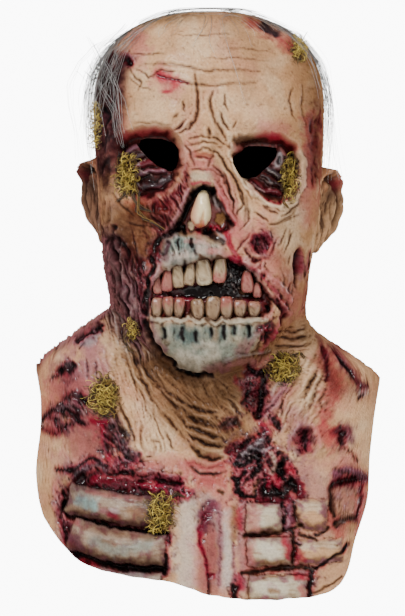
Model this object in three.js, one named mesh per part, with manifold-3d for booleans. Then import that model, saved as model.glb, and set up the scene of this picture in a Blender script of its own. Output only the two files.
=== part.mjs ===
// A zombie mask: a full overhead mask of cast latex with a chest bib, dressed with glued-on moss and thin locks of hair.
// Millimetres, +Z up. The face looks along -Y and the viewer's right is +X.
// The origin is inside the top of the crown, where the wearer's head bears, so the mask hangs down from it.
// The face tables place things by two shares: across is a share of half the head's width, and down is a share of
// the length from crown to chin. The bib tables use half the shoulder width, and the length from chin to hem.

import * as THREE from "three";
import { mergeVertices } from "three/addons/utils/BufferGeometryUtils.js";
import Module from "manifold-3d";

const wasm = await Module();
wasm.setup();

// Driving sizes of the head
const HEAD_WIDTH = 190;
const HEAD_DEPTH = 206;
const FACE_LENGTH = 298;
const TEMPLE_DROP = 80; // from the crown to the widest level, above which the skull is a dome

// Driving sizes of the bib
const SHOULDER_WIDTH = 300;
const CHEST_DEPTH = 210;
const BIB_LENGTH = 184;

// Driving sizes of the cast
const WALL = 2.4;
const BLEND = 9; // rounding between the jaw and the neck
const SOCKET_DEPTH = 21;
const FACE_RELIEF = 10; // the other dents and swellings of the face, and the rib cage's
const CHEST_RELIEF = 8;
const MOUTH_DEPTH = 13;
const NOSE_CAVITY_DEPTH = 14;
const TOOTH_DEPTH = 9; // how far a tooth's body reaches from front to back
const TOOTH_PROUD = 6; // how far it stands out of the floor of the mouth
const NOSTRIL_RADIUS = 4.5;
const EAR_LENGTH = 72;
const EAR_BREADTH = 40;
const EAR_THICKNESS = 11;
const EAR_FLARE = 32; // degrees that the ear stands off the side of the head

// Driving sizes of what is glued on
const MOSS_LENGTH = 38; // the longest tuft
const MOSS_LIFT = 0.25; // how far a tuft's middle stands out of the floor, as a share of its height
const GLUE_GAP = 0.6; // along an axis, so the line is thinner where the floor leans
const LOCK_WIDTH = 17; // the widest lock, at its root
const LOCK_THICKNESS = 2.4;
const LOCK_LIFT = 1.8; // clearance of a lock's inner face over the scalp
const LOCK_TIP = 0.25; // share of a lock's width that is left at its tip
const LOCK_STEPS = 7;
const HAIR_BAND_WIDTH = 15;
const HAIR_BAND_DOWN = 0.055; // where the locks are glued on in a band, as a share of the face length
const HAIR_BAND_TURN = 78; // degrees from the nose where the band ends on each side

// Mesh densities
const FRONT_COLUMNS = 36;
const BACK_COLUMNS = 16;
const CROWN_ROWS = 7;
const FACE_ROWS = 23;
const BIB_ROWS = 17;
const CREASE_END = 1.4; // run down the cast, from the split at 1 to the hem at 2, that takes in the jaw's crease
const INNER_REACH = 3; // how far round a place the inner face looks for the lowest of the outer face
const EVENING = 0.3; // how far a joined solid may be evened out, which sheds its small triangles
const FRONT_SPAN = 65; // degrees to each side of the nose that hold the close columns

const { degToRad, lerp, clamp, smoothstep } = THREE.MathUtils;
const HALF_HEAD = HEAD_WIDTH / 2;
const HALF_SHOULDER = SHOULDER_WIDTH / 2;
const FORWARD = new THREE.Vector3(0, -1, 0);

// Half-widths, depths and squareness of the head below the temples.
const HEAD_SECTIONS = [
  { down: 0.268, left: 0.99, right: 1.005, front: 0.471, back: 0.524, power: 2.25 },
  { down: 0.369, left: 0.98, right: 1.0, front: 0.471, back: 0.529, power: 2.3 },
  { down: 0.503, left: 0.95, right: 0.98, front: 0.456, back: 0.51, power: 2.35 },
  { down: 0.638, left: 0.916, right: 0.926, front: 0.456, back: 0.466, power: 2.4 },
  { down: 0.721, left: 0.884, right: 0.879, front: 0.471, back: 0.417, power: 2.45 },
  { down: 0.805, left: 0.821, right: 0.842, front: 0.476, back: 0.369, power: 2.55 },
  { down: 0.879, left: 0.695, right: 0.705, front: 0.481, back: 0.32, power: 2.7 },
  { down: 0.94, left: 0.526, right: 0.558, front: 0.471, back: 0.267, power: 2.8 },
  { down: 0.977, left: 0.379, right: 0.421, front: 0.442, back: 0.218, power: 2.8 },
  { down: 1.0, left: 0.147, right: 0.168, front: 0.34, back: 0.15, power: 2.6 },
  { down: 1.035, left: 0.05, right: 0.05, front: 0.2, back: 0.08, power: 2.2 },
];

// The neck, shoulders and chest, in shares of half the shoulder width and of the chest's depth.
const TORSO_SECTIONS = [
  { down: -0.4, left: 0.46, right: 0.46, front: 0.24, back: 0.34, power: 2.2 },
  { down: -0.299, left: 0.53, right: 0.52, front: 0.257, back: 0.343, power: 2.1 },
  { down: -0.223, left: 0.66, right: 0.56, front: 0.262, back: 0.343, power: 1.95 },
  { down: -0.168, left: 0.753, right: 0.63, front: 0.267, back: 0.352, power: 1.88 },
  { down: -0.114, left: 0.84, right: 0.733, front: 0.271, back: 0.367, power: 1.85 },
  { down: -0.06, left: 0.92, right: 0.833, front: 0.276, back: 0.386, power: 1.85 },
  { down: 0.0, left: 0.965, right: 0.927, front: 0.281, back: 0.405, power: 1.88 },
  { down: 0.065, left: 0.98, right: 0.973, front: 0.29, back: 0.429, power: 1.95 },
  { down: 0.228, left: 0.993, right: 0.987, front: 0.314, back: 0.462, power: 2.1 },
  { down: 0.364, left: 1.0, right: 0.993, front: 0.348, back: 0.486, power: 2.2 },
  { down: 0.527, left: 1.013, right: 1.0, front: 0.4, back: 0.5, power: 2.3 },
  { down: 0.717, left: 1.02, right: 1.0, front: 0.448, back: 0.51, power: 2.35 },
  { down: 1.02, left: 1.013, right: 1.0, front: 0.495, back: 0.514, power: 2.4 },
];

// The hem seen from the front and from behind; turn is the column of the cast that ends there, in degrees.
const HEM = [
  { turn: -180, across: 0.0, down: 0.54 },
  { turn: -150, across: -0.4, down: 0.51 },
  { turn: -125, across: -0.7, down: 0.39 },
  { turn: -105, across: -0.88, down: 0.15 },
  { turn: -90, across: -0.95, down: -0.035 },
  { turn: -80, across: -0.92, down: 0.095 },
  { turn: -70, across: -0.92, down: 0.255 },
  { turn: -60, across: -0.942, down: 0.435 },
  { turn: -52, across: -0.92, down: 0.582 },
  { turn: -45, across: -0.867, down: 0.68 },
  { turn: -36, across: -0.7, down: 0.832 },
  { turn: -27, across: -0.5, down: 0.886 },
  { turn: -12, across: -0.2, down: 0.924 },
  { turn: 0, across: 0.013, down: 0.978 },
  { turn: 12, across: 0.2, down: 0.997 },
  { turn: 25, across: 0.413, down: 0.997 },
  { turn: 38, across: 0.647, down: 0.973 },
  { turn: 46, across: 0.747, down: 0.902 },
  { turn: 56, across: 0.807, down: 0.728 },
  { turn: 66, across: 0.873, down: 0.554 },
  { turn: 74, across: 0.887, down: 0.364 },
  { turn: 82, across: 0.92, down: 0.147 },
  { turn: 90, across: 0.947, down: 0.02 },
  { turn: 105, across: 0.88, down: 0.17 },
  { turn: 125, across: 0.7, down: 0.4 },
  { turn: 150, across: 0.4, down: 0.51 },
  { turn: 180, across: 0.0, down: 0.54 },
];
const SPLIT_DOWN = 0.805; // share of the face length where the columns start to fan out over the bib

// Dents (negative) and swellings of the face. lean turns an oval, in degrees, and flat is the share of it that is level.
const FACE_OVALS = [
  { name: "left socket", across: -0.527, down: 0.426, wide: 0.305, tall: 0.1, lean: -14, flat: 0.55, out: -1.0, of: "socket" },
  { name: "right socket", across: 0.495, down: 0.438, wide: 0.32, tall: 0.107, lean: 24, flat: 0.55, out: -1.0, of: "socket" },
  { name: "left brow", across: -0.45, down: 0.295, wide: 0.36, tall: 0.05, lean: 6, flat: 0.2, out: 0.55, of: "face" },
  { name: "right brow", across: 0.5, down: 0.31, wide: 0.38, tall: 0.05, lean: -8, flat: 0.2, out: 0.6, of: "face" },
  { name: "frown", across: 0.0, down: 0.32, wide: 0.17, tall: 0.09, lean: 0, flat: 0.2, out: 0.45, of: "face" },
  { name: "nose bridge", across: -0.04, down: 0.43, wide: 0.19, tall: 0.11, lean: 0, flat: 0.1, out: 1.15, of: "face" },
  { name: "nose wings", across: -0.02, down: 0.54, wide: 0.3, tall: 0.11, lean: 0, flat: 0.1, out: 0.95, of: "face" },
  { name: "left cheekbone", across: -0.72, down: 0.555, wide: 0.2, tall: 0.07, lean: 20, flat: 0.1, out: 0.45, of: "face" },
  { name: "right cheekbone", across: 0.6, down: 0.575, wide: 0.27, tall: 0.06, lean: 20, flat: 0.1, out: 0.6, of: "face" },
  { name: "upper jaw", across: -0.1, down: 0.68, wide: 0.42, tall: 0.06, lean: 0, flat: 0.3, out: 0.35, of: "face" },
  { name: "cheek wound", across: 0.45, down: 0.645, wide: 0.11, tall: 0.035, lean: 0, flat: 0.2, out: -0.55, of: "face" },
  { name: "torn left cheek", across: -0.62, down: 0.76, wide: 0.17, tall: 0.11, lean: 8, flat: 0.2, out: -0.55, of: "face" },
  { name: "right lip fold", across: 0.6, down: 0.735, wide: 0.17, tall: 0.055, lean: -38, flat: 0.2, out: 0.6, of: "face" },
  { name: "mouth", across: -0.02, down: 0.775, wide: 0.58, tall: 0.075, lean: 0, flat: 0.6, out: -1.0, of: "mouth" },
  { name: "lower jaw", across: 0.0, down: 0.91, wide: 0.45, tall: 0.075, lean: 0, flat: 0.4, out: 0.35, of: "face" },
  { name: "temple gash", across: -0.73, down: 0.15, wide: 0.12, tall: 0.03, lean: -30, flat: 0.2, out: -0.3, of: "face" },
  { name: "jaw gash", across: 0.76, down: 0.695, wide: 0.035, tall: 0.05, lean: -6, flat: 0.2, out: -0.4, of: "face" },
];

// Long folds and creases of the face: each runs between two ends.
const FACE_FOLDS = [
  { name: "upper brow crease", fromAcross: -0.5, fromDown: 0.155, toAcross: 0.45, toDown: 0.172, half: 0.035, out: -0.12 },
  { name: "lower brow crease", fromAcross: -0.4, fromDown: 0.188, toAcross: 0.42, toDown: 0.208, half: 0.035, out: -0.16 },
  { name: "left frown line", fromAcross: -0.11, fromDown: 0.18, toAcross: -0.16, toDown: 0.345, half: 0.035, out: -0.2 },
  { name: "right frown line", fromAcross: 0.04, fromDown: 0.235, toAcross: 0.14, toDown: 0.35, half: 0.035, out: -0.2 },
  { name: "left nose groove", fromAcross: -0.22, fromDown: 0.575, toAcross: -0.46, toDown: 0.66, half: 0.05, out: -0.5 },
  { name: "right cheek fold", fromAcross: 0.32, fromDown: 0.5, toAcross: 0.34, toDown: 0.58, half: 0.04, out: -0.25 },
  { name: "right eye bag", fromAcross: 0.42, fromDown: 0.565, toAcross: 0.68, toDown: 0.575, half: 0.035, out: -0.22 },
];

// The triangular hollow of the lost nose, as corners, and the nub of bone that stands in it.
const NOSE_CAVITY = { topAcross: -0.05, topDown: 0.485, leftAcross: -0.215, rightAcross: 0.19, baseDown: 0.605, round: 0.055 };
const NOSE_NUB = { across: -0.055, down: 0.55, wide: 0.085, tall: 0.054, proud: 9 };
const EAR_TOP = { left: 0.402, right: 0.428 };

// Dents and swellings of the neck and chest.
const BIB_OVALS = [
  { name: "throat wound", across: 0.27, down: 0.13, wide: 0.1, tall: 0.12, lean: 20, flat: 0.2, out: -0.8 },
  { name: "left neck cord", across: -0.33, down: 0.1, wide: 0.06, tall: 0.3, lean: 30, flat: 0.1, out: 0.5 },
  { name: "throat rings", across: 0.03, down: 0.26, wide: 0.13, tall: 0.13, lean: 0, flat: 0.2, out: 0.6 },
  { name: "throat notch", across: 0.02, down: 0.4, wide: 0.15, tall: 0.05, lean: 0, flat: 0.2, out: -0.55 },
  { name: "left clavicle", across: -0.5, down: 0.31, wide: 0.34, tall: 0.06, lean: -16, flat: 0.1, out: 0.6 },
  { name: "right clavicle", across: 0.6, down: 0.33, wide: 0.34, tall: 0.06, lean: 12, flat: 0.1, out: 0.5 },
  { name: "left hollow", across: -0.5, down: 0.33, wide: 0.07, tall: 0.1, lean: 14, flat: 0.2, out: -0.75 },
  { name: "right hollow", across: 0.53, down: 0.31, wide: 0.08, tall: 0.08, lean: 12, flat: 0.2, out: -0.8 },
  { name: "shoulder sore", across: -0.78, down: -0.01, wide: 0.06, tall: 0.035, lean: -20, flat: 0.2, out: -0.4 },
  { name: "collar sore", across: 0.73, down: 0.285, wide: 0.05, tall: 0.05, lean: 0, flat: 0.2, out: -0.5 },
  { name: "left rib window", across: -0.49, down: 0.66, wide: 0.36, tall: 0.27, lean: 8, flat: 0.6, out: -0.9 },
  { name: "right rib window", across: 0.42, down: 0.73, wide: 0.25, tall: 0.25, lean: 0, flat: 0.55, out: -0.55 },
  { name: "breast wound", across: 0.35, down: 0.49, wide: 0.17, tall: 0.1, lean: 0, flat: 0.4, out: -0.7 },
  { name: "side slit", across: 0.765, down: 0.475, wide: 0.095, tall: 0.045, lean: 6, flat: 0.2, out: -0.6 },
];

// Ribs stand up out of the windows. Each is a rounded bar between two ends; out is how far its middle line stands
// out of the floor, as a share of its half width.
const RIBS = [
  { name: "left upper", fromAcross: -0.73, fromDown: 0.57, toAcross: -0.26, toDown: 0.625, half: 0.062, out: 0.2 },
  { name: "left middle", fromAcross: -0.7, fromDown: 0.72, toAcross: -0.26, toDown: 0.775, half: 0.066, out: 0.2 },
  { name: "left lower", fromAcross: -0.52, fromDown: 0.865, toAcross: -0.26, toDown: 0.905, half: 0.05, out: 0.1 },
  { name: "breastbone", fromAcross: -0.03, fromDown: 0.62, toAcross: 0.06, toDown: 0.9, half: 0.1, out: -0.45 },
  { name: "right upper", fromAcross: 0.28, fromDown: 0.64, toAcross: 0.36, toDown: 0.64, half: 0.066, out: 0.2 },
  { name: "right middle", fromAcross: 0.29, fromDown: 0.795, toAcross: 0.39, toDown: 0.795, half: 0.062, out: 0.2 },
  { name: "right lower", fromAcross: 0.29, fromDown: 0.94, toAcross: 0.48, toDown: 0.94, half: 0.05, out: 0.2 },
  { name: "flank upper", fromAcross: 0.56, fromDown: 0.64, toAcross: 0.58, toDown: 0.61, half: 0.085, out: -0.1 },
  { name: "flank lower", fromAcross: 0.55, fromDown: 0.79, toAcross: 0.66, toDown: 0.765, half: 0.062, out: 0.1 },
];

// Teeth, in shares of half the head's width across and of the face length down.
const TEETH = [
  { name: "upper 1", across: -0.442, top: 0.738, bottom: 0.785, wide: 0.076, back: 6 },
  { name: "upper 2", across: -0.347, top: 0.72, bottom: 0.775, wide: 0.086, back: 3 },
  { name: "upper 3", across: -0.258, top: 0.703, bottom: 0.762, wide: 0.09, back: 1 },
  { name: "upper 4", across: -0.153, top: 0.699, bottom: 0.755, wide: 0.086, back: 0 },
  { name: "upper 5", across: -0.037, top: 0.685, bottom: 0.758, wide: 0.126, back: 0 },
  { name: "upper 6", across: 0.1, top: 0.68, bottom: 0.748, wide: 0.105, back: 0 },
  { name: "upper 7", across: 0.342, top: 0.718, bottom: 0.778, wide: 0.084, back: 4 },
  { name: "upper 8", across: 0.432, top: 0.748, bottom: 0.795, wide: 0.08, back: 7 },
  { name: "lower 1", across: -0.447, top: 0.792, bottom: 0.846, wide: 0.086, back: 5 },
  { name: "lower 2", across: -0.342, top: 0.789, bottom: 0.84, wide: 0.086, back: 2 },
  { name: "lower 3", across: -0.258, top: 0.792, bottom: 0.843, wide: 0.08, back: 1 },
  { name: "lower 4", across: -0.074, top: 0.792, bottom: 0.852, wide: 0.105, back: 0 },
  { name: "lower 5", across: 0.053, top: 0.786, bottom: 0.852, wide: 0.115, back: 0 },
  { name: "lower 6", across: 0.174, top: 0.789, bottom: 0.846, wide: 0.105, back: 0 },
  { name: "lower 7", across: 0.279, top: 0.795, bottom: 0.839, wide: 0.095, back: 2 },
  { name: "lower 8", across: 0.4, top: 0.795, bottom: 0.836, wide: 0.09, back: 5 },
];

// The cut-out eye holes, as corners in order round each.
const LEFT_EYE_HOLE = [
  { across: -0.61, down: 0.366 },
  { across: -0.526, down: 0.356 },
  { across: -0.421, down: 0.356 },
  { across: -0.316, down: 0.366 },
  { across: -0.258, down: 0.388 },
  { across: -0.26, down: 0.426 },
  { across: -0.305, down: 0.445 },
  { across: -0.36, down: 0.442 },
  { across: -0.45, down: 0.424 },
  { across: -0.526, down: 0.404 },
];
const RIGHT_EYE_HOLE = [
  { across: 0.211, down: 0.406 },
  { across: 0.29, down: 0.38 },
  { across: 0.37, down: 0.372 },
  { across: 0.49, down: 0.376 },
  { across: 0.59, down: 0.383 },
  { across: 0.54, down: 0.426 },
  { across: 0.463, down: 0.45 },
  { across: 0.38, down: 0.463 },
  { across: 0.326, down: 0.473 },
  { across: 0.26, down: 0.45 },
];
const NOSTRILS = [
  { across: -0.147, down: 0.594 },
  { across: 0.1, down: 0.577 },
];

// Tufts of moss: where each is glued, on the head or on the bib, and its size across, down and out in shares of the
// longest tuft.
const MOSS = [
  { name: "moss_crown", on: "head", across: 0.78, down: 0.105, wide: 0.39, tall: 0.58, high: 0.21 },
  { name: "moss_temple", on: "head", across: -0.975, down: 0.305, wide: 0.37, tall: 1.00, high: 0.21 },
  { name: "moss_left_eye", on: "head", across: -0.7, down: 0.46, wide: 0.45, tall: 0.89, high: 0.26 },
  { name: "moss_right_eye", on: "head", across: 0.715, down: 0.465, wide: 0.42, tall: 1.00, high: 0.26 },
  { name: "moss_jaw", on: "bib", across: -0.41, down: -0.2, wide: 0.32, tall: 0.47, high: 0.21 },
  { name: "moss_collar", on: "bib", across: -0.567, down: 0.11, wide: 0.74, tall: 0.95, high: 0.29 },
  { name: "moss_throat", on: "bib", across: 0.42, down: -0.03, wide: 0.71, tall: 0.68, high: 0.26 },
  { name: "moss_rib", on: "bib", across: -0.25, down: 0.61, wide: 0.68, tall: 0.95, high: 0.42 },
];

// Locks of hair: the turn from the nose in degrees, where each starts and ends down the head, how far its tip drifts
// round in degrees, and its width at the root in shares of the widest.
const LOCKS = [
  { turn: -80, from: 0.055, to: 0.3, drift: -4, wide: 0.76 },
  { turn: -93, from: 0.05, to: 0.36, drift: 3, wide: 0.82 },
  { turn: -108, from: 0.05, to: 0.4, drift: -3, wide: 0.88 },
  { turn: -124, from: 0.05, to: 0.55, drift: 4, wide: 0.94 },
  { turn: -140, from: 0.05, to: 0.62, drift: -3, wide: 0.94 },
  { turn: -156, from: 0.05, to: 0.7, drift: 3, wide: 1.00 },
  { turn: -172, from: 0.05, to: 0.66, drift: -2, wide: 1.00 },
  { turn: 172, from: 0.05, to: 0.72, drift: 2, wide: 1.00 },
  { turn: 156, from: 0.05, to: 0.65, drift: -3, wide: 0.94 },
  { turn: 140, from: 0.05, to: 0.66, drift: 3, wide: 0.94 },
  { turn: 124, from: 0.05, to: 0.5, drift: -4, wide: 0.88 },
  { turn: 108, from: 0.05, to: 0.4, drift: 3, wide: 0.76 },
  { turn: 93, from: 0.05, to: 0.34, drift: -3, wide: 0.65 },
];

const LATEX = new THREE.MeshStandardMaterial({ color: 0xc2a17c, roughness: 0.55, metalness: 0 });
const MOSS_FIBRE = new THREE.MeshStandardMaterial({ color: 0x9a8a2c, roughness: 0.95, metalness: 0 });
const HAIR_FIBRE = new THREE.MeshStandardMaterial({ color: 0x8c8c8e, roughness: 0.6, metalness: 0 });

const headX = (across) => across * HALF_HEAD;
const headZ = (down) => -down * FACE_LENGTH;
const bibX = (across) => across * HALF_SHOULDER;
const bibZ = (down) => -FACE_LENGTH - down * BIB_LENGTH;

// A table's row at a place between its rows, on a smooth curve through them.
function rowAt(table, key, place) {
  const last = table.length - 1;
  const at = clamp(place, table[0][key], table[last][key]);
  let i = 0;
  while (i < last - 1 && table[i + 1][key] < at) i++;
  const span = table[i + 1][key] - table[i][key];
  const t = (at - table[i][key]) / span;
  const slope = (j, name) => {
    const before = table[Math.max(j - 1, 0)];
    const after = table[Math.min(j + 1, last)];
    return (after[name] - before[name]) / (after[key] - before[key]);
  };
  const row = {};
  for (const name of Object.keys(table[0])) {
    const a = table[i][name];
    const b = table[i + 1][name];
    row[name] =
      a +
      (b - a) * (3 * t * t - 2 * t * t * t) +
      span * (slope(i, name) * (t - 2 * t * t + t * t * t) + slope(i + 1, name) * (t * t * t - t * t));
  }
  return row;
}

// The distance from the upright axis to a section's outline, at an angle from the face.
function outline(section, halfWidth, depth, angle) {
  const side = Math.sin(angle);
  const ahead = Math.cos(angle);
  const wide = halfWidth * (side < 0 ? section.left : section.right);
  const deep = depth * (ahead > 0 ? section.front : section.back);
  const p = section.power;
  return (Math.abs(side / wide) ** p + Math.abs(ahead / deep) ** p) ** (-1 / p);
}

function headRadius(angle, z) {
  const down = -z / FACE_LENGTH;
  const radius = outline(rowAt(HEAD_SECTIONS, "down", down), HALF_HEAD, HEAD_DEPTH, angle);
  const above = clamp(-z / TEMPLE_DROP, 0, 1);
  const dome = 2.35 + 0.2 * Math.cos(angle); // the brow is steeper than the back of the skull
  return radius * (1 - (1 - above) ** dome) ** (1 / dome);
}

function torsoRadius(angle, z) {
  const down = (-z - FACE_LENGTH) / BIB_LENGTH;
  return outline(rowAt(TORSO_SECTIONS, "down", down), HALF_SHOULDER, CHEST_DEPTH, angle);
}

// The jaw runs into the neck with a rounded crease.
function bodyRadius(angle, z) {
  const head = headRadius(angle, z);
  if (z > bibZ(TORSO_SECTIONS[0].down)) return head;
  const torso = torsoRadius(angle, z);
  const share = clamp(0.5 + (0.5 * (head - torso)) / BLEND, 0, 1);
  return lerp(torso, head, share) + BLEND * share * (1 - share);
}

function bodyPoint(angle, z) {
  const radius = bodyRadius(angle, z);
  return new THREE.Vector3(radius * Math.sin(angle), -radius * Math.cos(angle), z);
}

// The angle at which the body, at a height, has a given place across; behind gives the one on the back.
function angleAcross(x, z, behind) {
  let low = 0;
  let high = Math.PI / 2;
  for (let i = 0; i < 40; i++) {
    const middle = (low + high) / 2;
    const angle = Math.sign(x) * (behind ? Math.PI - middle : middle);
    if (bodyRadius(angle, z) * Math.sin(middle) < Math.abs(x)) low = middle;
    else high = middle;
  }
  const turned = behind ? Math.PI - low : low;
  return Math.sign(x) * turned;
}

// 1 in the middle of an oval, level to its flat share and 0 past its edge.
function ovalShare(oval, dx, dz) {
  const lean = degToRad(oval.lean);
  const u = (dx * Math.cos(lean) + dz * Math.sin(lean)) / oval.halfWide;
  const v = (dz * Math.cos(lean) - dx * Math.sin(lean)) / oval.halfTall;
  return 1 - smoothstep(Math.hypot(u, v), oval.flat, 1);
}

// 1 on the line between a fold's ends, falling roundly to 0 at its half width.
function foldShare(fold, x, z) {
  const dx = fold.toX - fold.fromX;
  const dz = fold.toZ - fold.fromZ;
  const t = clamp(((x - fold.fromX) * dx + (z - fold.fromZ) * dz) / (dx * dx + dz * dz), 0, 1);
  const away = Math.hypot(x - fold.fromX - t * dx, z - fold.fromZ - t * dz) / fold.halfWidth;
  return Math.sqrt(Math.max(0, 1 - away * away));
}

const HOLLOWS = { socket: SOCKET_DEPTH, face: FACE_RELIEF, mouth: MOUTH_DEPTH };
const ovals = [
  ...FACE_OVALS.map((o) => ({
    ...o,
    x: headX(o.across),
    z: headZ(o.down),
    halfWide: headX(o.wide),
    halfTall: o.tall * FACE_LENGTH,
    height: o.out * HOLLOWS[o.of],
  })),
  ...BIB_OVALS.map((o) => ({
    ...o,
    x: bibX(o.across),
    z: bibZ(o.down),
    halfWide: bibX(o.wide),
    halfTall: o.tall * BIB_LENGTH,
    height: o.out * CHEST_RELIEF,
  })),
];
const folds = FACE_FOLDS.map((f) => ({
  fromX: headX(f.fromAcross),
  fromZ: headZ(f.fromDown),
  toX: headX(f.toAcross),
  toZ: headZ(f.toDown),
  halfWidth: headX(f.half),
  height: f.out * FACE_RELIEF,
}));

// How far a place lies into the triangular hollow of the nose, as a share.
function noseHollow(x, z) {
  const c = NOSE_CAVITY;
  const t = (z - headZ(c.topDown)) / (headZ(c.baseDown) - headZ(c.topDown));
  const left = lerp(headX(c.topAcross), headX(c.leftAcross), t);
  const right = lerp(headX(c.topAcross), headX(c.rightAcross), t);
  const round = headX(c.round);
  const inside = Math.min(x - left, right - x, z - headZ(c.baseDown), headZ(c.topDown) - z);
  return smoothstep(inside, -round / 2, round);
}

// How far the cast stands out of the plain body at a place seen from the front.
function relief(x, z) {
  let height = -NOSE_CAVITY_DEPTH * noseHollow(x, z);
  for (const o of ovals) height += o.height * ovalShare(o, x - o.x, z - o.z);
  for (const f of folds) height += f.height * foldShare(f, x, z);
  return height;
}

const hemZ = (hem) => bibZ(hem.down);

// The angle and height of a place on the cast: turn is its column, in degrees, and run goes 0 to 1 from the crown
// to the split, and 1 to 2 from there to the hem.
function placeOn(turn, run) {
  const column = degToRad(turn);
  if (run <= 1) {
    const split = SPLIT_DOWN * FACE_LENGTH;
    const domeRun = CROWN_ROWS / (CROWN_ROWS + FACE_ROWS);
    const z =
      run < domeRun
        ? -TEMPLE_DROP * (1 - Math.cos(((run / domeRun) * Math.PI) / 2))
        : -lerp(TEMPLE_DROP, split, (run - domeRun) / (1 - domeRun));
    return { angle: column, z };
  }
  const hem = rowAt(HEM, "turn", turn);
  const tip = Math.abs(Math.abs(turn) - 90) < 0.5;
  const centre = Math.abs(turn) < 0.5 || Math.abs(turn) > 179.5;
  const hemAngle = tip || centre ? column : angleAcross(bibX(hem.across), hemZ(hem), Math.abs(turn) > 90);
  const t = run - 1;
  return { angle: lerp(column, hemAngle, t), z: lerp(headZ(SPLIT_DOWN), hemZ(hem), t) };
}

function plainPoint(turn, run) {
  const place = placeOn(turn, run);
  return bodyPoint(place.angle, place.z);
}

// The outward normal of the plain body, from its neighbours along and across the columns.
function plainNormal(turn, run) {
  const step = 0.004;
  const at = Math.max(run, 2 * step);
  const along = plainPoint(turn, Math.min(at + step, 2)).sub(plainPoint(turn, at - step));
  const across = plainPoint(turn + 1, at).sub(plainPoint(turn - 1, at));
  return across.cross(along).negate().normalize();
}

// How far the cast stands out along its plain body at a point: the relief fades out where the body turns away.
function castPoint(turn, run) {
  if (run < 1e-6) return new THREE.Vector3();
  const point = plainPoint(turn, run);
  const normal = plainNormal(turn, run);
  const direction = normal.clone().lerp(FORWARD, smoothstep(-normal.y, 0.3, 0.8)).normalize();
  return point.addScaledVector(direction, smoothstep(-normal.y, 0.1, 0.45) * relief(point.x, point.z));
}

// The same place at a depth under the outer face, measured from the lowest of it near there.
function underPoint(turn, run, depth) {
  if (run < 1e-6) return new THREE.Vector3(0, 0, -depth);
  const place = placeOn(turn, run);
  const normal = plainNormal(turn, run);
  const near = [-1, 0, 1].flatMap((i) => [-1, 0, 1].map((j) => [i * INNER_REACH, j * INNER_REACH]));
  const plain = bodyRadius(place.angle, place.z);
  const lowest = Math.min(...near.map(([dx, dz]) => bodyRadius(place.angle + dx / plain, place.z + dz)));
  const radius = run > 1 && run < CREASE_END ? lowest : plain;
  const point = new THREE.Vector3(radius * Math.sin(place.angle), -radius * Math.cos(place.angle), place.z);
  const height = Math.min(...near.map(([dx, dz]) => relief(point.x + dx, point.z + dz)));
  const direction = normal.clone().lerp(FORWARD, smoothstep(-normal.y, 0.3, 0.8)).normalize();
  return point
    .addScaledVector(direction, smoothstep(-normal.y, 0.1, 0.45) * height)
    .addScaledVector(normal, -depth);
}

// The columns' turns in degrees, close together over the face.
function columnTurns(front, back) {
  const turns = [];
  for (let i = 0; i < front; i++) turns.push(lerp(-FRONT_SPAN, FRONT_SPAN, i / front));
  for (let i = 0; i < back; i++) turns.push(lerp(FRONT_SPAN, 360 - FRONT_SPAN, i / back));
  return turns.map((turn) => (turn > 180 ? turn - 360 : turn));
}

// The rows' runs, with the bib's rows closer together under the chin.
function rowRuns(every) {
  const runs = [];
  const upper = CROWN_ROWS + FACE_ROWS;
  for (let i = every; i <= upper; i += every) runs.push(i / upper);
  for (let i = every; i <= BIB_ROWS; i += every) {
    const t = i / BIB_ROWS;
    runs.push(1 + t - 0.06 * Math.sin(2 * Math.PI * t));
  }
  return runs;
}

// One face of the cast as loose triangles, and its last row: a fan at the crown, then bands of quads.
function castFace(turns, runs, pointOf, outward) {
  const rows = runs.map((run) => turns.map((turn) => pointOf(turn, run)));
  const crown = pointOf(0, 0);
  const triangles = [];
  const add = (a, b, c) => triangles.push(outward ? [a, b, c] : [a, c, b]);
  const count = turns.length;
  for (let i = 0; i < count; i++) {
    const next = (i + 1) % count;
    add(crown, rows[0][i], rows[0][next]);
    for (let j = 0; j + 1 < rows.length; j++) {
      add(rows[j][i], rows[j + 1][i], rows[j + 1][next]);
      add(rows[j][i], rows[j + 1][next], rows[j][next]);
    }
  }
  return { triangles, rim: rows[rows.length - 1] };
}

function geometryOf(triangles) {
  const positions = new Float32Array(triangles.flatMap((t) => t.flatMap((v) => [v.x, v.y, v.z])));
  return new THREE.BufferGeometry().setAttribute("position", new THREE.BufferAttribute(positions, 3));
}

function solidOf(geometry) {
  const bare = geometry.index ? geometry.toNonIndexed() : geometry.clone();
  bare.deleteAttribute("normal");
  bare.deleteAttribute("uv");
  const merged = mergeVertices(bare, 1e-4);
  return new wasm.Manifold(
    new wasm.Mesh({
      numProp: 3,
      vertProperties: merged.attributes.position.array,
      triVerts: new Uint32Array(merged.index.array),
    }),
  );
}

function meshOf(name, solid, material) {
  const made = solid.getMesh();
  const geometry = new THREE.BufferGeometry()
    .setAttribute("position", new THREE.BufferAttribute(Float32Array.from(made.vertProperties), 3))
    .setIndex(new THREE.BufferAttribute(Uint32Array.from(made.triVerts), 1));
  geometry.computeVertexNormals();
  const mesh = new THREE.Mesh(geometry, material);
  mesh.name = name;
  return mesh;
}

const outerTurns = columnTurns(FRONT_COLUMNS, BACK_COLUMNS);
const outerRuns = rowRuns(1);

// A face under the outer one needs only every second column, and every second row but where the jaw meets the neck.
function underFace(depth, outward) {
  const innerTurns = columnTurns(FRONT_COLUMNS / 2, BACK_COLUMNS / 2);
  const last = outerRuns.length - 1;
  const innerRuns = outerRuns.filter((run, i) => i % 2 === 0 || i === last || (run > 1 && run < CREASE_END));
  return castFace(innerTurns, innerRuns, (turn, run) => underPoint(turn, run, depth), outward);
}

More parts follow.
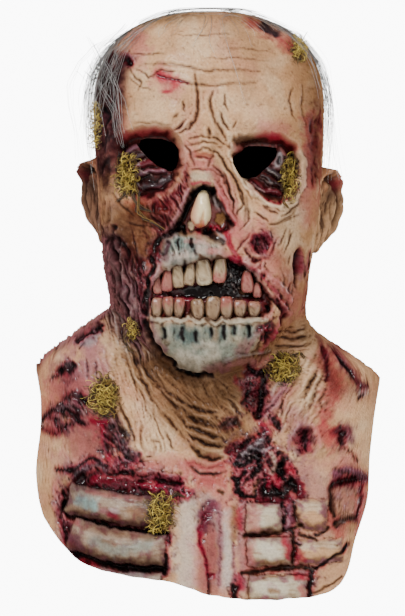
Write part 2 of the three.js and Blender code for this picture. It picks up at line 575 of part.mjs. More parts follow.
// The hollow cast: a strip round the hem joins its two faces.
function castShell() {
  const outer = castFace(outerTurns, outerRuns, castPoint, true);
  const inner = underFace(WALL, false);
  const strip = [];
  const count = inner.rim.length;
  for (let i = 0; i < count; i++) {
    const a = inner.rim[i];
    const b = inner.rim[(i + 1) % count];
    const [p, q, r] = [0, 1, 2].map((k) => outer.rim[(2 * i + k) % outer.rim.length]);
    strip.push([p, a, q], [q, a, b], [q, b, r]);
  }
  return solidOf(geometryOf([...outer.triangles, ...inner.triangles, ...strip])).simplify(EVENING);
}

// Everything inside one face of the cast as a filled form, closed by a fan over the hem.
function filledForm(face) {
  const middle = new THREE.Vector3(0, 0, bibZ(1));
  const lid = face.rim.map((p, i) => [p, middle, face.rim[(i + 1) % face.rim.length]]);
  return solidOf(geometryOf([...face.triangles, ...lid]));
}

// The relief point on the face or bib, seen from the front.
function surfaceAt(x, z) {
  const angle = angleAcross(x === 0 ? 1e-6 : x, z, false);
  const point = bodyPoint(angle, z);
  const seen = smoothstep(Math.cos(angle), 0, 0.3);
  point.y -= relief(x, z) * seen;
  return point;
}

// A tooth is a rounded block that narrows a little towards the gum.
function tooth(row) {
  const width = row.wide * HALF_HEAD;
  const height = (row.bottom - row.top) * FACE_LENGTH;
  const geometry = new THREE.SphereGeometry(0.5, 7, 5);
  const place = geometry.attributes.position;
  const upper = row.name.startsWith("upper");
  for (let i = 0; i < place.count; i++) {
    const square = (v) => Math.sign(v) * (2 * Math.abs(v)) ** 0.62 * 0.5;
    const z = square(place.getZ(i));
    const gumShare = upper ? z + 0.5 : 0.5 - z;
    place.setXYZ(i, square(place.getX(i)) * width * lerp(1.04, 0.8, gumShare), square(place.getY(i)) * TOOTH_DEPTH, z * height);
  }
  const x = headX(row.across);
  const z = headZ((row.top + row.bottom) / 2);
  const floor = surfaceAt(x, z);
  return solidOf(geometry).translate([x, floor.y + TOOTH_DEPTH / 2 - TOOTH_PROUD + row.back / 2, z]);
}

// An ear is a dished oval plate with a thick rim, set into the side of the head and flaring back off it.
function ear(side, topDown) {
  const geometry = new THREE.SphereGeometry(0.5, 14, 10);
  const place = geometry.attributes.position;
  for (let i = 0; i < place.count; i++) {
    const y = place.getY(i) * 2;
    const z = place.getZ(i) * 2;
    const middle = Math.max(0, 1 - (y * y + z * z) / 0.55);
    const lobe = 1 - 0.3 * smoothstep(-z, 0, 1);
    const outerFace = place.getX(i) > 0 ? 1 : 0;
    place.setXYZ(
      i,
      (place.getX(i) * 2 * 0.5 - 0.55 * middle * outerFace) * EAR_THICKNESS,
      (y * EAR_BREADTH * lobe) / 2,
      (z * EAR_LENGTH) / 2,
    );
  }
  geometry.rotateX(degToRad(8));
  geometry.rotateZ(degToRad(-EAR_FLARE));
  geometry.translate(EAR_BREADTH * 0.1, EAR_BREADTH * 0.22, 0);
  const shape = side < 0 ? geometry.scale(-1, 1, 1) : geometry;
  const z = headZ(topDown) - EAR_LENGTH / 2;
  const solid = side < 0 ? flipped(shape) : solidOf(shape);
  return solid.translate([side * headRadius((side * Math.PI) / 2, z), 0, z]);
}

// A mirrored geometry with its faces turned back out.
function flipped(geometry) {
  const loose = geometry.index ? geometry.toNonIndexed() : geometry;
  const p = loose.attributes.position;
  const corner = (i) => new THREE.Vector3().fromBufferAttribute(p, i);
  const triangles = [];
  for (let i = 0; i < p.count; i += 3) triangles.push([corner(i), corner(i + 2), corner(i + 1)]);
  return solidOf(geometryOf(triangles));
}

// A prism along Y through the face, from corners seen from the front.
function faceCutter(corners) {
  const shape = new THREE.Shape(corners.map((c) => new THREE.Vector2(headX(c.across), headZ(c.down))));
  const geometry = new THREE.ExtrudeGeometry(shape, { depth: HEAD_DEPTH, bevelEnabled: false });
  return solidOf(geometry.rotateX(Math.PI / 2));
}

function nostrilCutter(row) {
  const geometry = new THREE.CylinderGeometry(NOSTRIL_RADIUS, NOSTRIL_RADIUS, HEAD_DEPTH, 10);
  return solidOf(geometry.translate(headX(row.across), -HEAD_DEPTH / 2, headZ(row.down)));
}

// A rib is a rounded bar laid on the floor of its window.
function rib(row) {
  const ends = [
    [row.fromAcross, row.fromDown],
    [row.toAcross, row.toDown],
  ].map(([across, down]) => surfaceAt(bibX(across), bibZ(down)));
  const radius = bibX(row.half);
  const middle = ends[0].clone().add(ends[1]).multiplyScalar(0.5);
  middle.y -= row.out * radius;
  const length = ends[0].distanceTo(ends[1]);
  const geometry = new THREE.CapsuleGeometry(radius, length, 2, 8);
  const along = ends[1].clone().sub(ends[0]).normalize();
  const turn = new THREE.Quaternion().setFromUnitVectors(new THREE.Vector3(0, 1, 0), along);
  return solidOf(geometry.applyQuaternion(turn).translate(middle.x, middle.y, middle.z));
}

function noseNub() {
  const x = headX(NOSE_NUB.across);
  const z = headZ(NOSE_NUB.down);
  const geometry = new THREE.SphereGeometry(1, 8, 6).scale(headX(NOSE_NUB.wide), NOSE_NUB.proud, NOSE_NUB.tall * FACE_LENGTH);
  return solidOf(geometry).translate(surfaceAt(x, z).toArray());
}

// What stands out of the cast is rooted half way into its wall.
function latexSkin() {
  const proud = [...TEETH.map(tooth), noseNub(), ...RIBS.map(rib), ear(-1, EAR_TOP.left), ear(1, EAR_TOP.right)];
  const core = filledForm(underFace(WALL / 2, true));
  let skin = castShell();
  for (const solid of proud) skin = skin.add(solid.subtract(core));
  for (const hole of [LEFT_EYE_HOLE, RIGHT_EYE_HOLE]) skin = skin.subtract(faceCutter(hole));
  for (const row of NOSTRILS) skin = skin.subtract(nostrilCutter(row));
  return largest(skin.simplify(EVENING));
}

// How far the middle of a solid is from the upright axis.
function farOut(solid) {
  const box = solid.boundingBox();
  return Math.hypot(box.min[0] + box.max[0], box.min[1] + box.max[1]);
}

// A tuft is a lumpy mound, cut to lie on the cast with a glue line under it; what falls apart from it is dropped.
function mossTuft(row, skin) {
  const [wide, tall, high] = [row.wide, row.tall, row.high].map((share) => share * MOSS_LENGTH);
  const geometry = new THREE.SphereGeometry(1, 9, 7);
  const place = geometry.attributes.position;
  for (let i = 0; i < place.count; i++) {
    const v = new THREE.Vector3().fromBufferAttribute(place, i);
    const lump = 1 + 0.13 * Math.sin(5 * v.x + 40 * row.wide) * Math.cos(4 * v.z + 40 * row.tall) * (1 - v.z * v.z);
    place.setXYZ(i, (v.x * lump * wide) / 2, v.y * lump * high, (v.z * tall) / 2);
  }
  const onHead = row.on === "head";
  const x = onHead ? headX(row.across) : bibX(row.across);
  const z = onHead ? headZ(row.down) : bibZ(row.down);
  const angle = angleAcross(x, z, false);
  geometry.rotateZ(angle);
  const centre = surfaceAt(x, z).addScaledVector(FORWARD, MOSS_LIFT * high);
  const reach = wide + tall + high;
  const around = solidOf(new THREE.BoxGeometry(reach, reach, reach)).translate(centre.toArray());
  const near = skin.intersect(around);
  let mound = solidOf(geometry).translate(centre.toArray()).subtract(near);
  for (const axis of [0, 1, 2])
    for (const way of [-1, 1]) {
      const step = [0, 0, 0];
      step[axis] = way * GLUE_GAP;
      mound = mound.subtract(near.translate(step));
    }
  const parts = mound.decompose();
  const whole = Math.max(...parts.map((part) => part.volume()));
  const outside = parts.filter((part) => part.volume() > whole / 5).sort((a, b) => farOut(b) - farOut(a))[0];
  return largest(outside.simplify(EVENING / 2));
}

// The largest body of a solid, without crumbs or bubbles that its joins left.
function largest(solid) {
  return solid.decompose().sort((a, b) => b.volume() - a.volume())[0];
}

// The outward normal of the scalp, from its neighbours.
function scalpNormal(angle, z) {
  const step = 0.02;
  const across = bodyPoint(angle + step, z).sub(bodyPoint(angle - step, z));
  const down = bodyPoint(angle, z - step).sub(bodyPoint(angle, z + step));
  return across.cross(down).negate().normalize();
}

// A lock, flat below and ridged above, that follows the scalp along a path of places with an angle, height and width.
function lockStrip(path) {
  const rings = path.map((place, i) => {
    const here = bodyPoint(place.angle, place.z);
    const before = path[Math.max(i - 1, 0)];
    const after = path[Math.min(i + 1, path.length - 1)];
    const along = bodyPoint(after.angle, after.z).sub(bodyPoint(before.angle, before.z)).normalize();
    const normal = scalpNormal(place.angle, place.z);
    const side = along.cross(normal).normalize().multiplyScalar(place.wide / 2);
    const low = here.clone().addScaledVector(normal, LOCK_LIFT);
    const ridge = here.clone().addScaledVector(normal, LOCK_LIFT + LOCK_THICKNESS);
    return [low.clone().sub(side), low.clone().add(side), ridge];
  });
  const triangles = [];
  const quad = (a, b, c, d) => triangles.push([a, c, b], [a, d, c]);
  for (let i = 0; i + 1 < rings.length; i++)
    for (let k = 0; k < 3; k++) quad(rings[i][k], rings[i][(k + 1) % 3], rings[i + 1][(k + 1) % 3], rings[i + 1][k]);
  triangles.push(rings[0], [...rings[rings.length - 1]].reverse());
  return solidOf(geometryOf(triangles));
}

// The hair is a band glued round the back of the crown, with the locks hanging from it.
function hairLocks() {
  const turns = HAIR_BAND_TURN;
  const band = [];
  for (let i = 0; i <= 2 * LOCK_STEPS; i++) {
    const angle = degToRad(lerp(turns, 360 - turns, i / (2 * LOCK_STEPS)));
    band.push({ angle, z: headZ(HAIR_BAND_DOWN), wide: HAIR_BAND_WIDTH });
  }
  let hair = lockStrip(band);
  for (const row of LOCKS) {
    const path = [];
    for (let i = 0; i <= LOCK_STEPS; i++) {
      const t = i / LOCK_STEPS;
      const angle = degToRad(row.turn + row.drift * t);
      const z = headZ(lerp(row.from, row.to, t ** 1.6)); // closer together over the curve of the crown
      path.push({ angle, z, wide: row.wide * LOCK_WIDTH * lerp(1, LOCK_TIP, t ** 1.5) });
    }
    hair = hair.add(lockStrip(path));
  }
  return largest(hair.simplify(EVENING));
}

const mask = new THREE.Group();
const skin = latexSkin();
mask.add(meshOf("latex_skin", skin, LATEX));
for (const row of MOSS) mask.add(meshOf(row.name, mossTuft(row, skin), MOSS_FIBRE));
mask.add(meshOf("hair_locks", hairLocks(), HAIR_FIBRE));
mask.position.z = WALL;

export default mask;
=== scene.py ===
"""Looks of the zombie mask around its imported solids.

The cast skin is rebuilt finely on the same plain form as the solids. What is modelled and painted on its front is laid
out on a canvas seen from the front, in millimetres: x to the viewer's right, z up, and 0 at the crown. Blender's
objects are in metres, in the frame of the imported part.
"""

from __future__ import annotations

import logging
import math
from dataclasses import dataclass, field, replace
from enum import Enum
from itertools import product

import bpy
import numpy as np
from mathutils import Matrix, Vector
from mathutils.kdtree import KDTree

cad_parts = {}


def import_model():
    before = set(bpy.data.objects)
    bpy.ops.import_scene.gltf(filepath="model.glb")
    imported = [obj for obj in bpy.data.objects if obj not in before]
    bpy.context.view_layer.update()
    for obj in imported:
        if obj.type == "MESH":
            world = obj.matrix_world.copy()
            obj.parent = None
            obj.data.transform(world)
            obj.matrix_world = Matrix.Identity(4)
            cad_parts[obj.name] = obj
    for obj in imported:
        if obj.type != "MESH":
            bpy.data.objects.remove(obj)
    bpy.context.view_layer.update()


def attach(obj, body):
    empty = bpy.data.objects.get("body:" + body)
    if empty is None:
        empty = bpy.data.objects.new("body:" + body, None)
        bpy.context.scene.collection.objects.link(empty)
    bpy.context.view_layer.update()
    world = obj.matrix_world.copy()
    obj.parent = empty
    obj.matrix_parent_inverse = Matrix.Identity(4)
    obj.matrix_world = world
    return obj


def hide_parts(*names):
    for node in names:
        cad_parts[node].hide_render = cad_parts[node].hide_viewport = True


LOG = logging.getLogger("mask")
MM = 0.001
FULLNESS = 1.25  # how much fuller the paint is than it looks
DEPTH = 0.56  # how much darker it is
CROWN = 2.4  # mm from the origin, inside the crown, up to the top of the cast

Path = tuple[tuple[float, float], ...]


class Paint(Enum):
    """The colours that the mask is painted with, in sRGB."""

    SKIN = "#C8A282"
    PALE = "#DCC2A4"
    ORANGE = "#AB8260"
    BROWN = "#7B5C46"
    UMBER = "#4A3327"
    PINK = "#AE6E69"
    CRIMSON = "#7F1B2C"
    RED = "#96303A"
    MAROON = "#47121A"
    REDBROWN = "#74322B"
    MAUVE = "#94656A"
    PLUM = "#593843"
    CHARCOAL = "#2C2629"
    BLACK = "#150A0A"
    GREY = "#8E8A8B"
    LIGHT = "#C4BEB6"
    BONE = "#C1B59E"
    TEAL = "#93A298"
    DEEP_TEAL = "#46595A"
    SKY = "#97BDBA"
    WHITE = "#D3CBBA"
    ENAMEL = "#A8957B"
    CLEAN_ENAMEL = "#D2C6AE"
    TOOTH_STAIN_AND_SHADE = "#5C4636"
    NUB = "#E6D3AE"
    NUB_SIDE = "#C98F78"
    NUB_TIP = "#A8453F"
    NUB_GROOVE = "#A8744C"
    EAR_FLUSH = "#B5684E"
    EAR_HOLLOW = "#3C2820"
    EAR_RIM = "#D0B394"
    SHADED_INSIDE = "#1B1412"


class Row(Enum):
    """The two rows of teeth."""

    UPPER = "upper"
    LOWER = "lower"


class Side(Enum):
    """The viewer's left and right of the mask."""

    LEFT = -1
    RIGHT = 1


def rgb(code: str) -> np.ndarray:
    """Read a hex colour.

    Args:
        code: The colour as #RRGGBB.

    Returns:
        Its three sRGB shares, 0 to 1.
    """
    return np.array([int(code[i : i + 2], 16) / 255 for i in (1, 3, 5)])


def linear(colour: np.ndarray) -> np.ndarray:
    """Turn sRGB shares into the linear ones that Blender mixes.

    Args:
        colour: sRGB shares, of any shape.

    Returns:
        Linear shares of the same shape.
    """
    colour = np.clip(colour, 0, 1)
    return np.where(colour <= 0.04045, colour / 12.92, ((colour + 0.055) / 1.055) ** 2.4)


def pigment(colour: np.ndarray) -> np.ndarray:
    """Deepen paint so that it looks right under the bright soft light of the stage.

    Args:
        colour: sRGB shares as they look in the photograph.

    Returns:
        Linear shares for the vertices, darker and fuller.
    """
    plain = linear(colour)
    grey = plain @ np.array([0.25, 0.6, 0.15])
    return np.clip((grey[..., None] + (plain - grey[..., None]) * FULLNESS) * DEPTH, 0.002, 1)


def over(colour: np.ndarray, paint: Paint, cover: np.ndarray) -> np.ndarray:
    """Lay a paint over colours.

    Args:
        colour: sRGB shares, in a last axis of three.
        paint: The paint.
        cover: Share of each colour that it hides, without that last axis.

    Returns:
        The mixed shares.
    """
    return colour * (1 - cover[..., None]) + rgb(paint.value) * cover[..., None]


def ease(value: np.ndarray, low: float, high: float) -> np.ndarray:
    """Rise smoothly from 0 to 1 between two values.

    Args:
        value: What is read.
        low: Where the rise starts.
        high: Where it ends.

    Returns:
        The share risen, 0 to 1.
    """
    t = np.clip((value - low) / (high - low), 0, 1)
    return t * t * (3 - 2 * t)


def noise(coords: tuple[np.ndarray, ...], seed: int, octaves: int = 1) -> np.ndarray:
    """Smooth repeatable noise in two or three dimensions.

    Args:
        coords: One array for each dimension, where the largest lumps are about one unit wide.
        seed: Picks the pattern.
        octaves: How many layers are added, each twice as fine and half as strong.

    Returns:
        Values mostly within -1 to 1.
    """
    rng = np.random.default_rng(seed)
    shuffle = rng.permutation(256)
    slopes = rng.normal(size=(256, len(coords)))
    slopes /= np.linalg.norm(slopes, axis=1, keepdims=True)
    total = np.zeros(np.broadcast(*coords).shape)
    for octave in range(octaves):
        scaled = [c * 2**octave + 17.3 * octave for c in coords]
        cells = [np.floor(c).astype(int) for c in scaled]
        parts = [c - cell for c, cell in zip(scaled, cells)]
        fades = [p * p * p * (p * (p * 6 - 15) + 10) for p in parts]
        for corner in product((0, 1), repeat=len(coords)):
            index = np.zeros(total.shape, int)
            weight = np.ones(total.shape)
            for cell, fade, step in zip(cells, fades, corner):
                index = shuffle[(index + cell + step) & 255]
                weight = weight * (fade if step else 1 - fade)
            away = sum(slopes[index, k] * (parts[k] - corner[k]) for k in range(len(coords)))
            total += weight * away * 1.6 * 0.5**octave
    return total


def hermite(places: np.ndarray, values: np.ndarray, at: np.ndarray) -> np.ndarray:
    """A smooth curve through a table's values.

    Args:
        places: Rising places of the table's rows.
        values: The value in each row.
        at: Where the curve is read.

    Returns:
        The curve's values there.
    """
    at = np.clip(at, places[0], places[-1])
    i = np.clip(np.searchsorted(places, at, side="left") - 1, 0, len(places) - 2)
    before = np.maximum(np.arange(len(places)) - 1, 0)
    after = np.minimum(np.arange(len(places)) + 1, len(places) - 1)
    slopes = (values[after] - values[before]) / (places[after] - places[before])
    span = places[i + 1] - places[i]
    t = (at - places[i]) / span
    a, b = values[i], values[i + 1]
    bend = slopes[i] * (t - 2 * t**2 + t**3) + slopes[i + 1] * (t**3 - t**2)
    return a + (b - a) * (3 * t**2 - 2 * t**3) + span * bend


# Half-widths, depths and squareness of the head below the temples, as in the solids: down, left, right, front, back,
# power. The widths are shares of half the head's width, and the depths of its depth.
HEAD_SECTIONS = np.array(
    [
        (0.268, 0.99, 1.005, 0.471, 0.524, 2.25),
        (0.369, 0.98, 1.0, 0.471, 0.529, 2.3),
        (0.503, 0.95, 0.98, 0.456, 0.51, 2.35),
        (0.638, 0.916, 0.926, 0.456, 0.466, 2.4),
        (0.721, 0.884, 0.879, 0.471, 0.417, 2.45),
        (0.805, 0.821, 0.842, 0.476, 0.369, 2.55),
        (0.879, 0.695, 0.705, 0.481, 0.32, 2.7),
        (0.94, 0.526, 0.558, 0.471, 0.267, 2.8),
        (0.977, 0.379, 0.421, 0.442, 0.218, 2.8),
        (1.0, 0.147, 0.168, 0.34, 0.15, 2.6),
        (1.035, 0.05, 0.05, 0.2, 0.08, 2.2),
    ]
)

# The neck, shoulders and chest, in the same columns.
TORSO_SECTIONS = np.array(
    [
        (-0.4, 0.46, 0.46, 0.24, 0.34, 2.2),
        (-0.299, 0.53, 0.52, 0.257, 0.343, 2.1),
        (-0.223, 0.66, 0.56, 0.262, 0.343, 1.95),
        (-0.168, 0.753, 0.63, 0.267, 0.352, 1.88),
        (-0.114, 0.84, 0.733, 0.271, 0.367, 1.85),
        (-0.06, 0.92, 0.833, 0.276, 0.386, 1.85),
        (0.0, 0.965, 0.927, 0.281, 0.405, 1.88),
        (0.065, 0.98, 0.973, 0.29, 0.429, 1.95),
        (0.228, 0.993, 0.987, 0.314, 0.462, 2.1),
        (0.364, 1.0, 0.993, 0.348, 0.486, 2.2),
        (0.527, 1.013, 1.0, 0.4, 0.5, 2.3),
        (0.717, 1.02, 1.0, 0.448, 0.51, 2.35),
        (1.02, 1.013, 1.0, 0.495, 0.514, 2.4),
    ]
)

# The hem: the turn of the column that ends there in degrees, and its place across and down in shares.
HEM = np.array(
    [
        (-180, 0.0, 0.54),
        (-150, -0.4, 0.51),
        (-125, -0.7, 0.39),
        (-105, -0.88, 0.15),
        (-90, -0.95, -0.035),
        (-80, -0.92, 0.095),
        (-70, -0.92, 0.255),
        (-60, -0.942, 0.435),
        (-52, -0.92, 0.582),
        (-45, -0.867, 0.68),
        (-36, -0.7, 0.832),
        (-27, -0.5, 0.886),
        (-12, -0.2, 0.924),
        (0, 0.013, 0.978),
        (12, 0.2, 0.997),
        (25, 0.413, 0.997),
        (38, 0.647, 0.973),
        (46, 0.747, 0.902),
        (56, 0.807, 0.728),
        (66, 0.873, 0.554),
        (74, 0.887, 0.364),
        (82, 0.92, 0.147),
        (90, 0.947, 0.02),
        (105, 0.88, 0.17),
        (125, 0.7, 0.4),
        (150, 0.4, 0.51),
        (180, 0.0, 0.54),
    ]
)


@dataclass(frozen=True)
class Form:
    """The plain body of the cast without its relief, in millimetres."""

    half_head: float = 95.0
    head_depth: float = 206.0
    face: float = 298.0
    temple_drop: float = 80.0
    half_shoulder: float = 150.0
    chest_depth: float = 210.0
    bib: float = 184.0
    blend: float = 9.0
    split: float = 0.805

    def section(self, table: np.ndarray, place: np.ndarray, half: float, deep: float, angle: np.ndarray) -> np.ndarray:
        """Distance from the upright axis to a section's outline.

        Args:
            table: The sections.
            place: Share down the table at each point.
            half: What the widths are shares of.
            deep: What the depths are shares of.
            angle: Turn from the face, in radians.

        Returns:
            The distances.
        """
        left, right, front, back, power = (hermite(table[:, 0], table[:, k], place) for k in range(1, 6))
        side, ahead = np.sin(angle), np.cos(angle)
        wide = half * np.where(side < 0, left, right)
        long = deep * np.where(ahead > 0, front, back)
        return (np.abs(side / wide) ** power + np.abs(ahead / long) ** power) ** (-1 / power)

    def radius(self, angle: np.ndarray, z: np.ndarray) -> np.ndarray:
        """Distance from the upright axis to the body, the head and torso joined with a rounded crease.

        Args:
            angle: Turns from the face, in radians.
            z: Heights.

        Returns:
            The distances.
        """
        angle, z = np.broadcast_arrays(angle, z)
        head = self.section(HEAD_SECTIONS, -z / self.face, self.half_head, self.head_depth, angle)
        above = np.clip(-z / self.temple_drop, 0, 1)
        dome = 2.35 + 0.2 * np.cos(angle)
        head = head * (1 - (1 - above) ** dome) ** (1 / dome)
        down = (-z - self.face) / self.bib
        torso = self.section(TORSO_SECTIONS, down, self.half_shoulder, self.chest_depth, angle)
        share = np.clip(0.5 + 0.5 * (head - torso) / self.blend, 0, 1)
        joined = torso + (head - torso) * share + self.blend * share * (1 - share)
        return np.where(down < TORSO_SECTIONS[0, 0], head, joined)

    def point(self, angle: np.ndarray, z: np.ndarray, grow: float = 0.0) -> np.ndarray:
        """Points of the body at angles and heights, in a last axis of three."""
        radius = self.radius(angle, z) + grow
        return np.stack([radius * np.sin(angle), -radius * np.cos(angle), np.broadcast_to(z, radius.shape)], -1)

    def normal(self, angle: np.ndarray, z: np.ndarray) -> np.ndarray:
        """Outward directions of the body.

        Args:
            angle: Turns from the face, in radians.
            z: Heights.

        Returns:
            A direction of length 1 at each place, in a last axis of three.
        """
        turned = self.point(angle + 0.01, z) - self.point(angle - 0.01, z)
        raised = self.point(angle, np.minimum(z + 0.5, -0.02)) - self.point(angle, z - 0.5)
        across = np.cross(turned, raised)
        return across / np.linalg.norm(across, axis=-1, keepdims=True)

    def angle_across(self, x: np.ndarray, z: np.ndarray, behind: np.ndarray) -> np.ndarray:
        """The angle at which the body, at a height, has a given place across.

        Args:
            x: Places across.
            z: Heights.
            behind: Whether each is on the back.

        Returns:
            Angles in radians.
        """
        low, high = np.zeros(np.shape(x)), np.full(np.shape(x), math.pi / 2)
        for _ in range(30):
            middle = (low + high) / 2
            angle = np.sign(x) * np.where(behind, math.pi - middle, middle)
            short = self.radius(angle, z) * np.sin(middle) < np.abs(x)
            low, high = np.where(short, middle, low), np.where(short, high, middle)
        return np.sign(x) * np.where(behind, math.pi - low, low)

    def front(self, x: float, z: float) -> tuple[float, float]:
        """Where the plain front of the body lies behind a place seen from the front.

        Args:
            x: The place across.
            z: Its height.

        Returns:
            The body's y there, and its angle in radians.
        """
        at = np.array([x if x else 1e-6])
        angle = self.angle_across(at, np.array([z]), np.array([False]))
        return float(self.point(angle, np.array([z]))[0, 1]), float(angle[0])


FORM = Form()


@dataclass(frozen=True)
class Mark:
    """A soft dab or stroke: paint, relief and gloss over a path, or inside it where it is closed."""

    paint: Paint | None
    cover: float  # share of the old colour that is hidden
    reach: float  # mm from the path to where it ends, or the width of a closed one's edge
    path: Path
    height: float = 0.0  # mm
    sharp: float = 0.15  # share of the reach at full strength
    gloss: float = 0.0
    closed: bool = False

    def lay(self, canvas: Canvas) -> None:
        """Put the mark on the canvas.

        Args:
            canvas: The canvas, changed in place.
        """
        view, away, _ = canvas.measure(self.path, self.reach * 1.3, self.closed)
        if self.closed:
            share = ease(-away + 0.5 * canvas.ragged[view], -0.3 * self.reach, 0.7 * self.reach)
            crisp = ease(-away, -0.3 * self.reach, 0.7 * self.reach)
        else:
            away = away / self.reach * (1 + 0.4 * canvas.uneven[view])
            share = 1 - ease(away + 0.22 * canvas.ragged[view], self.sharp, 1)
            crisp = 1 - ease(away, self.sharp, 1)
        canvas.height[view] += self.height * crisp
        canvas.tint(view, self.paint, self.cover * share)
        canvas.wet(view, self.gloss * share)


@dataclass(frozen=True)
class Glaze:
    """Thin see-through paint over finished work: it darkens towards its own colour and keeps what lies under it."""

    paint: Paint
    cover: float
    reach: float
    path: Path
    closed: bool = False

    def lay(self, canvas: Canvas) -> None:
        """Put the glaze on the canvas.

        Args:
            canvas: The canvas, changed in place.
        """
        view, away, _ = canvas.measure(self.path, self.reach * 1.3, self.closed)
        if self.closed:
            share = ease(-away, -0.5 * self.reach, 0.5 * self.reach)
        else:
            share = 1 - ease(away / self.reach, 0.1, 1)
        share = share * (1 + 0.35 * canvas.ragged[view] + 0.25 * canvas.slow[view])
        thin = 0.55 * rgb(self.paint.value) + 0.45 * rgb(self.paint.value).mean()
        canvas.colour[view] *= 1 - np.clip(self.cover * share, 0, 1)[..., None] * (1 - thin)


@dataclass(frozen=True)
class Crease:
    """A fold line: a groove with raised shoulders that thins out towards its ends."""

    half: float  # mm, half the width of the groove
    depth: float  # mm
    path: Path
    lip: float = 0.45  # height of the shoulders as a share of the depth
    cover: float = 0.75
    paint: Paint = Paint.UMBER

    def lay(self, canvas: Canvas) -> None:
        """Put the crease on the canvas.

        Args:
            canvas: The canvas, changed in place.
        """
        view, away, along = canvas.measure(self.path, self.half * 5, False)
        taper = np.sin(math.pi * np.clip(along, 0.02, 0.98)) ** 0.5
        away = away / (self.half * (0.55 + 0.45 * taper))
        groove = np.exp(-(away**2)) * taper
        lips = np.exp(-((away - 2.1) ** 2) * 1.1) * taper
        canvas.height[view] += self.depth * (self.lip * lips - groove)
        cover = self.cover * (0.8 + 0.5 * canvas.uneven[view]) * np.exp(-((away * 1.1) ** 2)) * taper**0.6
        canvas.tint(view, self.paint, np.clip(cover, 0, 1))


@dataclass(frozen=True)
class Fibres:
    """Flesh that runs in strands: ridges along a direction, dark between and light on top."""

    dark: Paint
    light: Paint
    cover: float
    height: float  # mm
    spacing: float  # mm between strands
    length: float  # mm
    lean: float  # degrees from upright, positive with the top to the viewer's right
    edge: float  # mm over which they fade out
    path: Path

    def lay(self, canvas: Canvas) -> None:
        """Put the strands on the canvas, inside the closed path.

        Args:
            canvas: The canvas, changed in place.
        """
        view, away, _ = canvas.measure(self.path, self.edge * 1.3, True)
        share = ease(-away, -0.3 * self.edge, 0.7 * self.edge)
        lean = math.radians(self.lean)
        x, z = canvas.x[view] + 2.5 * canvas.slow[view], canvas.z[view]
        across = (x * math.cos(lean) - z * math.sin(lean)) / self.spacing
        down = (x * math.sin(lean) + z * math.cos(lean)) / self.length
        ridge = 1 - 2.6 * np.abs(noise((across * 0.5, down), 31, 3))
        canvas.height[view] += self.height * share * ridge
        canvas.tint(view, self.dark, self.cover * share * ease(-ridge, -0.25, 0.75))
        canvas.tint(view, self.light, 0.6 * self.cover * share * ease(ridge, 0.6, 1.0))


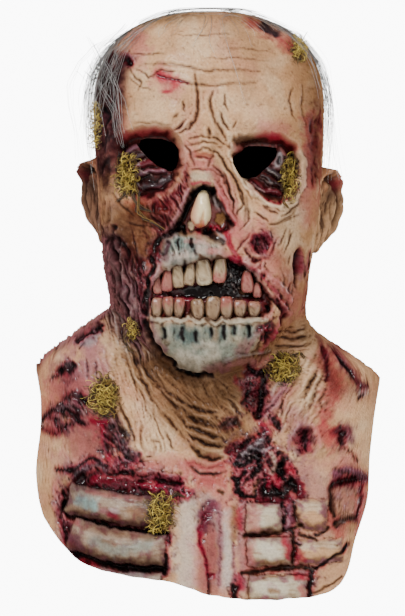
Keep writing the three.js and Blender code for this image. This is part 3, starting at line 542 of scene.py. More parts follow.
class Canvas:
    """What is modelled and painted on the front of the cast, seen from the front."""

    STEP = 0.7
    LEFT, RIGHT, LOW, TOP = -162.0, 162.0, -500.0, 14.0

    def __init__(self) -> None:
        """Start with plain painted skin."""
        across = np.arange(self.LEFT, self.RIGHT, self.STEP)
        up = np.arange(self.LOW, self.TOP, self.STEP)
        self.x, self.z = np.meshgrid(across, up)
        self.height = np.zeros(self.x.shape)
        self.gloss = np.full(self.x.shape, 0.1)
        self.slow = noise((self.x / 16, self.z / 16), 3, 2)
        self.ragged = noise((self.x / 5, self.z / 5), 5, 2) + 0.5 * noise((self.x / 1.9, self.z / 1.9), 6)
        self.uneven = noise((self.x / 10, self.z / 10), 9, 2)
        self.speck = noise((self.x / 1.6, self.z / 1.6), 8, 2)
        self.bend_x = 1.1 * noise((self.x / 9, self.z / 9), 11, 2)
        self.bend_z = 1.1 * noise((self.x / 9, self.z / 9), 12, 2)
        self.colour = np.broadcast_to(rgb(Paint.SKIN.value), self.x.shape + (3,)).copy()
        everywhere = (slice(None), slice(None))
        mottle = noise((self.x / 22, self.z / 22), 21, 3)
        self.tint(everywhere, Paint.PALE, 0.55 * ease(mottle, 0.0, 0.8))
        self.tint(everywhere, Paint.PINK, 0.22 * ease(noise((self.x / 30, self.z / 30), 22, 2), 0.05, 0.7))
        self.tint(everywhere, Paint.BROWN, 0.2 * ease(-mottle, 0.0, 0.8))
        self.tint(everywhere, Paint.BROWN, 0.16 * ease(self.speck, 0.25, 0.9))

    def measure(self, path: Path, margin: float, closed: bool) -> tuple[tuple[slice, slice], np.ndarray, np.ndarray]:
        """Distances from a path over the part of the canvas near it.

        Args:
            path: Points in mm.
            margin: How far round the path is wanted.
            closed: Whether the path is an outline, with distances inside it below 0.

        Returns:
            The part of the canvas, the distances, and the share of the way along the path.
        """
        points = np.array(path, float)
        low, high = points.min(0) - margin - 2, points.max(0) + margin + 2
        rows = slice(*(int(np.clip((v - self.LOW) / self.STEP, 0, self.x.shape[0])) for v in (low[1], high[1])))
        columns = slice(*(int(np.clip((v - self.LEFT) / self.STEP, 0, self.x.shape[1])) for v in (low[0], high[0])))
        view = (rows, columns)
        x, z = self.x[view] + self.bend_x[view], self.z[view] + self.bend_z[view]
        if closed:
            points = np.vstack([points, points[:1]])
        if len(points) == 1:
            return view, np.hypot(x - points[0, 0], z - points[0, 1]), np.full(x.shape, 0.5)
        steps = np.diff(points, axis=0)
        lengths = np.maximum(np.hypot(steps[:, 0], steps[:, 1]), 1e-6)
        starts = np.concatenate([[0], np.cumsum(lengths)[:-1]])
        nearest, along, inside = np.full(x.shape, 1e9), np.zeros(x.shape), np.zeros(x.shape, bool)
        for (px, pz), (dx, dz), length, start in zip(points, steps, lengths, starts):
            t = np.clip(((x - px) * dx + (z - pz) * dz) / length**2, 0, 1)
            away = np.hypot(x - px - t * dx, z - pz - t * dz)
            along = np.where(away < nearest, (start + t * length) / lengths.sum(), along)
            nearest = np.minimum(nearest, away)
            if closed and dz:
                crosses = ((pz > z) != (pz + dz > z)) & (x < px + (z - pz) * dx / dz)
                inside ^= crosses
        return view, np.where(inside, -nearest, nearest), along

    def tint(self, view: tuple[slice, slice], paint: Paint | None, cover: np.ndarray) -> None:
        """Mix a paint over part of the canvas, a little speckled as an airbrush leaves it.

        Args:
            view: The part of the canvas.
            paint: The paint, or none at all.
            cover: Share of the old colour that is hidden at each point.
        """
        if paint is None:
            return
        cover = np.clip(cover * (1 + 0.3 * self.speck[view] * (1 - np.clip(cover, 0, 1))), 0, 1)
        self.colour[view] = over(self.colour[view], paint, cover)

    def wet(self, view: tuple[slice, slice], share: np.ndarray) -> None:
        """Varnish part of the canvas."""
        self.gloss[view] = np.maximum(self.gloss[view], share)

    def oval(self, x: float, z: float, wide: float, tall: float, lean: float, flat: float, height: float) -> None:
        """Raise or sink a leaning oval.

        Args:
            x: Its middle across.
            z: Its middle's height.
            wide: Half its width.
            tall: Half its height.
            lean: How far it leans, in degrees.
            flat: Share of it that is level.
            height: How far it is raised.
        """
        turn = math.radians(lean)
        dx, dz = self.x - x, self.z - z
        u = (dx * math.cos(turn) + dz * math.sin(turn)) / wide
        v = (dz * math.cos(turn) - dx * math.sin(turn)) / tall
        self.height += height * (1 - ease(np.hypot(u, v), flat, 1))

    def blur(self, layer: np.ndarray, reach: float) -> np.ndarray:
        """Smooth a layer, with three running means each way.

        Args:
            layer: One of the canvas's layers.
            reach: Over how many mm.

        Returns:
            The smoothed layer.
        """
        half = max(int(round(reach / self.STEP / 1.7)), 1)
        for axis in (0, 1):
            for _ in range(3):
                padded = np.pad(layer, [(half + 1, half) if a == axis else (0, 0) for a in (0, 1)], mode="edge")
                sums = np.cumsum(padded, axis)
                size = layer.shape[axis]
                upper = np.take(sums, np.arange(2 * half + 1, 2 * half + 1 + size), axis)
                layer = (upper - np.take(sums, np.arange(size), axis)) / (2 * half + 1)
        return layer

    def ruin(self, whole: np.ndarray) -> None:
        """Bruise and roughen the skin round every wound, the more so the darker the wound.

        Args:
            whole: The colour layer before the wounds were laid.
        """
        everywhere = (slice(None), slice(None))
        share = np.array([0.3, 0.6, 0.1])
        grey = self.colour @ share
        hurt = np.clip(whole @ share - grey, 0, 0.36) * 2.7
        near, far = self.blur(hurt, 3.0), self.blur(hurt, 9.0)
        patch = noise((self.x / 7, self.z / 7), 43, 3)
        sore = ease(far + 0.16 * patch, 0.1, 0.42)
        warp = 3 * self.uneven
        rough = 1 - 2.6 * np.abs(noise(((self.x + warp) / 4.2, (self.z - warp) / 6.5), 44, 4))
        lumps = noise((self.x / 7, self.z / 9), 45, 3)
        self.height += sore * (0.6 * rough + 1.1 * lumps)
        self.tint(everywhere, Paint.PLUM, 0.5 * sore * ease(patch, -0.5, 0.3))
        self.tint(everywhere, Paint.CRIMSON, 0.5 * ease(near - 0.15 * patch, 0.12, 0.5) * ease(grey, 0.2, 0.4))
        self.tint(everywhere, Paint.MAROON, 0.6 * sore * ease(lumps + 0.4 * rough, -0.1, -0.7))
        self.tint(everywhere, Paint.BLACK, 0.42 * sore * ease(-rough + 0.5 * self.speck, 0.35, 1.1))
        self.tint(everywhere, Paint.MAUVE, 0.5 * sore * ease(rough + 0.4 * self.speck, 0.7, 1.2))
        self.wet(everywhere, 0.5 * sore * ease(patch, 0.1, 0.5))

    def calm(self) -> None:
        """Smooth the steep upper walls of the sockets, so that nothing combs across them."""
        smooth = self.blur(self.height, 2.5)
        across, up = np.gradient(smooth, self.STEP)
        share = 0.85 * ease(np.hypot(across, up), 0.8, 1.5) * ease(self.z, -126, -116) * ease(-self.z, 92, 98)
        self.height += (smooth - self.height) * share
        soft = np.stack([self.blur(self.colour[..., k], 1.8) for k in range(3)], -1)
        self.colour += (soft - self.colour) * share[..., None]

    def wash(self) -> None:
        """Let dark wash settle in the hollows, and dry-brush what stands proud."""
        hollow = ease(self.blur(self.height, 1.6) - self.height, 0.05, 0.5)
        deep = ease(self.blur(self.height, 5) - self.height, 0.3, 3.2)
        dark = np.clip(0.66 * hollow + 0.55 * deep, 0, 0.88)[..., None]
        stained = self.colour * np.array([0.36, 0.27, 0.26])
        self.colour = self.colour * (1 - dark) + stained * dark
        proud = 0.34 * ease(self.height - self.blur(self.height, 1.6), 0.08, 0.6)[..., None]
        self.colour = self.colour * (1 - proud) + (self.colour * 0.75 + 0.3) * proud

    def sample(self, layer: np.ndarray, x: np.ndarray, z: np.ndarray) -> np.ndarray:
        """Read a layer between its points.

        Args:
            layer: One of the canvas's layers.
            x: Places across in mm.
            z: Heights in mm.

        Returns:
            The layer's values there.
        """
        column = np.clip((x - self.LEFT) / self.STEP, 0, layer.shape[1] - 1.001)
        row = np.clip((z - self.LOW) / self.STEP, 0, layer.shape[0] - 1.001)
        j, i = column.astype(int), row.astype(int)
        u, v = column - j, row - i
        if layer.ndim == 3:
            u, v = u[..., None], v[..., None]
        low = layer[i, j] * (1 - u) + layer[i, j + 1] * u
        high = layer[i + 1, j] * (1 - u) + layer[i + 1, j + 1] * u
        return low * (1 - v) + high * v


# Large dents and swellings: x, z, half-width, half-height, lean in degrees, level share and height, in mm.
SWELLINGS = (
    (-43, -88, 34, 15, 6, 0.2, 5.5),
    (47, -92, 36, 15, -8, 0.2, 6.0),
    (0, -95, 16, 27, 0, 0.2, 4.5),
    (-4, -128, 18, 33, 0, 0.1, 11.5),
    (-2, -161, 28, 33, 0, 0.1, 9.5),
    (-68, -165, 19, 21, 20, 0.1, 4.5),
    (57, -171, 26, 18, 20, 0.1, 6.0),
    (-9, -200, 40, 18, 0, 0.3, 4.5),
    (43, -192, 11, 10, 0, 0.2, -5.5),
    (-59, -226, 16, 33, 8, 0.2, -5.5),
    (57, -219, 16, 16, -38, 0.2, 6.0),
    (0, -271, 43, 22, 0, 0.4, 3.5),
    (-69, -45, 11, 9, -30, 0.2, -3.0),
    (72, -207, 4, 15, -6, 0.2, -3.0),
    (40, -322, 15, 22, 20, 0.2, -6.4),
    (-49, -316, 9, 55, 30, 0.1, 4.0),
    (4, -346, 20, 24, 0, 0.2, 4.8),
    (3, -372, 22, 9, 0, 0.2, -4.4),
    (-75, -355, 51, 11, -16, 0.1, 4.8),
    (90, -359, 51, 11, 12, 0.1, 4.0),
    (-75, -354, 10, 18, 14, 0.2, -6.0),
    (80, -354, 12, 15, 12, 0.2, -6.4),
    (-117, -296, 9, 6, -20, 0.2, -3.2),
    (109, -350, 8, 9, 0, 0.2, -4.0),
    (115, -386, 14, 8, 6, 0.2, -4.8),
)

# The eye sockets, the mouth and the nose: what is sunk first, with everything else laid into it.
HOLLOWS = (
    Mark(Paint.MAROON, 0.75, 9, ((-77, -112), (-71, -104), (-60, -99), (-45, -97.5), (-33, -99), (-25, -105),
         (-21, -115),
         (-20.5, -128), (-25, -141), (-34, -151), (-46, -156), (-60, -155), (-71, -147), (-77, -131)),
         height=-19, gloss=0.3, closed=True),
    Mark(Paint.MAROON, 0.75, 8, ((19, -119), (23, -109), (33, -104), (48, -103), (62, -105), (71, -111), (75, -122),
         (75, -138), (70, -150), (60, -158.5), (50, -157), (38, -149), (27, -138)), height=-19, gloss=0.3, closed=True),
    Mark(Paint.MAROON, 0.7, 6, ((-4, -143), (2, -146), (9, -158), (18, -174), (19, -181), (12, -186), (-8, -184),
         (-20, -184), (-27, -181), (-20, -164), (-12, -149)), height=-13, gloss=0.5, closed=True),
    Mark(Paint.MAROON, 0.85, 7, ((-47, -224), (-37, -213), (-20, -206), (-2, -203), (16, -203), (30, -209), (44, -222),
         (53, -238), (54, -248), (46, -254), (20, -255), (-20, -255), (-44, -254), (-50, -242)),
         height=-12, gloss=0.4, closed=True),
    Mark(Paint.BLACK, 0.95, 5, ((-36, -229), (-10, -224), (14, -206), (24, -208), (34, -222), (46, -238), (30, -239),
         (0, -238), (-30, -238)), height=-4, gloss=0.6, closed=True),
)

# Airbrushed areas of the head, from the crown down.
HEAD_WASHES = (
    Mark(Paint.ORANGE, 0.22, 24, ((68, -60), (72, -85), (66, -96))),
    Mark(Paint.BROWN, 0.3, 24, ((22, -22), (45, -45))),
    Mark(Paint.PALE, 0.45, 22, ((-10, -28), (-45, -82))),
    Mark(Paint.PALE, 0.4, 15, ((25, -78), (45, -88))),
    Mark(Paint.PINK, 0.65, 15, ((-57, -24), (-60, -40))),
    Mark(Paint.PINK, 0.8, 14, ((-38, -55), (-30, -63))),
    Mark(Paint.RED, 0.7, 7, ((-40, -54), (-27, -59))),
    Mark(Paint.MAUVE, 0.7, 12, ((-98, -28), (-74, -30), (-66, -50), (-68, -75), (-70, -105), (-79, -135), (-98, -145)),
         closed=True),
    Mark(Paint.CHARCOAL, 0.5, 12, ((-86, -40), (-84, -68))),
    Mark(Paint.CRIMSON, 0.5, 10, ((35, -9), (52, -17), (68, -31)), sharp=0.0),
    Mark(Paint.CHARCOAL, 0.9, 7, ((46, -12), (56, -19)), height=-2.0),
    Mark(Paint.CRIMSON, 0.5, 9, ((83, -88), (84, -115), (83, -142))),
    Mark(Paint.MAROON, 0.4, 6, ((87, -92), (88, -118), (87, -140)), height=-1.2, gloss=0.3),
    Mark(Paint.PINK, 0.6, 12, ((80, -150), (80, -172))),
    Mark(Paint.PLUM, 0.4, 7, ((92, -48), (94, -90), (94, -140))),
    Mark(Paint.PINK, 0.5, 10, ((48, -97), (62, -98))),
    Mark(Paint.PINK, 0.5, 14, ((-74, -90), (-76, -118))),
    Mark(Paint.REDBROWN, 0.6, 6, ((-12, -120), (0, -120))),
    Mark(Paint.PINK, 0.75, 7, ((-9, -127), (-1, -127))),
    Mark(Paint.BONE, 0.7, 6, ((-11, -137), (1, -137))),
    Mark(Paint.PINK, 0.55, 12, ((-16, -112), (-18, -128))),
    Mark(Paint.MAROON, 0.8, 9, ((-16, -125), (-13, -142), (-22, -163), (-33, -186), (-48, -182), (-50, -164),
         (-34, -150), (-24, -140), (-20, -128)), height=-1.0, closed=True),
    Mark(Paint.REDBROWN, 0.75, 12, ((-56, -158), (-40, -160))),
    Mark(Paint.PINK, 0.75, 5, ((-58, -151), (-47, -153), (-36, -148), (-29, -140))),
    Mark(Paint.PINK, 0.8, 9, ((6, -133), (14, -148), (22, -168), (22, -182))),
    Mark(Paint.CRIMSON, 0.6, 4.5, ((9, -150), (14, -162), (22, -176))),
    Mark(Paint.PINK, 0.6, 24, ((24, -186), (42, -190), (52, -208))),
    Mark(Paint.PINK, 0.4, 14, ((60, -225), (70, -240))),
    Mark(Paint.BROWN, 0.6, 12, ((-78, -160), (-45, -160), (-38, -182), (-48, -206), (-62, -212),
         (-78, -190)), closed=True),
    Mark(Paint.PALE, 0.8, 17, ((68, -168), (66, -190), (72, -212))),
    Mark(Paint.PINK, 0.4, 12, ((68, -218), (66, -248))),
)

# Fibrous flesh of the head.
HEAD_FIBRES = (
    Fibres(Paint.PLUM, Paint.MAUVE, 0.7, 0.8, 3.4, 26, 3, 12,
           ((-99, -25), (-74, -30), (-68, -55), (-70, -85), (-71, -110), (-79, -140), (-99, -150))),
    Fibres(Paint.BROWN, Paint.PALE, 0.6, 0.7, 2.6, 36, 5, 10,
           ((-99, -120), (-80, -118), (-78, -150), (-74, -180), (-84, -196), (-98, -190))),
    Fibres(Paint.MAROON, Paint.MAUVE, 0.75, 1.2, 3.6, 30, -25, 6,
           ((-17, -121), (-11, -142), (-20, -166), (-32, -188), (-52, -184), (-52, -158), (-34, -150), (-22, -138))),
    Mark(Paint.MAUVE, 0.6, 14, ((-86, -186), (-76, -215), (-62, -250), (-48, -280))),
    Fibres(Paint.CHARCOAL, Paint.GREY, 0.5, 1.2, 4.6, 44, -15, 9,
           ((-99, -178), (-76, -176), (-60, -200), (-50, -240), (-46, -268), (-40, -288), (-60, -292), (-82, -262),
            (-97, -215))),
    Fibres(Paint.MAROON, Paint.PINK, 0.5, 0.9, 4.0, 32, -12, 8,
           ((-72, -186), (-58, -196), (-46, -240), (-52, -262), (-66, -258), (-76, -215))),
    Fibres(Paint.MAROON, Paint.PINK, 0.8, 1.1, 4.0, 18, 40, 5, ((40, -254), (62, -250), (54, -270), (40, -286),
           (28, -282))),
    Fibres(Paint.BROWN, Paint.PALE, 0.35, 0.35, 3.2, 26, 6, 12, ((60, -172), (86, -150), (84, -215), (66, -250),
           (58, -215))),
    Fibres(Paint.MAROON, Paint.MAUVE, 0.5, 0.6, 3.4, 20, 0, 6, ((80, -85), (97, -60), (98, -150), (84, -155))),
)

# Torn strands of flesh, laid over the bruising: the left jaw, the left cheek, the temple, the neck wound, the chest.
TORN_FLESH = (
    Mark(Paint.PLUM, 0.5, 14, ((-96, -182), (-72, -184), (-58, -206), (-52, -234), (-48, -262), (-60, -280),
         (-84, -262),
         (-96, -215)), closed=True),
    Mark(Paint.MAUVE, 0.5, 9, ((-80, -196), (-70, -222), (-62, -248))),
    Fibres(Paint.PLUM, Paint.LIGHT, 0.7, 0.5, 5.2, 60, -18, 8,
           ((-97, -180), (-72, -186), (-60, -210), (-52, -262), (-40, -286), (-60, -294), (-84, -262), (-97, -215))),
    Fibres(Paint.BLACK, Paint.LIGHT, 0.55, 1.5, 3.4, 50, -17, 8,
           ((-97, -180), (-78, -184), (-66, -206), (-60, -232), (-52, -262), (-40, -286), (-60, -294), (-84, -262),
            (-97, -215))),
    Fibres(Paint.MAROON, Paint.PINK, 0.6, 1.2, 3.2, 34, -12, 7,
           ((-74, -192), (-60, -190), (-50, -214), (-50, -262), (-58, -262), (-66, -225))),
    Fibres(Paint.MAROON, Paint.PINK, 0.75, 1.0, 3.4, 22, -28, 6,
           ((-19, -122), (-12, -142), (-20, -166), (-32, -190), (-54, -188), (-56, -160), (-34, -150), (-23, -138))),
    Fibres(Paint.CHARCOAL, Paint.MAUVE, 0.7, 1.1, 3.2, 22, 12, 9,
           ((-99, -30), (-76, -32), (-70, -58), (-74, -110), (-82, -140), (-99, -148))),
    Fibres(Paint.MAROON, Paint.MAUVE, 0.75, 1.2, 4.4, 18, 32, 7,
           ((28, -198), (46, -206), (62, -232), (70, -256), (58, -252), (44, -226), (30, -212))),
    Fibres(Paint.BLACK, Paint.MAUVE, 0.7, 1.2, 4.2, 14, -62, 7, ((-132, -326), (-104, -314), (-98, -340),
           (-128, -348))),
    Fibres(Paint.BLACK, Paint.MAUVE, 0.75, 1.3, 4.2, 20, -30, 6, ((-90, -340), (-74, -338), (-58, -364),
           (-66, -376), (-84, -366))),
    Fibres(Paint.BLACK, Paint.PINK, 0.75, 1.4, 4.0, 12, 48, 6, ((16, -354), (48, -344), (72, -372), (66, -398),
           (24, -398))),
)

# Wrinkles of the forehead, brow and nose root.
BROW_CREASES = (
    Crease(1.4, 1.0, ((-56, -46), (-45, -45), (-30, -45), (-20, -47.5), (0, -51), (20, -50), (42, -51)), cover=0.4),
    Crease(1.4, 1.1, ((-43, -54), (-28, -58), (-15, -61), (-5, -63), (10, -63), (25, -61), (40, -61)), cover=0.5),
    Crease(0.9, 0.7, ((-66, -36), (-50, -37), (-34, -37)), cover=0.6),
    Crease(0.8, 0.5, ((-5, -41), (25, -40), (50, -43)), cover=0.4),
    Crease(0.8, 0.5, ((8, -33), (30, -32), (55, -36)), cover=0.35),
    Crease(0.8, 0.5, ((-30, -20), (-5, -22), (20, -20)), cover=0.3),
    Crease(1.0, 0.9, ((-62, -49), (-54, -51), (-48, -56), (-38, -50), (-26, -51)), cover=0.6),
    Crease(1.1, 0.8, ((-66, -48), (-60, -55), (-54, -60), (-58, -68)), cover=0.6),
    Crease(0.9, 0.6, ((-64, -56), (-56, -64), (-44, -66)), cover=0.6),
    Crease(1.6, 2.0, ((-11, -51), (-9.5, -62), (-8, -72), (-8, -82), (-10, -91), (-16, -98), (-29, -104)), cover=0.6),
    Crease(1.5, 1.7, ((5, -65), (2, -73), (2.5, -84), (8, -94), (14, -107)), cover=0.6),
    Crease(1.1, 0.9, ((14, -70), (13, -78), (17, -85)), cover=0.6),
    Crease(1.4, 1.6, ((-18, -91), (-24, -97), (-31, -102)), paint=Paint.MAROON, cover=0.85),
    Crease(1.1, 1.1, ((-19, -75), (-20, -84)), cover=0.6),
    Crease(1.0, 0.9, ((-24, -85), (-28, -90)), cover=0.6),
    Crease(1.2, 1.0, ((9, -84), (11, -90), (18, -100)), cover=0.6),
    Crease(1.2, 1.0, ((23, -92), (20, -98)), cover=0.6),
    Crease(1.8, 2.0, ((1, -97), (0.5, -106)), cover=0.6),
    Crease(1.1, 1.0, ((-16, -107), (-5, -104.5), (6, -106), (14, -111)), cover=0.6),
    Crease(1.1, 1.0, ((-18, -112), (-4, -109), (8, -111)), cover=0.6),
    Crease(1.1, 1.0, ((-15, -118), (-3, -114), (10, -118)), cover=0.6),
    Crease(1.2, 1.2, ((-23, -107), (-16, -115), (-11, -129)), cover=0.6),
    Crease(1.1, 1.1, ((5, -116), (2, -122), (0, -130)), cover=0.6),
    Crease(1.2, 1.0, ((-13, -131.5), (-2, -131.5), (3, -131.5)), paint=Paint.MAROON),
    Crease(1.2, 1.2, ((-11, -122), (1, -122.5)), paint=Paint.MAROON),
    Crease(1.0, 0.8, ((-60, -93), (-42, -94), (-30, -96)), cover=0.4),
    Crease(1.1, 0.8, ((70, -62), (66, -76), (72, -92)), cover=0.35),
    Crease(1.0, 0.7, ((78, -60), (76, -80), (80, -96)), cover=0.35),
)

# Wrinkles of the cheeks and round the right eye.
CHEEK_CREASES = (
    Crease(1.4, 1.6, ((4, -114), (12, -123), (20, -137), (28, -152), (32, -165), (29, -177))),
    Crease(1.2, 1.3, ((3, -128), (10, -133), (17, -146), (21, -162))),
    Crease(1.1, 1.2, ((13, -134), (18, -148), (21, -160))),
    Crease(1.1, 1.2, ((25, -150), (28.5, -160), (24, -169))),
    Crease(1.1, 1.2, ((31, -153), (34, -165), (33, -173), (26, -181))),
    Crease(1.0, 1.0, ((2, -131), (11, -137), (16, -148), (20, -158), (22, -170))),
    Crease(1.3, 1.5, ((22, -128), (30, -142), (40, -154), (50, -162), (60, -164), (70, -158)), cover=0.35),
    Crease(1.3, 1.5, ((45, -161), (51, -166), (57, -168.5))),
    Crease(1.2, 1.4, ((38, -166), (44, -170), (50, -174))),
    Crease(1.1, 1.1, ((50, -176), (58, -175), (66, -170), (72, -163))),
    Crease(1.1, 1.2, ((60, -170), (67, -165), (74, -158))),
    Crease(1.0, 0.9, ((61, -175), (68, -171), (76, -166)), cover=0.5),
    Crease(1.2, 1.2, ((34, -184), (28, -190), (23, -198)), paint=Paint.MAROON),
    Crease(1.2, 1.2, ((29, -195), (35, -204), (44, -206)), paint=Paint.MAROON),
    Crease(1.1, 1.0, ((56, -188), (54, -196), (50, -202)), paint=Paint.MAROON),
    Crease(1.5, 1.3, ((26, -206), (38, -206), (51, -203)), paint=Paint.CRIMSON),
    Crease(1.0, 0.9, ((62, -200), (70, -182)), cover=0.3),
    Crease(1.0, 0.9, ((57, -196), (64, -180)), cover=0.3),
    Crease(1.8, 2.0, ((75, -196), (72, -208), (71, -226)), paint=Paint.MAROON, cover=0.95),
    Crease(1.2, 1.0, ((60, -212), (62, -232), (66, -248)), cover=0.5),
    Crease(1.2, 1.0, ((66, -225), (64, -240), (60, -250)), paint=Paint.MAROON),
    Crease(1.0, 0.9, ((78, -205), (80, -225), (76, -245)), cover=0.4),
    Crease(1.2, 1.2, ((-78, -150), (-70, -160), (-60, -170)), cover=0.5),
    Crease(1.0, 1.0, ((-62, -182), (-58, -196), (-57, -212)), paint=Paint.MAROON, cover=0.6),
    Crease(1.0, 0.8, ((-68, -172), (-58, -178), (-46, -178)), cover=0.4),
)

# Sores, pits and torn flesh of the head.
HEAD_WOUNDS = (
    Mark(Paint.MAROON, 0.9, 5.5, ((-69, -40), (-64, -44)), height=-3.0, gloss=0.4),
    Mark(Paint.BLACK, 0.8, 2.6, ((-67, -41), (-65, -44)), height=-1.5),
    Mark(Paint.CRIMSON, 0.9, 2.2, ((-41, -55), (-35, -57), (-28, -58.5), (-17, -60)), height=-1.2, gloss=0.5),
    Mark(Paint.CRIMSON, 0.6, 2.0, ((-37, -68), (-30, -68))),
    Mark(Paint.PINK, 0.7, 13, ((42, -193), (45, -192)), height=1.6, sharp=0.3),
    Mark(Paint.MAROON, 0.85, 9, ((40, -191), (46, -193)), height=-2.6, sharp=0.3),
    Mark(Paint.UMBER, 0.5, 5, ((42, -195),)),
    Mark(Paint.GREY, 0.5, 2.6, ((43, -194),)),
    Mark(Paint.MAROON, 0.8, 4.5, ((75, -198), (72, -215)), height=-2.2, gloss=0.4),
    Mark(Paint.MAUVE, 0.6, 3, ((77, -204), (75, -220)), height=1.0),
    Mark(Paint.BLACK, 0.85, 4, ((-74, -188), (-71, -192)), height=-3.5),
    Mark(Paint.BLACK, 0.75, 3.2, ((-80, -187),), height=-2.5),
    Mark(Paint.BLACK, 0.75, 3.2, ((-76, -178),), height=-2.0),
    Mark(Paint.BLACK, 0.8, 3.6, ((-77, -200), (-75, -203)), height=-3.0),
    Mark(Paint.BLACK, 0.5, 2.6, ((-84, -193), (-86, -205), (-83, -222)), height=-1.5),
    Mark(Paint.GREY, 0.6, 7, ((-65, -232), (-64, -240)), height=1.2),
    Mark(Paint.PINK, 0.6, 4, ((-70, -196), (-66, -206), (-62, -216)), height=1.0),
    Mark(Paint.PINK, 0.6, 3, ((-58, -220), (-52, -226)), height=1.2, gloss=0.3),
    Mark(Paint.MAROON, 0.8, 4, ((-55, -205), (-54, -240), (-56, -262)), height=-1.5),
    Mark(Paint.BLACK, 0.95, 3.6, ((-24, -182), (-31, -184), (-38, -187.5), (-43, -194), (-45, -203), (-44, -212),
         (-48, -220), (-50, -234), (-52, -248)), height=-3.2, gloss=0.3),
    Mark(Paint.MAUVE, 0.6, 3.4, ((-48, -198), (-40, -203), (-38, -214)), height=1.5),
    Mark(Paint.CRIMSON, 0.6, 2.4, ((-41, -196), (-38, -206)), height=0.6),
    Mark(Paint.PINK, 0.5, 3.2, ((-46, -180), (-38, -183), (-30, -180)), height=1.2),
)

# The lost nose: dark edges, mottled inside, pink and crimson rim.
NOSE_MARKS = (
    Mark(Paint.BONE, 0.7, 9, ((-6, -158), (-5, -150))),
    Mark(Paint.BLACK, 0.95, 5.5, ((-12, -150), (-4, -146.5), (3, -148)), height=-4.0),
    Mark(Paint.BLACK, 0.92, 4.6, ((-14, -153), (-19, -164), (-24, -176), (-30, -182)), height=-3.5),
    Mark(Paint.BLACK, 0.85, 3.6, ((4, -149), (9, -159), (15, -170), (20, -177)), height=-3.0),
    Mark(Paint.GREY, 0.7, 3.6, ((5, -155), (8, -162), (12, -168)), height=1.5, gloss=0.5),
    Mark(Paint.PINK, 0.5, 2.2, ((9, -164), (13, -168)), height=0.8, gloss=0.5),
    Mark(Paint.MAROON, 0.85, 6, ((-12, -172), (-14, -176)), height=-1.0),
    Mark(Paint.MAROON, 0.85, 6.5, ((8, -172), (10, -173)), height=-1.0),
    Mark(Paint.BLACK, 0.8, 4.6, ((-14, -176),), height=-1.6, sharp=0.6),
    Mark(Paint.BLACK, 0.8, 5.4, ((9, -172),), height=-1.6, sharp=0.6),
    Mark(Paint.CRIMSON, 0.85, 3.4, ((-8, -178), (-7, -188)), gloss=0.5),
    Mark(Paint.RED, 0.9, 2.6, ((2, -177), (5, -178.5), (8, -178)), height=1.4, gloss=0.9),
    Mark(Paint.BLACK, 0.95, 4.6, ((-2, -182), (4, -186), (11, -190)), height=-3.0, gloss=0.5),
    Mark(Paint.GREY, 0.7, 2.0, ((5, -181), (10, -184), (14, -188)), height=1.5, gloss=0.8),
    Mark(Paint.BLACK, 0.9, 2.4, ((-20, -178), (-19, -185)), height=-2.0),
    Mark(Paint.CRIMSON, 0.7, 2.2, ((-12, -143.5), (-5, -141), (2, -143)), height=0.8),
    Mark(Paint.PINK, 0.8, 2.8, ((5, -142), (11, -152), (17, -163), (22, -173)), height=1.6, gloss=0.3),
    Mark(Paint.MAUVE, 0.75, 2.8, ((-16, -148), (-22, -161), (-28, -174), (-34, -182)), height=1.6),
    Mark(Paint.CRIMSON, 0.75, 4, ((14, -182), (18, -192), (24, -204)), height=-1.0, gloss=0.4),
)

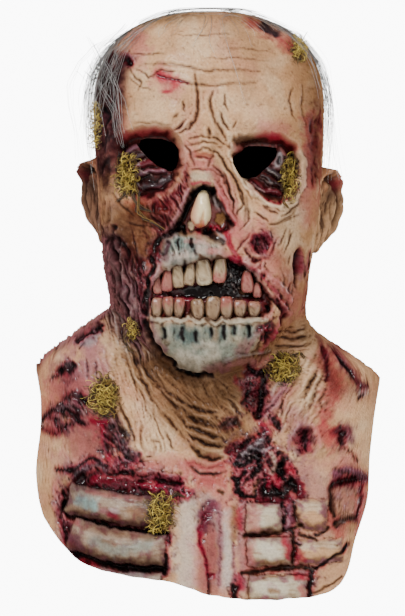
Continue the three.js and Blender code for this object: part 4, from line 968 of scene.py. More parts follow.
# Torn flesh in and round the eye sockets.
EYE_MARKS = (
    Mark(Paint.BLACK, 0.75, 9, ((-58, -138), (-44, -142)), gloss=0.6),
    Mark(Paint.CHARCOAL, 0.85, 7, ((-66, -117), (-60, -128)), height=2.0, gloss=0.6),
    Mark(Paint.CRIMSON, 0.55, 4.5, ((-72, -106), (-60, -101.5), (-45, -100), (-32, -102)), gloss=0.2),
    Mark(Paint.PINK, 0.45, 3, ((-76, -112), (-78, -125), (-77, -136))),
    Mark(Paint.PLUM, 0.8, 4, ((-70, -119), (-62, -114), (-56, -112)), height=4.5, gloss=0.8),
    Mark(Paint.CHARCOAL, 0.85, 3.8, ((-64, -124), (-56, -120), (-50, -119)), height=5.0, gloss=0.8),
    Mark(Paint.MAROON, 0.85, 3.8, ((-60, -130), (-52, -126), (-44, -125)), height=5.0, gloss=0.8),
    Mark(Paint.PLUM, 0.8, 3.4, ((-58, -136), (-48, -132), (-36, -132)), height=5.0, gloss=0.8),
    Mark(Paint.CHARCOAL, 0.85, 4.2, ((-52, -145), (-40, -144), (-32, -138)), height=4.5, gloss=0.8),
    # The next five thin pale and grey lines along the wet folds are painted highlights.
    Mark(Paint.LIGHT, 0.6, 0.9, ((-62, -118), (-57, -115.5), (-52, -117)), height=0.8, gloss=1.0),
    Mark(Paint.LIGHT, 0.55, 0.9, ((-59, -127), (-53, -124), (-49, -121)), height=0.8, gloss=1.0),
    Mark(Paint.LIGHT, 0.6, 0.9, ((-60, -131), (-54, -132), (-46, -136)), height=0.8, gloss=1.0),
    Mark(Paint.GREY, 0.6, 1.4, ((-64, -137), (-58, -143), (-54, -147)), height=1.0, gloss=1.0),
    Mark(Paint.GREY, 0.5, 1.2, ((-44, -142), (-38, -140)), height=0.8, gloss=1.0),
    Mark(Paint.MAROON, 0.8, 4, ((-66, -147), (-52, -151), (-38, -146)), height=1.0),
    Mark(Paint.UMBER, 0.9, 6, ((23, -108), (32, -106), (42, -107))),
    Mark(Paint.RED, 0.85, 5, ((52, -105), (62, -108), (70, -115)), height=0.8, gloss=0.4),
    Mark(Paint.CRIMSON, 0.7, 3.4, ((40, -104), (50, -103.5), (58, -104))),
    Mark(Paint.PINK, 0.8, 4, ((21, -112), (24, -115), (26, -113)), height=9.0),
    Mark(Paint.GREY, 0.85, 5.4, ((59, -119), (57, -127)), height=7.0, gloss=0.9),
    Mark(Paint.PINK, 0.8, 2.6, ((59, -115), (64, -119), (66, -125)), height=3.0, gloss=0.6),
    Mark(Paint.BLACK, 0.9, 2.4, ((58, -122), (57, -125)), height=-2.0, gloss=0.9),
    Mark(Paint.CHARCOAL, 0.9, 4, ((48, -130), (56, -134), (62, -138)), height=5.0, gloss=0.9),
    Mark(Paint.BLACK, 0.9, 4, ((44, -136), (52, -141), (60, -145)), height=4.5, gloss=0.9),
    Mark(Paint.MAROON, 0.85, 4, ((36, -142), (46, -148), (58, -151)), height=4.5, gloss=0.8),
    # The next four thin pale lines along the wet folds are painted highlights.
    Mark(Paint.LIGHT, 0.75, 1.0, ((49, -132), (54, -134), (58, -138)), height=1.0, gloss=1.0),
    Mark(Paint.LIGHT, 0.75, 1.0, ((42, -138), (47, -141), (53, -142)), height=1.0, gloss=1.0),
    Mark(Paint.LIGHT, 0.6, 0.9, ((36, -142), (40, -146), (47, -149)), height=1.0, gloss=1.0),
    Mark(Paint.LIGHT, 0.5, 0.8, ((50, -146), (56, -147), (61, -147)), height=0.8, gloss=1.0),
    Mark(Paint.CRIMSON, 0.8, 2.4, ((34, -147), (44, -154), (56, -159), (66, -155), (73, -146)), height=0.6, gloss=0.4),
    Mark(Paint.PALE, 0.8, 3.4, ((20, -124), (26, -136), (36, -149), (48, -159.5), (60, -162.5), (71, -157), (77, -145),
         (78, -128), (75, -117)), height=2.4, sharp=0.35),
    Mark(Paint.PALE, 0.7, 3.4, ((18, -120), (19, -112), (17, -102)), height=1.4),
)

# Bone, gums and lips round the teeth.
JAW_MARKS = (
    Mark(Paint.BLACK, 0.97, 4.5, ((-42, -231), (-10, -227), (8, -222), (14, -207), (26, -208), (36, -220), (47, -238),
         (20, -238), (-38, -238)), gloss=0.15, closed=True),
    Mark(Paint.REDBROWN, 0.8, 3, ((-44, -250), (-20, -251), (20, -251), (44, -249)), height=0.8),
    Mark(Paint.CRIMSON, 0.6, 2.5, ((-42, -236), (-24, -236.5), (-12, -238)), height=0.8, gloss=0.4),
    Mark(Paint.TEAL, 0.85, 9, ((-38, -186), (-24, -182), (-10, -184), (6, -190), (14, -198), (12, -206), (-2, -205),
         (-20, -209), (-34, -214), (-40, -204)), height=2.0, closed=True),
    Mark(Paint.WHITE, 0.7, 6, ((-30, -200), (-18, -202), (-6, -199))),
    Mark(Paint.DEEP_TEAL, 0.4, 5, ((-34, -196), (-28, -206), (-18, -207))),
    Mark(Paint.MAUVE, 0.35, 8, ((-34, -206), (-10, -196), (8, -200))),
    Fibres(Paint.DEEP_TEAL, Paint.WHITE, 0.4, 0.6, 2.8, 20, -6, 4,
           ((-36, -186), (-22, -183), (-8, -186), (8, -192), (12, -204), (-4, -205), (-20, -209), (-34, -212))),
    Mark(Paint.DEEP_TEAL, 0.7, 3.4, ((-25, -190), (-23, -200)), height=-1.6, sharp=0.0),
    Mark(Paint.BLACK, 0.8, 1.5, ((-24.5, -190), (-23.5, -197)), height=-1.4),
    Mark(Paint.DEEP_TEAL, 0.7, 4.2, ((-14, -188), (-13, -197)), height=-1.6, sharp=0.0),
    Mark(Paint.BLACK, 0.9, 2.1, ((-14, -189), (-13.5, -194)), height=-2.4),
    Mark(Paint.PLUM, 0.8, 3.2, ((-33, -190), (-35, -204)), height=-1.6, sharp=0.0),
    Mark(Paint.BROWN, 0.6, 3.6, ((-21, -184), (-8, -186), (0, -190)), sharp=0.0),
    Mark(Paint.PINK, 0.75, 6, ((3, -198), (10, -198), (16, -204)), height=1.0),
    Mark(Paint.PINK, 0.5, 3.2, ((-18, -190), (-6, -191), (0, -193)), height=0.6),
    Mark(Paint.MAUVE, 0.7, 4.5, ((-41, -214), (-45, -224)), height=1.5),
    Mark(Paint.WHITE, 0.75, 12, ((-24, -284), (-6, -286), (6, -280))),
    Mark(Paint.TEAL, 0.85, 9, ((-44, -256), (-20, -257), (12, -257), (44, -257), (46, -264), (38, -278), (20, -288),
         (0, -297), (-16, -296), (-32, -284), (-42, -270)), height=1.2, closed=True),
    Fibres(Paint.DEEP_TEAL, Paint.WHITE, 0.3, 0.3, 3.2, 24, 0, 4, ((-43, -257), (42, -257), (42, -266), (34, -274),
           (-30, -276), (-40, -268))),
    Fibres(Paint.GREY, Paint.WHITE, 0.25, 0.1, 5.0, 16, 0, 8, ((-36, -268), (36, -268), (24, -288), (0, -297),
           (-26, -289))),
    Mark(Paint.DEEP_TEAL, 0.6, 9, ((-26, -262), (-12, -268))),
    Mark(Paint.WHITE, 0.8, 11, ((-22, -284), (-6, -289), (4, -284))),
    Mark(Paint.WHITE, 0.55, 5, ((-12, -274), (6, -275))),
    Mark(Paint.BONE, 0.7, 8, ((22, -270), (32, -276))),
    Mark(Paint.BROWN, 0.7, 6, ((5, -256), (5, -268))),
    Mark(Paint.BROWN, 0.5, 5, ((-38, -260), (-34, -272))),
    Mark(Paint.MAUVE, 0.6, 7, ((2, -294), (14, -290))),
    Mark(Paint.MAUVE, 0.5, 7, ((34, -268), (26, -280))),
    Mark(Paint.BONE, 0.9, 2.6, ((-46, -253), (-38, -255), (-30, -252.5), (-22, -255), (-14, -252.5), (-6, -256.5),
         (0, -253), (6, -257.5), (12, -252.5), (18, -256), (24, -253), (30, -256), (38, -253.5), (48, -254)),
         height=3.4, sharp=0.35),
    Mark(Paint.PINK, 0.7, 3.2, ((44, -251), (51, -252), (53, -246)), height=2.5, gloss=0.3),
    Mark(Paint.MAROON, 0.85, 5.5, ((42, -262), (50, -258), (46, -268)), height=-1.5, gloss=0.5),
    Mark(Paint.CRIMSON, 0.6, 2.4, ((58, -254), (54, -264), (47, -273), (42, -281)), height=1.6, gloss=0.4),
    Mark(Paint.PINK, 0.75, 1.6, ((57, -257), (52, -267), (46, -275)), height=0.8, gloss=0.4),
    Mark(Paint.MAUVE, 0.6, 2.0, ((44, -262), (36, -272), (30, -280)), height=1.0),
    Mark(Paint.MAUVE, 0.6, 5, ((12, -294), (22, -290), (34, -287)), height=1.0, gloss=0.3),
    Mark(Paint.GREY, 0.6, 2.2, ((12, -288), (24, -284), (38, -282), (50, -279)), height=1.4),
    Mark(Paint.MAROON, 0.85, 6, ((20, -206), (28, -209), (38, -218)), height=-1.0, gloss=0.5),
    Mark(Paint.CRIMSON, 0.8, 4, ((18, -204), (27, -206)), height=0.8, gloss=0.5),
    Mark(Paint.BLACK, 0.9, 2.8, ((20, -208), (30, -213), (40, -223), (50, -234), (60, -245)), height=-3.4),
    Mark(Paint.PINK, 0.85, 4.2, ((30, -207), (40, -211), (50, -218), (60, -228), (66, -238)), height=3.4, gloss=0.3),
    Mark(Paint.CRIMSON, 0.6, 2.0, ((28, -208), (38, -213), (47, -222), (56, -232), (64, -244)), height=1.0, gloss=0.5),
    Mark(Paint.PINK, 0.75, 3.6, ((38, -219), (46, -228), (56, -238), (66, -249)), height=2.4, gloss=0.3),
    Mark(Paint.MAROON, 0.75, 3.4, ((56, -240), (62, -246), (60, -256)), height=-1.5),
    Mark(Paint.MAROON, 0.8, 5, ((-36, -229), (-22, -232)), gloss=0.5),
    Mark(Paint.MAROON, 0.8, 3.5, ((-46, -232), (-44, -238)), gloss=0.4),
    Mark(Paint.BLACK, 0.85, 3.6, ((-48, -222), (-50, -236), (-50, -250)), height=-2.0),
    Mark(Paint.MAROON, 0.7, 3.6, ((30, -238), (44, -238)), gloss=0.5),
    Mark(Paint.BLACK, 0.85, 2.6, ((48, -243), (50, -248)), height=-2.0),
    Mark(Paint.BLACK, 0.95, 3.4, ((-51, -256), (-47, -268), (-38, -281), (-27, -291), (-12, -299.5),
         (4, -300)), height=-3.0),
    Mark(Paint.PLUM, 0.6, 3.4, ((-46, -256), (-42, -268), (-34, -279)), height=1.2),
)

# Dark pits between the roots of the lower teeth: x, top, bottom, half-width.
ROOT_PITS = (
    (-36, -262, -268, 2.0),
    (-21.5, -261, -270, 2.6),
    (-10.5, -264, -270, 2.8),
    (2, -261, -267, 2.4),
    (12.5, -259, -269, 2.0),
    (22, -260, -265, 1.8),
    (33, -260, -266, 2.0),
)

# Airbrushed areas of the neck and bib.
BIB_WASHES = (
    Mark(Paint.BROWN, 0.75, 26, ((-48, -285), (-30, -305), (-2, -318), (25, -308), (36, -290))),
    Mark(Paint.BROWN, 0.6, 22, ((-30, -325), (0, -345), (20, -350))),
    # A dark band just under the chin: painted shade.
    Mark(Paint.UMBER, 0.45, 10, ((-44, -280), (-28, -296), (-8, -303), (20, -300))),
    Mark(Paint.BROWN, 0.3, 12, ((-66, -262), (-58, -290), (-45, -315))),
    Mark(Paint.BROWN, 0.25, 14, ((60, -262), (75, -268))),
    Mark(Paint.PALE, 0.6, 17, ((-50, -330), (-35, -355), (-55, -360))),
    Mark(Paint.PALE, 0.4, 13, ((84, -270), (88, -300), (74, -325))),
    Mark(Paint.MAUVE, 0.75, 18, ((-118, -268), (-98, -268), (-92, -290), (-108, -305))),
    Mark(Paint.MAROON, 0.65, 3.2, ((-86, -251), (-104, -262), (-124, -276), (-140, -290))),
    Mark(Paint.CRIMSON, 0.3, 17, ((-126, -312), (-108, -316), (-132, -325))),
    Mark(Paint.MAUVE, 0.55, 26, ((-112, -300), (-98, -325), (-96, -352), (-108, -374))),
    Mark(Paint.PINK, 0.65, 16, ((-120, -310), (-104, -312))),
    Mark(Paint.PINK, 0.6, 20, ((-108, -350), (-92, -362), (-70, -375))),
    Mark(Paint.CRIMSON, 0.4, 12, ((-95, -338), (-78, -350))),
    Mark(Paint.PLUM, 0.75, 9, ((-80, -335), (-72, -352), (-64, -366))),
    Mark(Paint.PINK, 0.6, 12, ((-60, -373), (-30, -372), (0, -374), (20, -372))),
    Mark(Paint.CRIMSON, 0.4, 4.5, ((-16, -371), (0, -376), (15, -371), (30, -361), (42, -350), (52, -337))),
    Mark(Paint.PINK, 0.7, 14, ((62, -312), (50, -330))),
    Mark(Paint.CRIMSON, 0.5, 13, ((96, -285), (104, -305), (96, -330))),
    Mark(Paint.RED, 0.55, 13, ((94, -345), (102, -352))),
    Mark(Paint.MAUVE, 0.6, 14, ((70, -332), (78, -345))),
    Mark(Paint.PLUM, 0.65, 7, ((114, -342), (117, -354))),
    Mark(Paint.MAROON, 0.6, 6, ((100, -274), (116, -292), (128, -310))),
    Mark(Paint.MAROON, 0.6, 4, ((91, -266), (96, -285), (99, -303))),
    Mark(Paint.PINK, 0.6, 17, ((112, -372), (120, -385))),
    Mark(Paint.MAUVE, 0.5, 18, ((80, -378), (92, -400))),
    Mark(Paint.PINK, 0.7, 24, ((0, -388), (10, -410), (0, -440), (6, -470))),
    Mark(Paint.LIGHT, 0.6, 15, ((-16, -405), (-18, -440), (-18, -470))),
    Mark(Paint.LIGHT, 0.5, 10, ((0, -400), (16, -440), (14, -470))),
    Mark(Paint.PINK, 0.5, 10, ((-4, -428), (-5, -470))),
    Mark(Paint.CRIMSON, 0.3, 10, ((-8, -385), (12, -384))),
    Mark(Paint.PINK, 0.5, 7, ((-124, -388), (-122, -410), (-116, -428))),
    Mark(Paint.MAUVE, 0.6, 16, ((62, -405), (66, -440), (72, -470))),
    Mark(Paint.MAUVE, 0.7, 8, ((29, -404), (28, -440), (29, -472))),
    Mark(Paint.PINK, 0.6, 15, ((84, -415), (90, -425))),
    Mark(Paint.RED, 0.45, 9, ((98, -412), (108, -430))),
    Mark(Paint.SKIN, 0.7, 18, ((100, -455), (100, -470))),
    Mark(Paint.PALE, 0.3, 12, ((132, -330), (132, -370))),
)

# Stringy skin of the neck.
BIB_FIBRES = (
    Fibres(Paint.UMBER, Paint.SKIN, 0.35, 0.9, 6.0, 60, -35, 16, ((-62, -270), (-40, -285), (0, -300), (28, -300),
           (30, -345), (5, -362), (-15, -350), (-52, -325))),
    Fibres(Paint.BROWN, Paint.PALE, 0.35, 0.4, 2.6, 30, -38, 14, ((-72, -262), (-52, -275), (-30, -300), (28, -305),
           (30, -345), (5, -365), (-20, -358), (-62, -325))),
    Fibres(Paint.BROWN, Paint.PALE, 0.4, 0.4, 2.4, 40, -14, 14, ((-98, -300), (-66, -270), (-30, -345), (-30, -368),
           (-66, -366), (-84, -345))),
    Fibres(Paint.BROWN, Paint.PALE, 0.4, 0.4, 2.2, 36, 28, 12, ((56, -285), (88, -262), (104, -275), (100, -330),
           (64, -352),
           (44, -335))),
    Fibres(Paint.BROWN, Paint.PALE, 0.35, 0.3, 2.6, 20, 80, 14, ((-134, -350), (-108, -352), (-104, -372), (-124, -385),
           (-134, -420), (-140, -380))),
    Fibres(Paint.BROWN, Paint.PALE, 0.45, 0.9, 5.0, 30, 18, 12, ((84, -262), (98, -275), (104, -330), (70, -345),
           (56, -330), (74, -310))),
    Fibres(Paint.BROWN, Paint.PALE, 0.3, 0.6, 5.0, 40, -8, 12, ((-88, -252), (-66, -252), (-62, -300), (-80, -330),
           (-98, -320), (-96, -280))),
    Fibres(Paint.BROWN, Paint.ORANGE, 0.55, 0.8, 3.4, 26, 82, 6, ((52, -258), (82, -256), (84, -280), (54, -284))),
)

NECK_CREASES = (
    Crease(2.0, 1.5, ((-66, -272), (-60, -290), (-50, -310), (-38, -330), (-22, -347), (-12, -358)), paint=Paint.BROWN),
    Crease(1.8, 1.4, ((-56, -285), (-46, -303), (-30, -322), (-12, -334)), cover=0.5),
    Crease(1.5, 1.2, ((-48, -292), (-34, -312), (-14, -325), (6, -329)), cover=0.5),
    Crease(1.4, 1.0, ((-60, -298), (-52, -306), (-44, -322)), cover=0.5),
    Crease(1.2, 1.0, ((-70, -268), (-66, -290), (-58, -312)), cover=0.5),
    Crease(1.6, 1.8, ((-17, -325), (-6, -329), (8, -330))),
    Crease(2.0, 2.6, ((-18, -333), (-8, -337), (4, -341), (10, -342)), cover=0.9),
    Crease(2.0, 2.6, ((-17, -341), (-7, -345), (5, -350), (11, -350)), cover=0.9),
    Crease(2.0, 2.6, ((-15, -349), (-5, -354), (6, -358), (13, -357)), cover=0.9),
    Crease(2.2, 2.4, ((-14, -357), (-6, -365), (4, -368), (12, -366)), cover=0.9),
    Crease(1.4, 1.2, ((16, -318), (26, -330), (20, -342)), cover=0.5),
    Crease(1.0, 0.9, ((-35, -345), (-28, -361))),
    Crease(1.0, 0.8, ((-51, -366), (-45, -366.5))),
    Crease(1.4, 1.0, ((-46, -352), (-40, -354)), cover=0.6),
    Crease(1.6, 1.8, ((-15, -373), (-8, -379), (4, -380.5), (14, -378)), paint=Paint.BLACK, cover=0.9),
    Crease(1.4, 1.3, ((-100, -287), (-98, -302)), paint=Paint.PLUM),
    Crease(1.4, 1.3, ((-93, -288), (-91, -301)), paint=Paint.PLUM),
    Crease(2.4, 2.4, ((-78, -326), (-72, -342), (-63, -354)), paint=Paint.BLACK),
    Crease(2.0, 2.0, ((-72, -323), (-66, -338), (-60, -352))),
    Crease(1.2, 1.0, ((56, -262), (68, -264), (80, -261)), cover=0.6),
    Crease(1.2, 1.0, ((56, -268), (70, -270), (82, -268)), cover=0.6),
    Crease(1.2, 1.0, ((54, -275), (66, -275), (80, -276)), cover=0.6),
    Crease(1.6, 1.6, ((91, -293), (84, -305), (79, -318)), cover=0.6),
    Crease(1.6, 1.6, ((95, -298), (88, -312), (82, -330)), cover=0.6),
    Crease(1.4, 1.3, ((97, -310), (92, -322), (96, -328), (99, -318)), cover=0.5),
    Crease(1.4, 1.2, ((61, -318), (60, -332)), cover=0.5),
    Crease(1.4, 1.2, ((38, -338), (50, -328), (64, -310)), paint=Paint.PLUM),
)

# Wounds of the neck and of the bib above the ribs.
NECK_WOUNDS = (
    Mark(Paint.MAROON, 0.85, 8, ((34, -298), (36, -312), (38, -322)), height=-1.0, gloss=0.5),
    Mark(Paint.BLACK, 0.95, 4.4, ((44, -296), (45, -310), (44, -320), (41, -333)), height=-3.6, gloss=0.4),
    Mark(Paint.BLACK, 0.8, 3, ((28, -322), (34, -314)), height=-1.2),
    Mark(Paint.PINK, 0.6, 3, ((36, -300), (38, -308), (35, -318)), height=1.0, gloss=0.6),
    Mark(Paint.CRIMSON, 0.6, 6, ((24, -305), (31, -307))),
    Mark(Paint.MAUVE, 0.75, 6, ((64, -308), (56, -318), (46, -332)), height=2.4),
    Mark(Paint.LIGHT, 0.5, 3, ((58, -306), (52, -314)), height=0.8),
    Mark(Paint.PINK, 0.8, 5.0, ((36, -291), (44, -288), (52, -286)), height=3.0, gloss=0.2),
    Mark(Paint.ORANGE, 0.4, 3, ((40, -292), (47, -290)), height=0.6),
    Mark(Paint.BLACK, 0.9, 3.6, ((33, -292), (40, -299), (48, -296)), height=-2.4),
    Mark(Paint.BLACK, 0.7, 6, ((13, -340), (21, -338)), height=-1.4),
    Mark(Paint.BLACK, 0.9, 3.8, ((-108, -271), (-103, -267), (-96, -264), (-88, -258)), height=-3.0),
    Mark(Paint.BLACK, 0.9, 3.0, ((-91, -260), (-88, -263)), height=-1.2),
    Mark(Paint.GREY, 0.7, 4, ((-104, -274), (-96, -271), (-90, -266)), height=1.6),
    Mark(Paint.CHARCOAL, 0.6, 2, ((-106, -277), (-101, -273)), height=-1.0),
    Mark(Paint.BLACK, 0.92, 5.5, ((-122, -296), (-116, -293), (-111, -293)), height=-3.6),
    Mark(Paint.CHARCOAL, 0.7, 4, ((-113, -298), (-110, -292)), height=-1.0),
    Mark(Paint.BLACK, 0.8, 2.2, ((-122, -299), (-128, -302)), height=-1.0),
    Mark(Paint.BLACK, 0.85, 3.2, ((-118, -319), (-110, -315), (-102, -318), (-106, -324)), height=1.6),
    Mark(Paint.GREY, 0.6, 3.4, ((-118, -323), (-110, -322), (-104, -330)), height=1.4),
    Mark(Paint.BLACK, 0.92, 5, ((-104, -319), (-100, -322)), height=-3.6, gloss=0.3),
    Mark(Paint.BLACK, 0.92, 3.4, ((-136, -336), (-128, -329), (-116, -328), (-108, -334), (-103, -338)), height=-3.0),
    Mark(Paint.CHARCOAL, 0.8, 3, ((-124, -327), (-114, -325), (-106, -328)), height=1.4),
    Mark(Paint.BLACK, 0.85, 3, ((-124, -336), (-120, -342), (-112, -341), (-108, -336)), height=-2.4),
    Mark(Paint.PINK, 0.7, 5, ((-130, -337), (-126, -341)), height=1.2),
    Mark(Paint.MAROON, 0.7, 4, ((-136, -345), (-126, -347), (-118, -344)), height=-1.0),
    Mark(Paint.CRIMSON, 0.75, 4, ((-96, -337), (-84, -339))),
    Mark(Paint.BLACK, 0.75, 7.5, ((-79, -345), (-75, -355), (-69, -362)), height=-1.8),
    Mark(Paint.GREY, 0.5, 2.6, ((-76, -348), (-70, -358), (-64, -366)), height=1.4),
    Mark(Paint.CRIMSON, 0.85, 3.0, ((-86, -342), (-85, -354), (-81, -368)), height=1.4, gloss=0.3),
    Mark(Paint.LIGHT, 0.7, 1.6, ((-88, -364), (-85, -366)), height=0.6, gloss=0.8),
    Mark(Paint.PLUM, 0.7, 8, ((-74, -372), (-60, -370)), height=0.6),
    Mark(Paint.BLACK, 0.6, 2, ((-57, -364), (-55, -370)), height=-1.0),
    Mark(Paint.UMBER, 0.7, 8, ((80, -347), (79, -360)), height=-3.0, sharp=0.0),
    Mark(Paint.MAUVE, 0.6, 12, ((80, -348), (79, -359)), height=-1.6, sharp=0.2),
    Mark(Paint.CHARCOAL, 0.8, 4.5, ((80, -346), (79, -358)), height=-1.4, sharp=0.0),
    Mark(Paint.PINK, 0.7, 3.2, ((84, -340), (91, -348), (92, -358)), height=1.6),
    Mark(Paint.MAUVE, 0.7, 3.2, ((76, -340), (68, -350), (66, -360)), height=1.4),
    Mark(Paint.BLACK, 0.9, 4, ((54, -335), (57, -343)), height=-3.0),
    Mark(Paint.CRIMSON, 0.7, 4, ((44, -340), (50, -346)), height=0.8, gloss=0.4),
    Mark(Paint.BLACK, 0.9, 3.6, ((109, -349), (110, -355)), height=-3.0),
    Mark(Paint.MAROON, 0.75, 6, ((104, -346), (112, -345)), height=-1.0),
    Mark(Paint.UMBER, 0.85, 2.0, ((111, -358), (118, -363), (123, -371)), height=-1.2),
    Mark(Paint.MAROON, 0.85, 3.4, ((102, -276), (110, -288), (118, -299)), height=-2.0),
    Mark(Paint.CHARCOAL, 0.85, 2.6, ((106, -283), (114, -294), (120, -303)), height=-1.8),
    Mark(Paint.MAROON, 0.85, 4.5, ((120, -302), (127, -310), (132, -308)), height=-2.0, gloss=0.6),
    Mark(Paint.LIGHT, 0.7, 2.6, ((125, -314), (130, -314)), height=1.6, gloss=0.5),
    Mark(Paint.BLACK, 0.8, 2, ((123, -319), (127, -316)), height=-1.2),
    Mark(Paint.MAROON, 0.75, 3, ((95, -276), (98, -292), (97, -304)), height=-1.8),
)

# Torn edges, muscle and gaps of the left rib window, then of the right one.
RIB_WOUNDS = (
    Mark(Paint.REDBROWN, 0.6, 12, ((18, -352), (44, -342), (60, -360), (73, -384), (72, -402), (40, -404), (20, -398)),
         closed=True),
    Mark(Paint.PLUM, 0.6, 10, ((22, -356), (42, -350), (56, -368), (66, -388), (44, -400), (24, -392)), height=-1.0,
         closed=True),
    Mark(Paint.MAROON, 0.85, 10, ((-104, -380), (-92, -377), (-70, -380), (-40, -380), (-20, -384), (-22, -402),
         (-34, -404), (-34, -462), (-60, -464), (-95, -456), (-114, -446), (-121, -425), (-120, -396)),
         height=-7, gloss=0.3, closed=True),
    Mark(Paint.CRIMSON, 0.85, 8, ((-90, -386), (-66, -388), (-48, -391), (-38, -394)), height=1.6, gloss=0.4),
    Mark(Paint.RED, 0.6, 5, ((-82, -383), (-66, -384)), height=0.6, gloss=0.5),
    Mark(Paint.BLACK, 0.9, 5.5, ((-112, -378), (-104, -380), (-104, -388)), height=-2.0),
    Mark(Paint.CHARCOAL, 0.8, 4, ((-110, -384), (-98, -374), (-90, -372), (-82, -377)), height=2.0),
    Mark(Paint.BLACK, 0.9, 2.4, ((-124, -377), (-112, -378), (-102, -371), (-95, -367), (-86, -372),
         (-78, -377)), height=-1.8),
    Mark(Paint.PINK, 0.8, 4.4, ((-78, -375), (-66, -375), (-55, -374), (-40, -374)), height=2.4),
    Mark(Paint.PINK, 0.8, 3.4, ((-58, -379), (-46, -378), (-34, -381), (-22, -384)), height=2.4, gloss=0.3),
    Mark(Paint.GREY, 0.6, 2.4, ((-66, -383), (-58, -384), (-46, -383), (-30, -384)), height=1.4),
    Mark(Paint.MAROON, 0.95, 2.6, ((-80, -381), (-66, -380), (-56, -386), (-40, -386), (-24, -389)), height=-2.2),
    Mark(Paint.BLACK, 0.9, 1.8, ((-72, -379), (-64, -377), (-60, -380)), height=-1.4),
    Mark(Paint.PINK, 0.6, 5, ((-21, -372), (-18, -382)), height=1.6),
    Mark(Paint.CRIMSON, 0.7, 6, ((-24, -391), (-17, -396)), height=0.8, gloss=0.4),
    Mark(Paint.PINK, 0.7, 4.4, ((-124, -392), (-125, -404), (-122, -412)), height=2.6, gloss=0.2),
    Mark(Paint.BLACK, 0.8, 2.2, ((-118, -394), (-118, -406), (-120, -416)), height=-2.0),
    Mark(Paint.MAROON, 0.8, 3, ((-120, -418), (-116, -430), (-110, -440)), height=-1.4),
    Mark(Paint.BLACK, 0.7, 2.2, ((-118, -424), (-114, -434)), height=-1.4),
    Mark(Paint.BLACK, 0.95, 3.8, ((-118, -404), (-114, -415), (-98, -420), (-78, -425), (-55, -427),
         (-36, -428)), height=-4.5),
    Mark(Paint.BLACK, 0.95, 5.0, ((-106, -447), (-95, -451), (-75, -456), (-50, -458), (-35, -457)), height=-4.5),
    Mark(Paint.BLACK, 0.9, 2.8, ((-34, -446), (-35, -460)), height=-2.5),
    Mark(Paint.MAROON, 0.8, 2.4, ((-34, -428), (-31, -436)), height=-1.4),
)

# Ribs and other bone of the chest: the middle line, half-height, how far it stands out in mm, and its paint.
BONES = (
    ("left upper", ((-115, -400), (-94, -404), (-70, -409), (-36, -412)), 12.8, 10.0, Paint.BONE),
    ("left middle", ((-113, -428), (-92, -435), (-70, -440), (-35, -442)), 13.6, 10.0, Paint.BONE),
    ("left lower", ((-98, -461), (-75, -467), (-38, -468)), 7.5, 8.0, Paint.LIGHT),
    ("right upper", ((31, -416), (60, -416)), 12.5, 7.0, Paint.BONE),
    ("right middle", ((32, -443), (68, -443)), 11.5, 7.0, Paint.BONE),
    ("right lower", ((33, -474), (81, -474)), 11.5, 7.0, Paint.BONE),
    ("flank upper", ((72, -412), (98, -414)), 13.0, 3.0, Paint.SKIN),
    ("flank lower", ((73, -444), (110, -442)), 10.0, 3.0, Paint.SKIN),
)

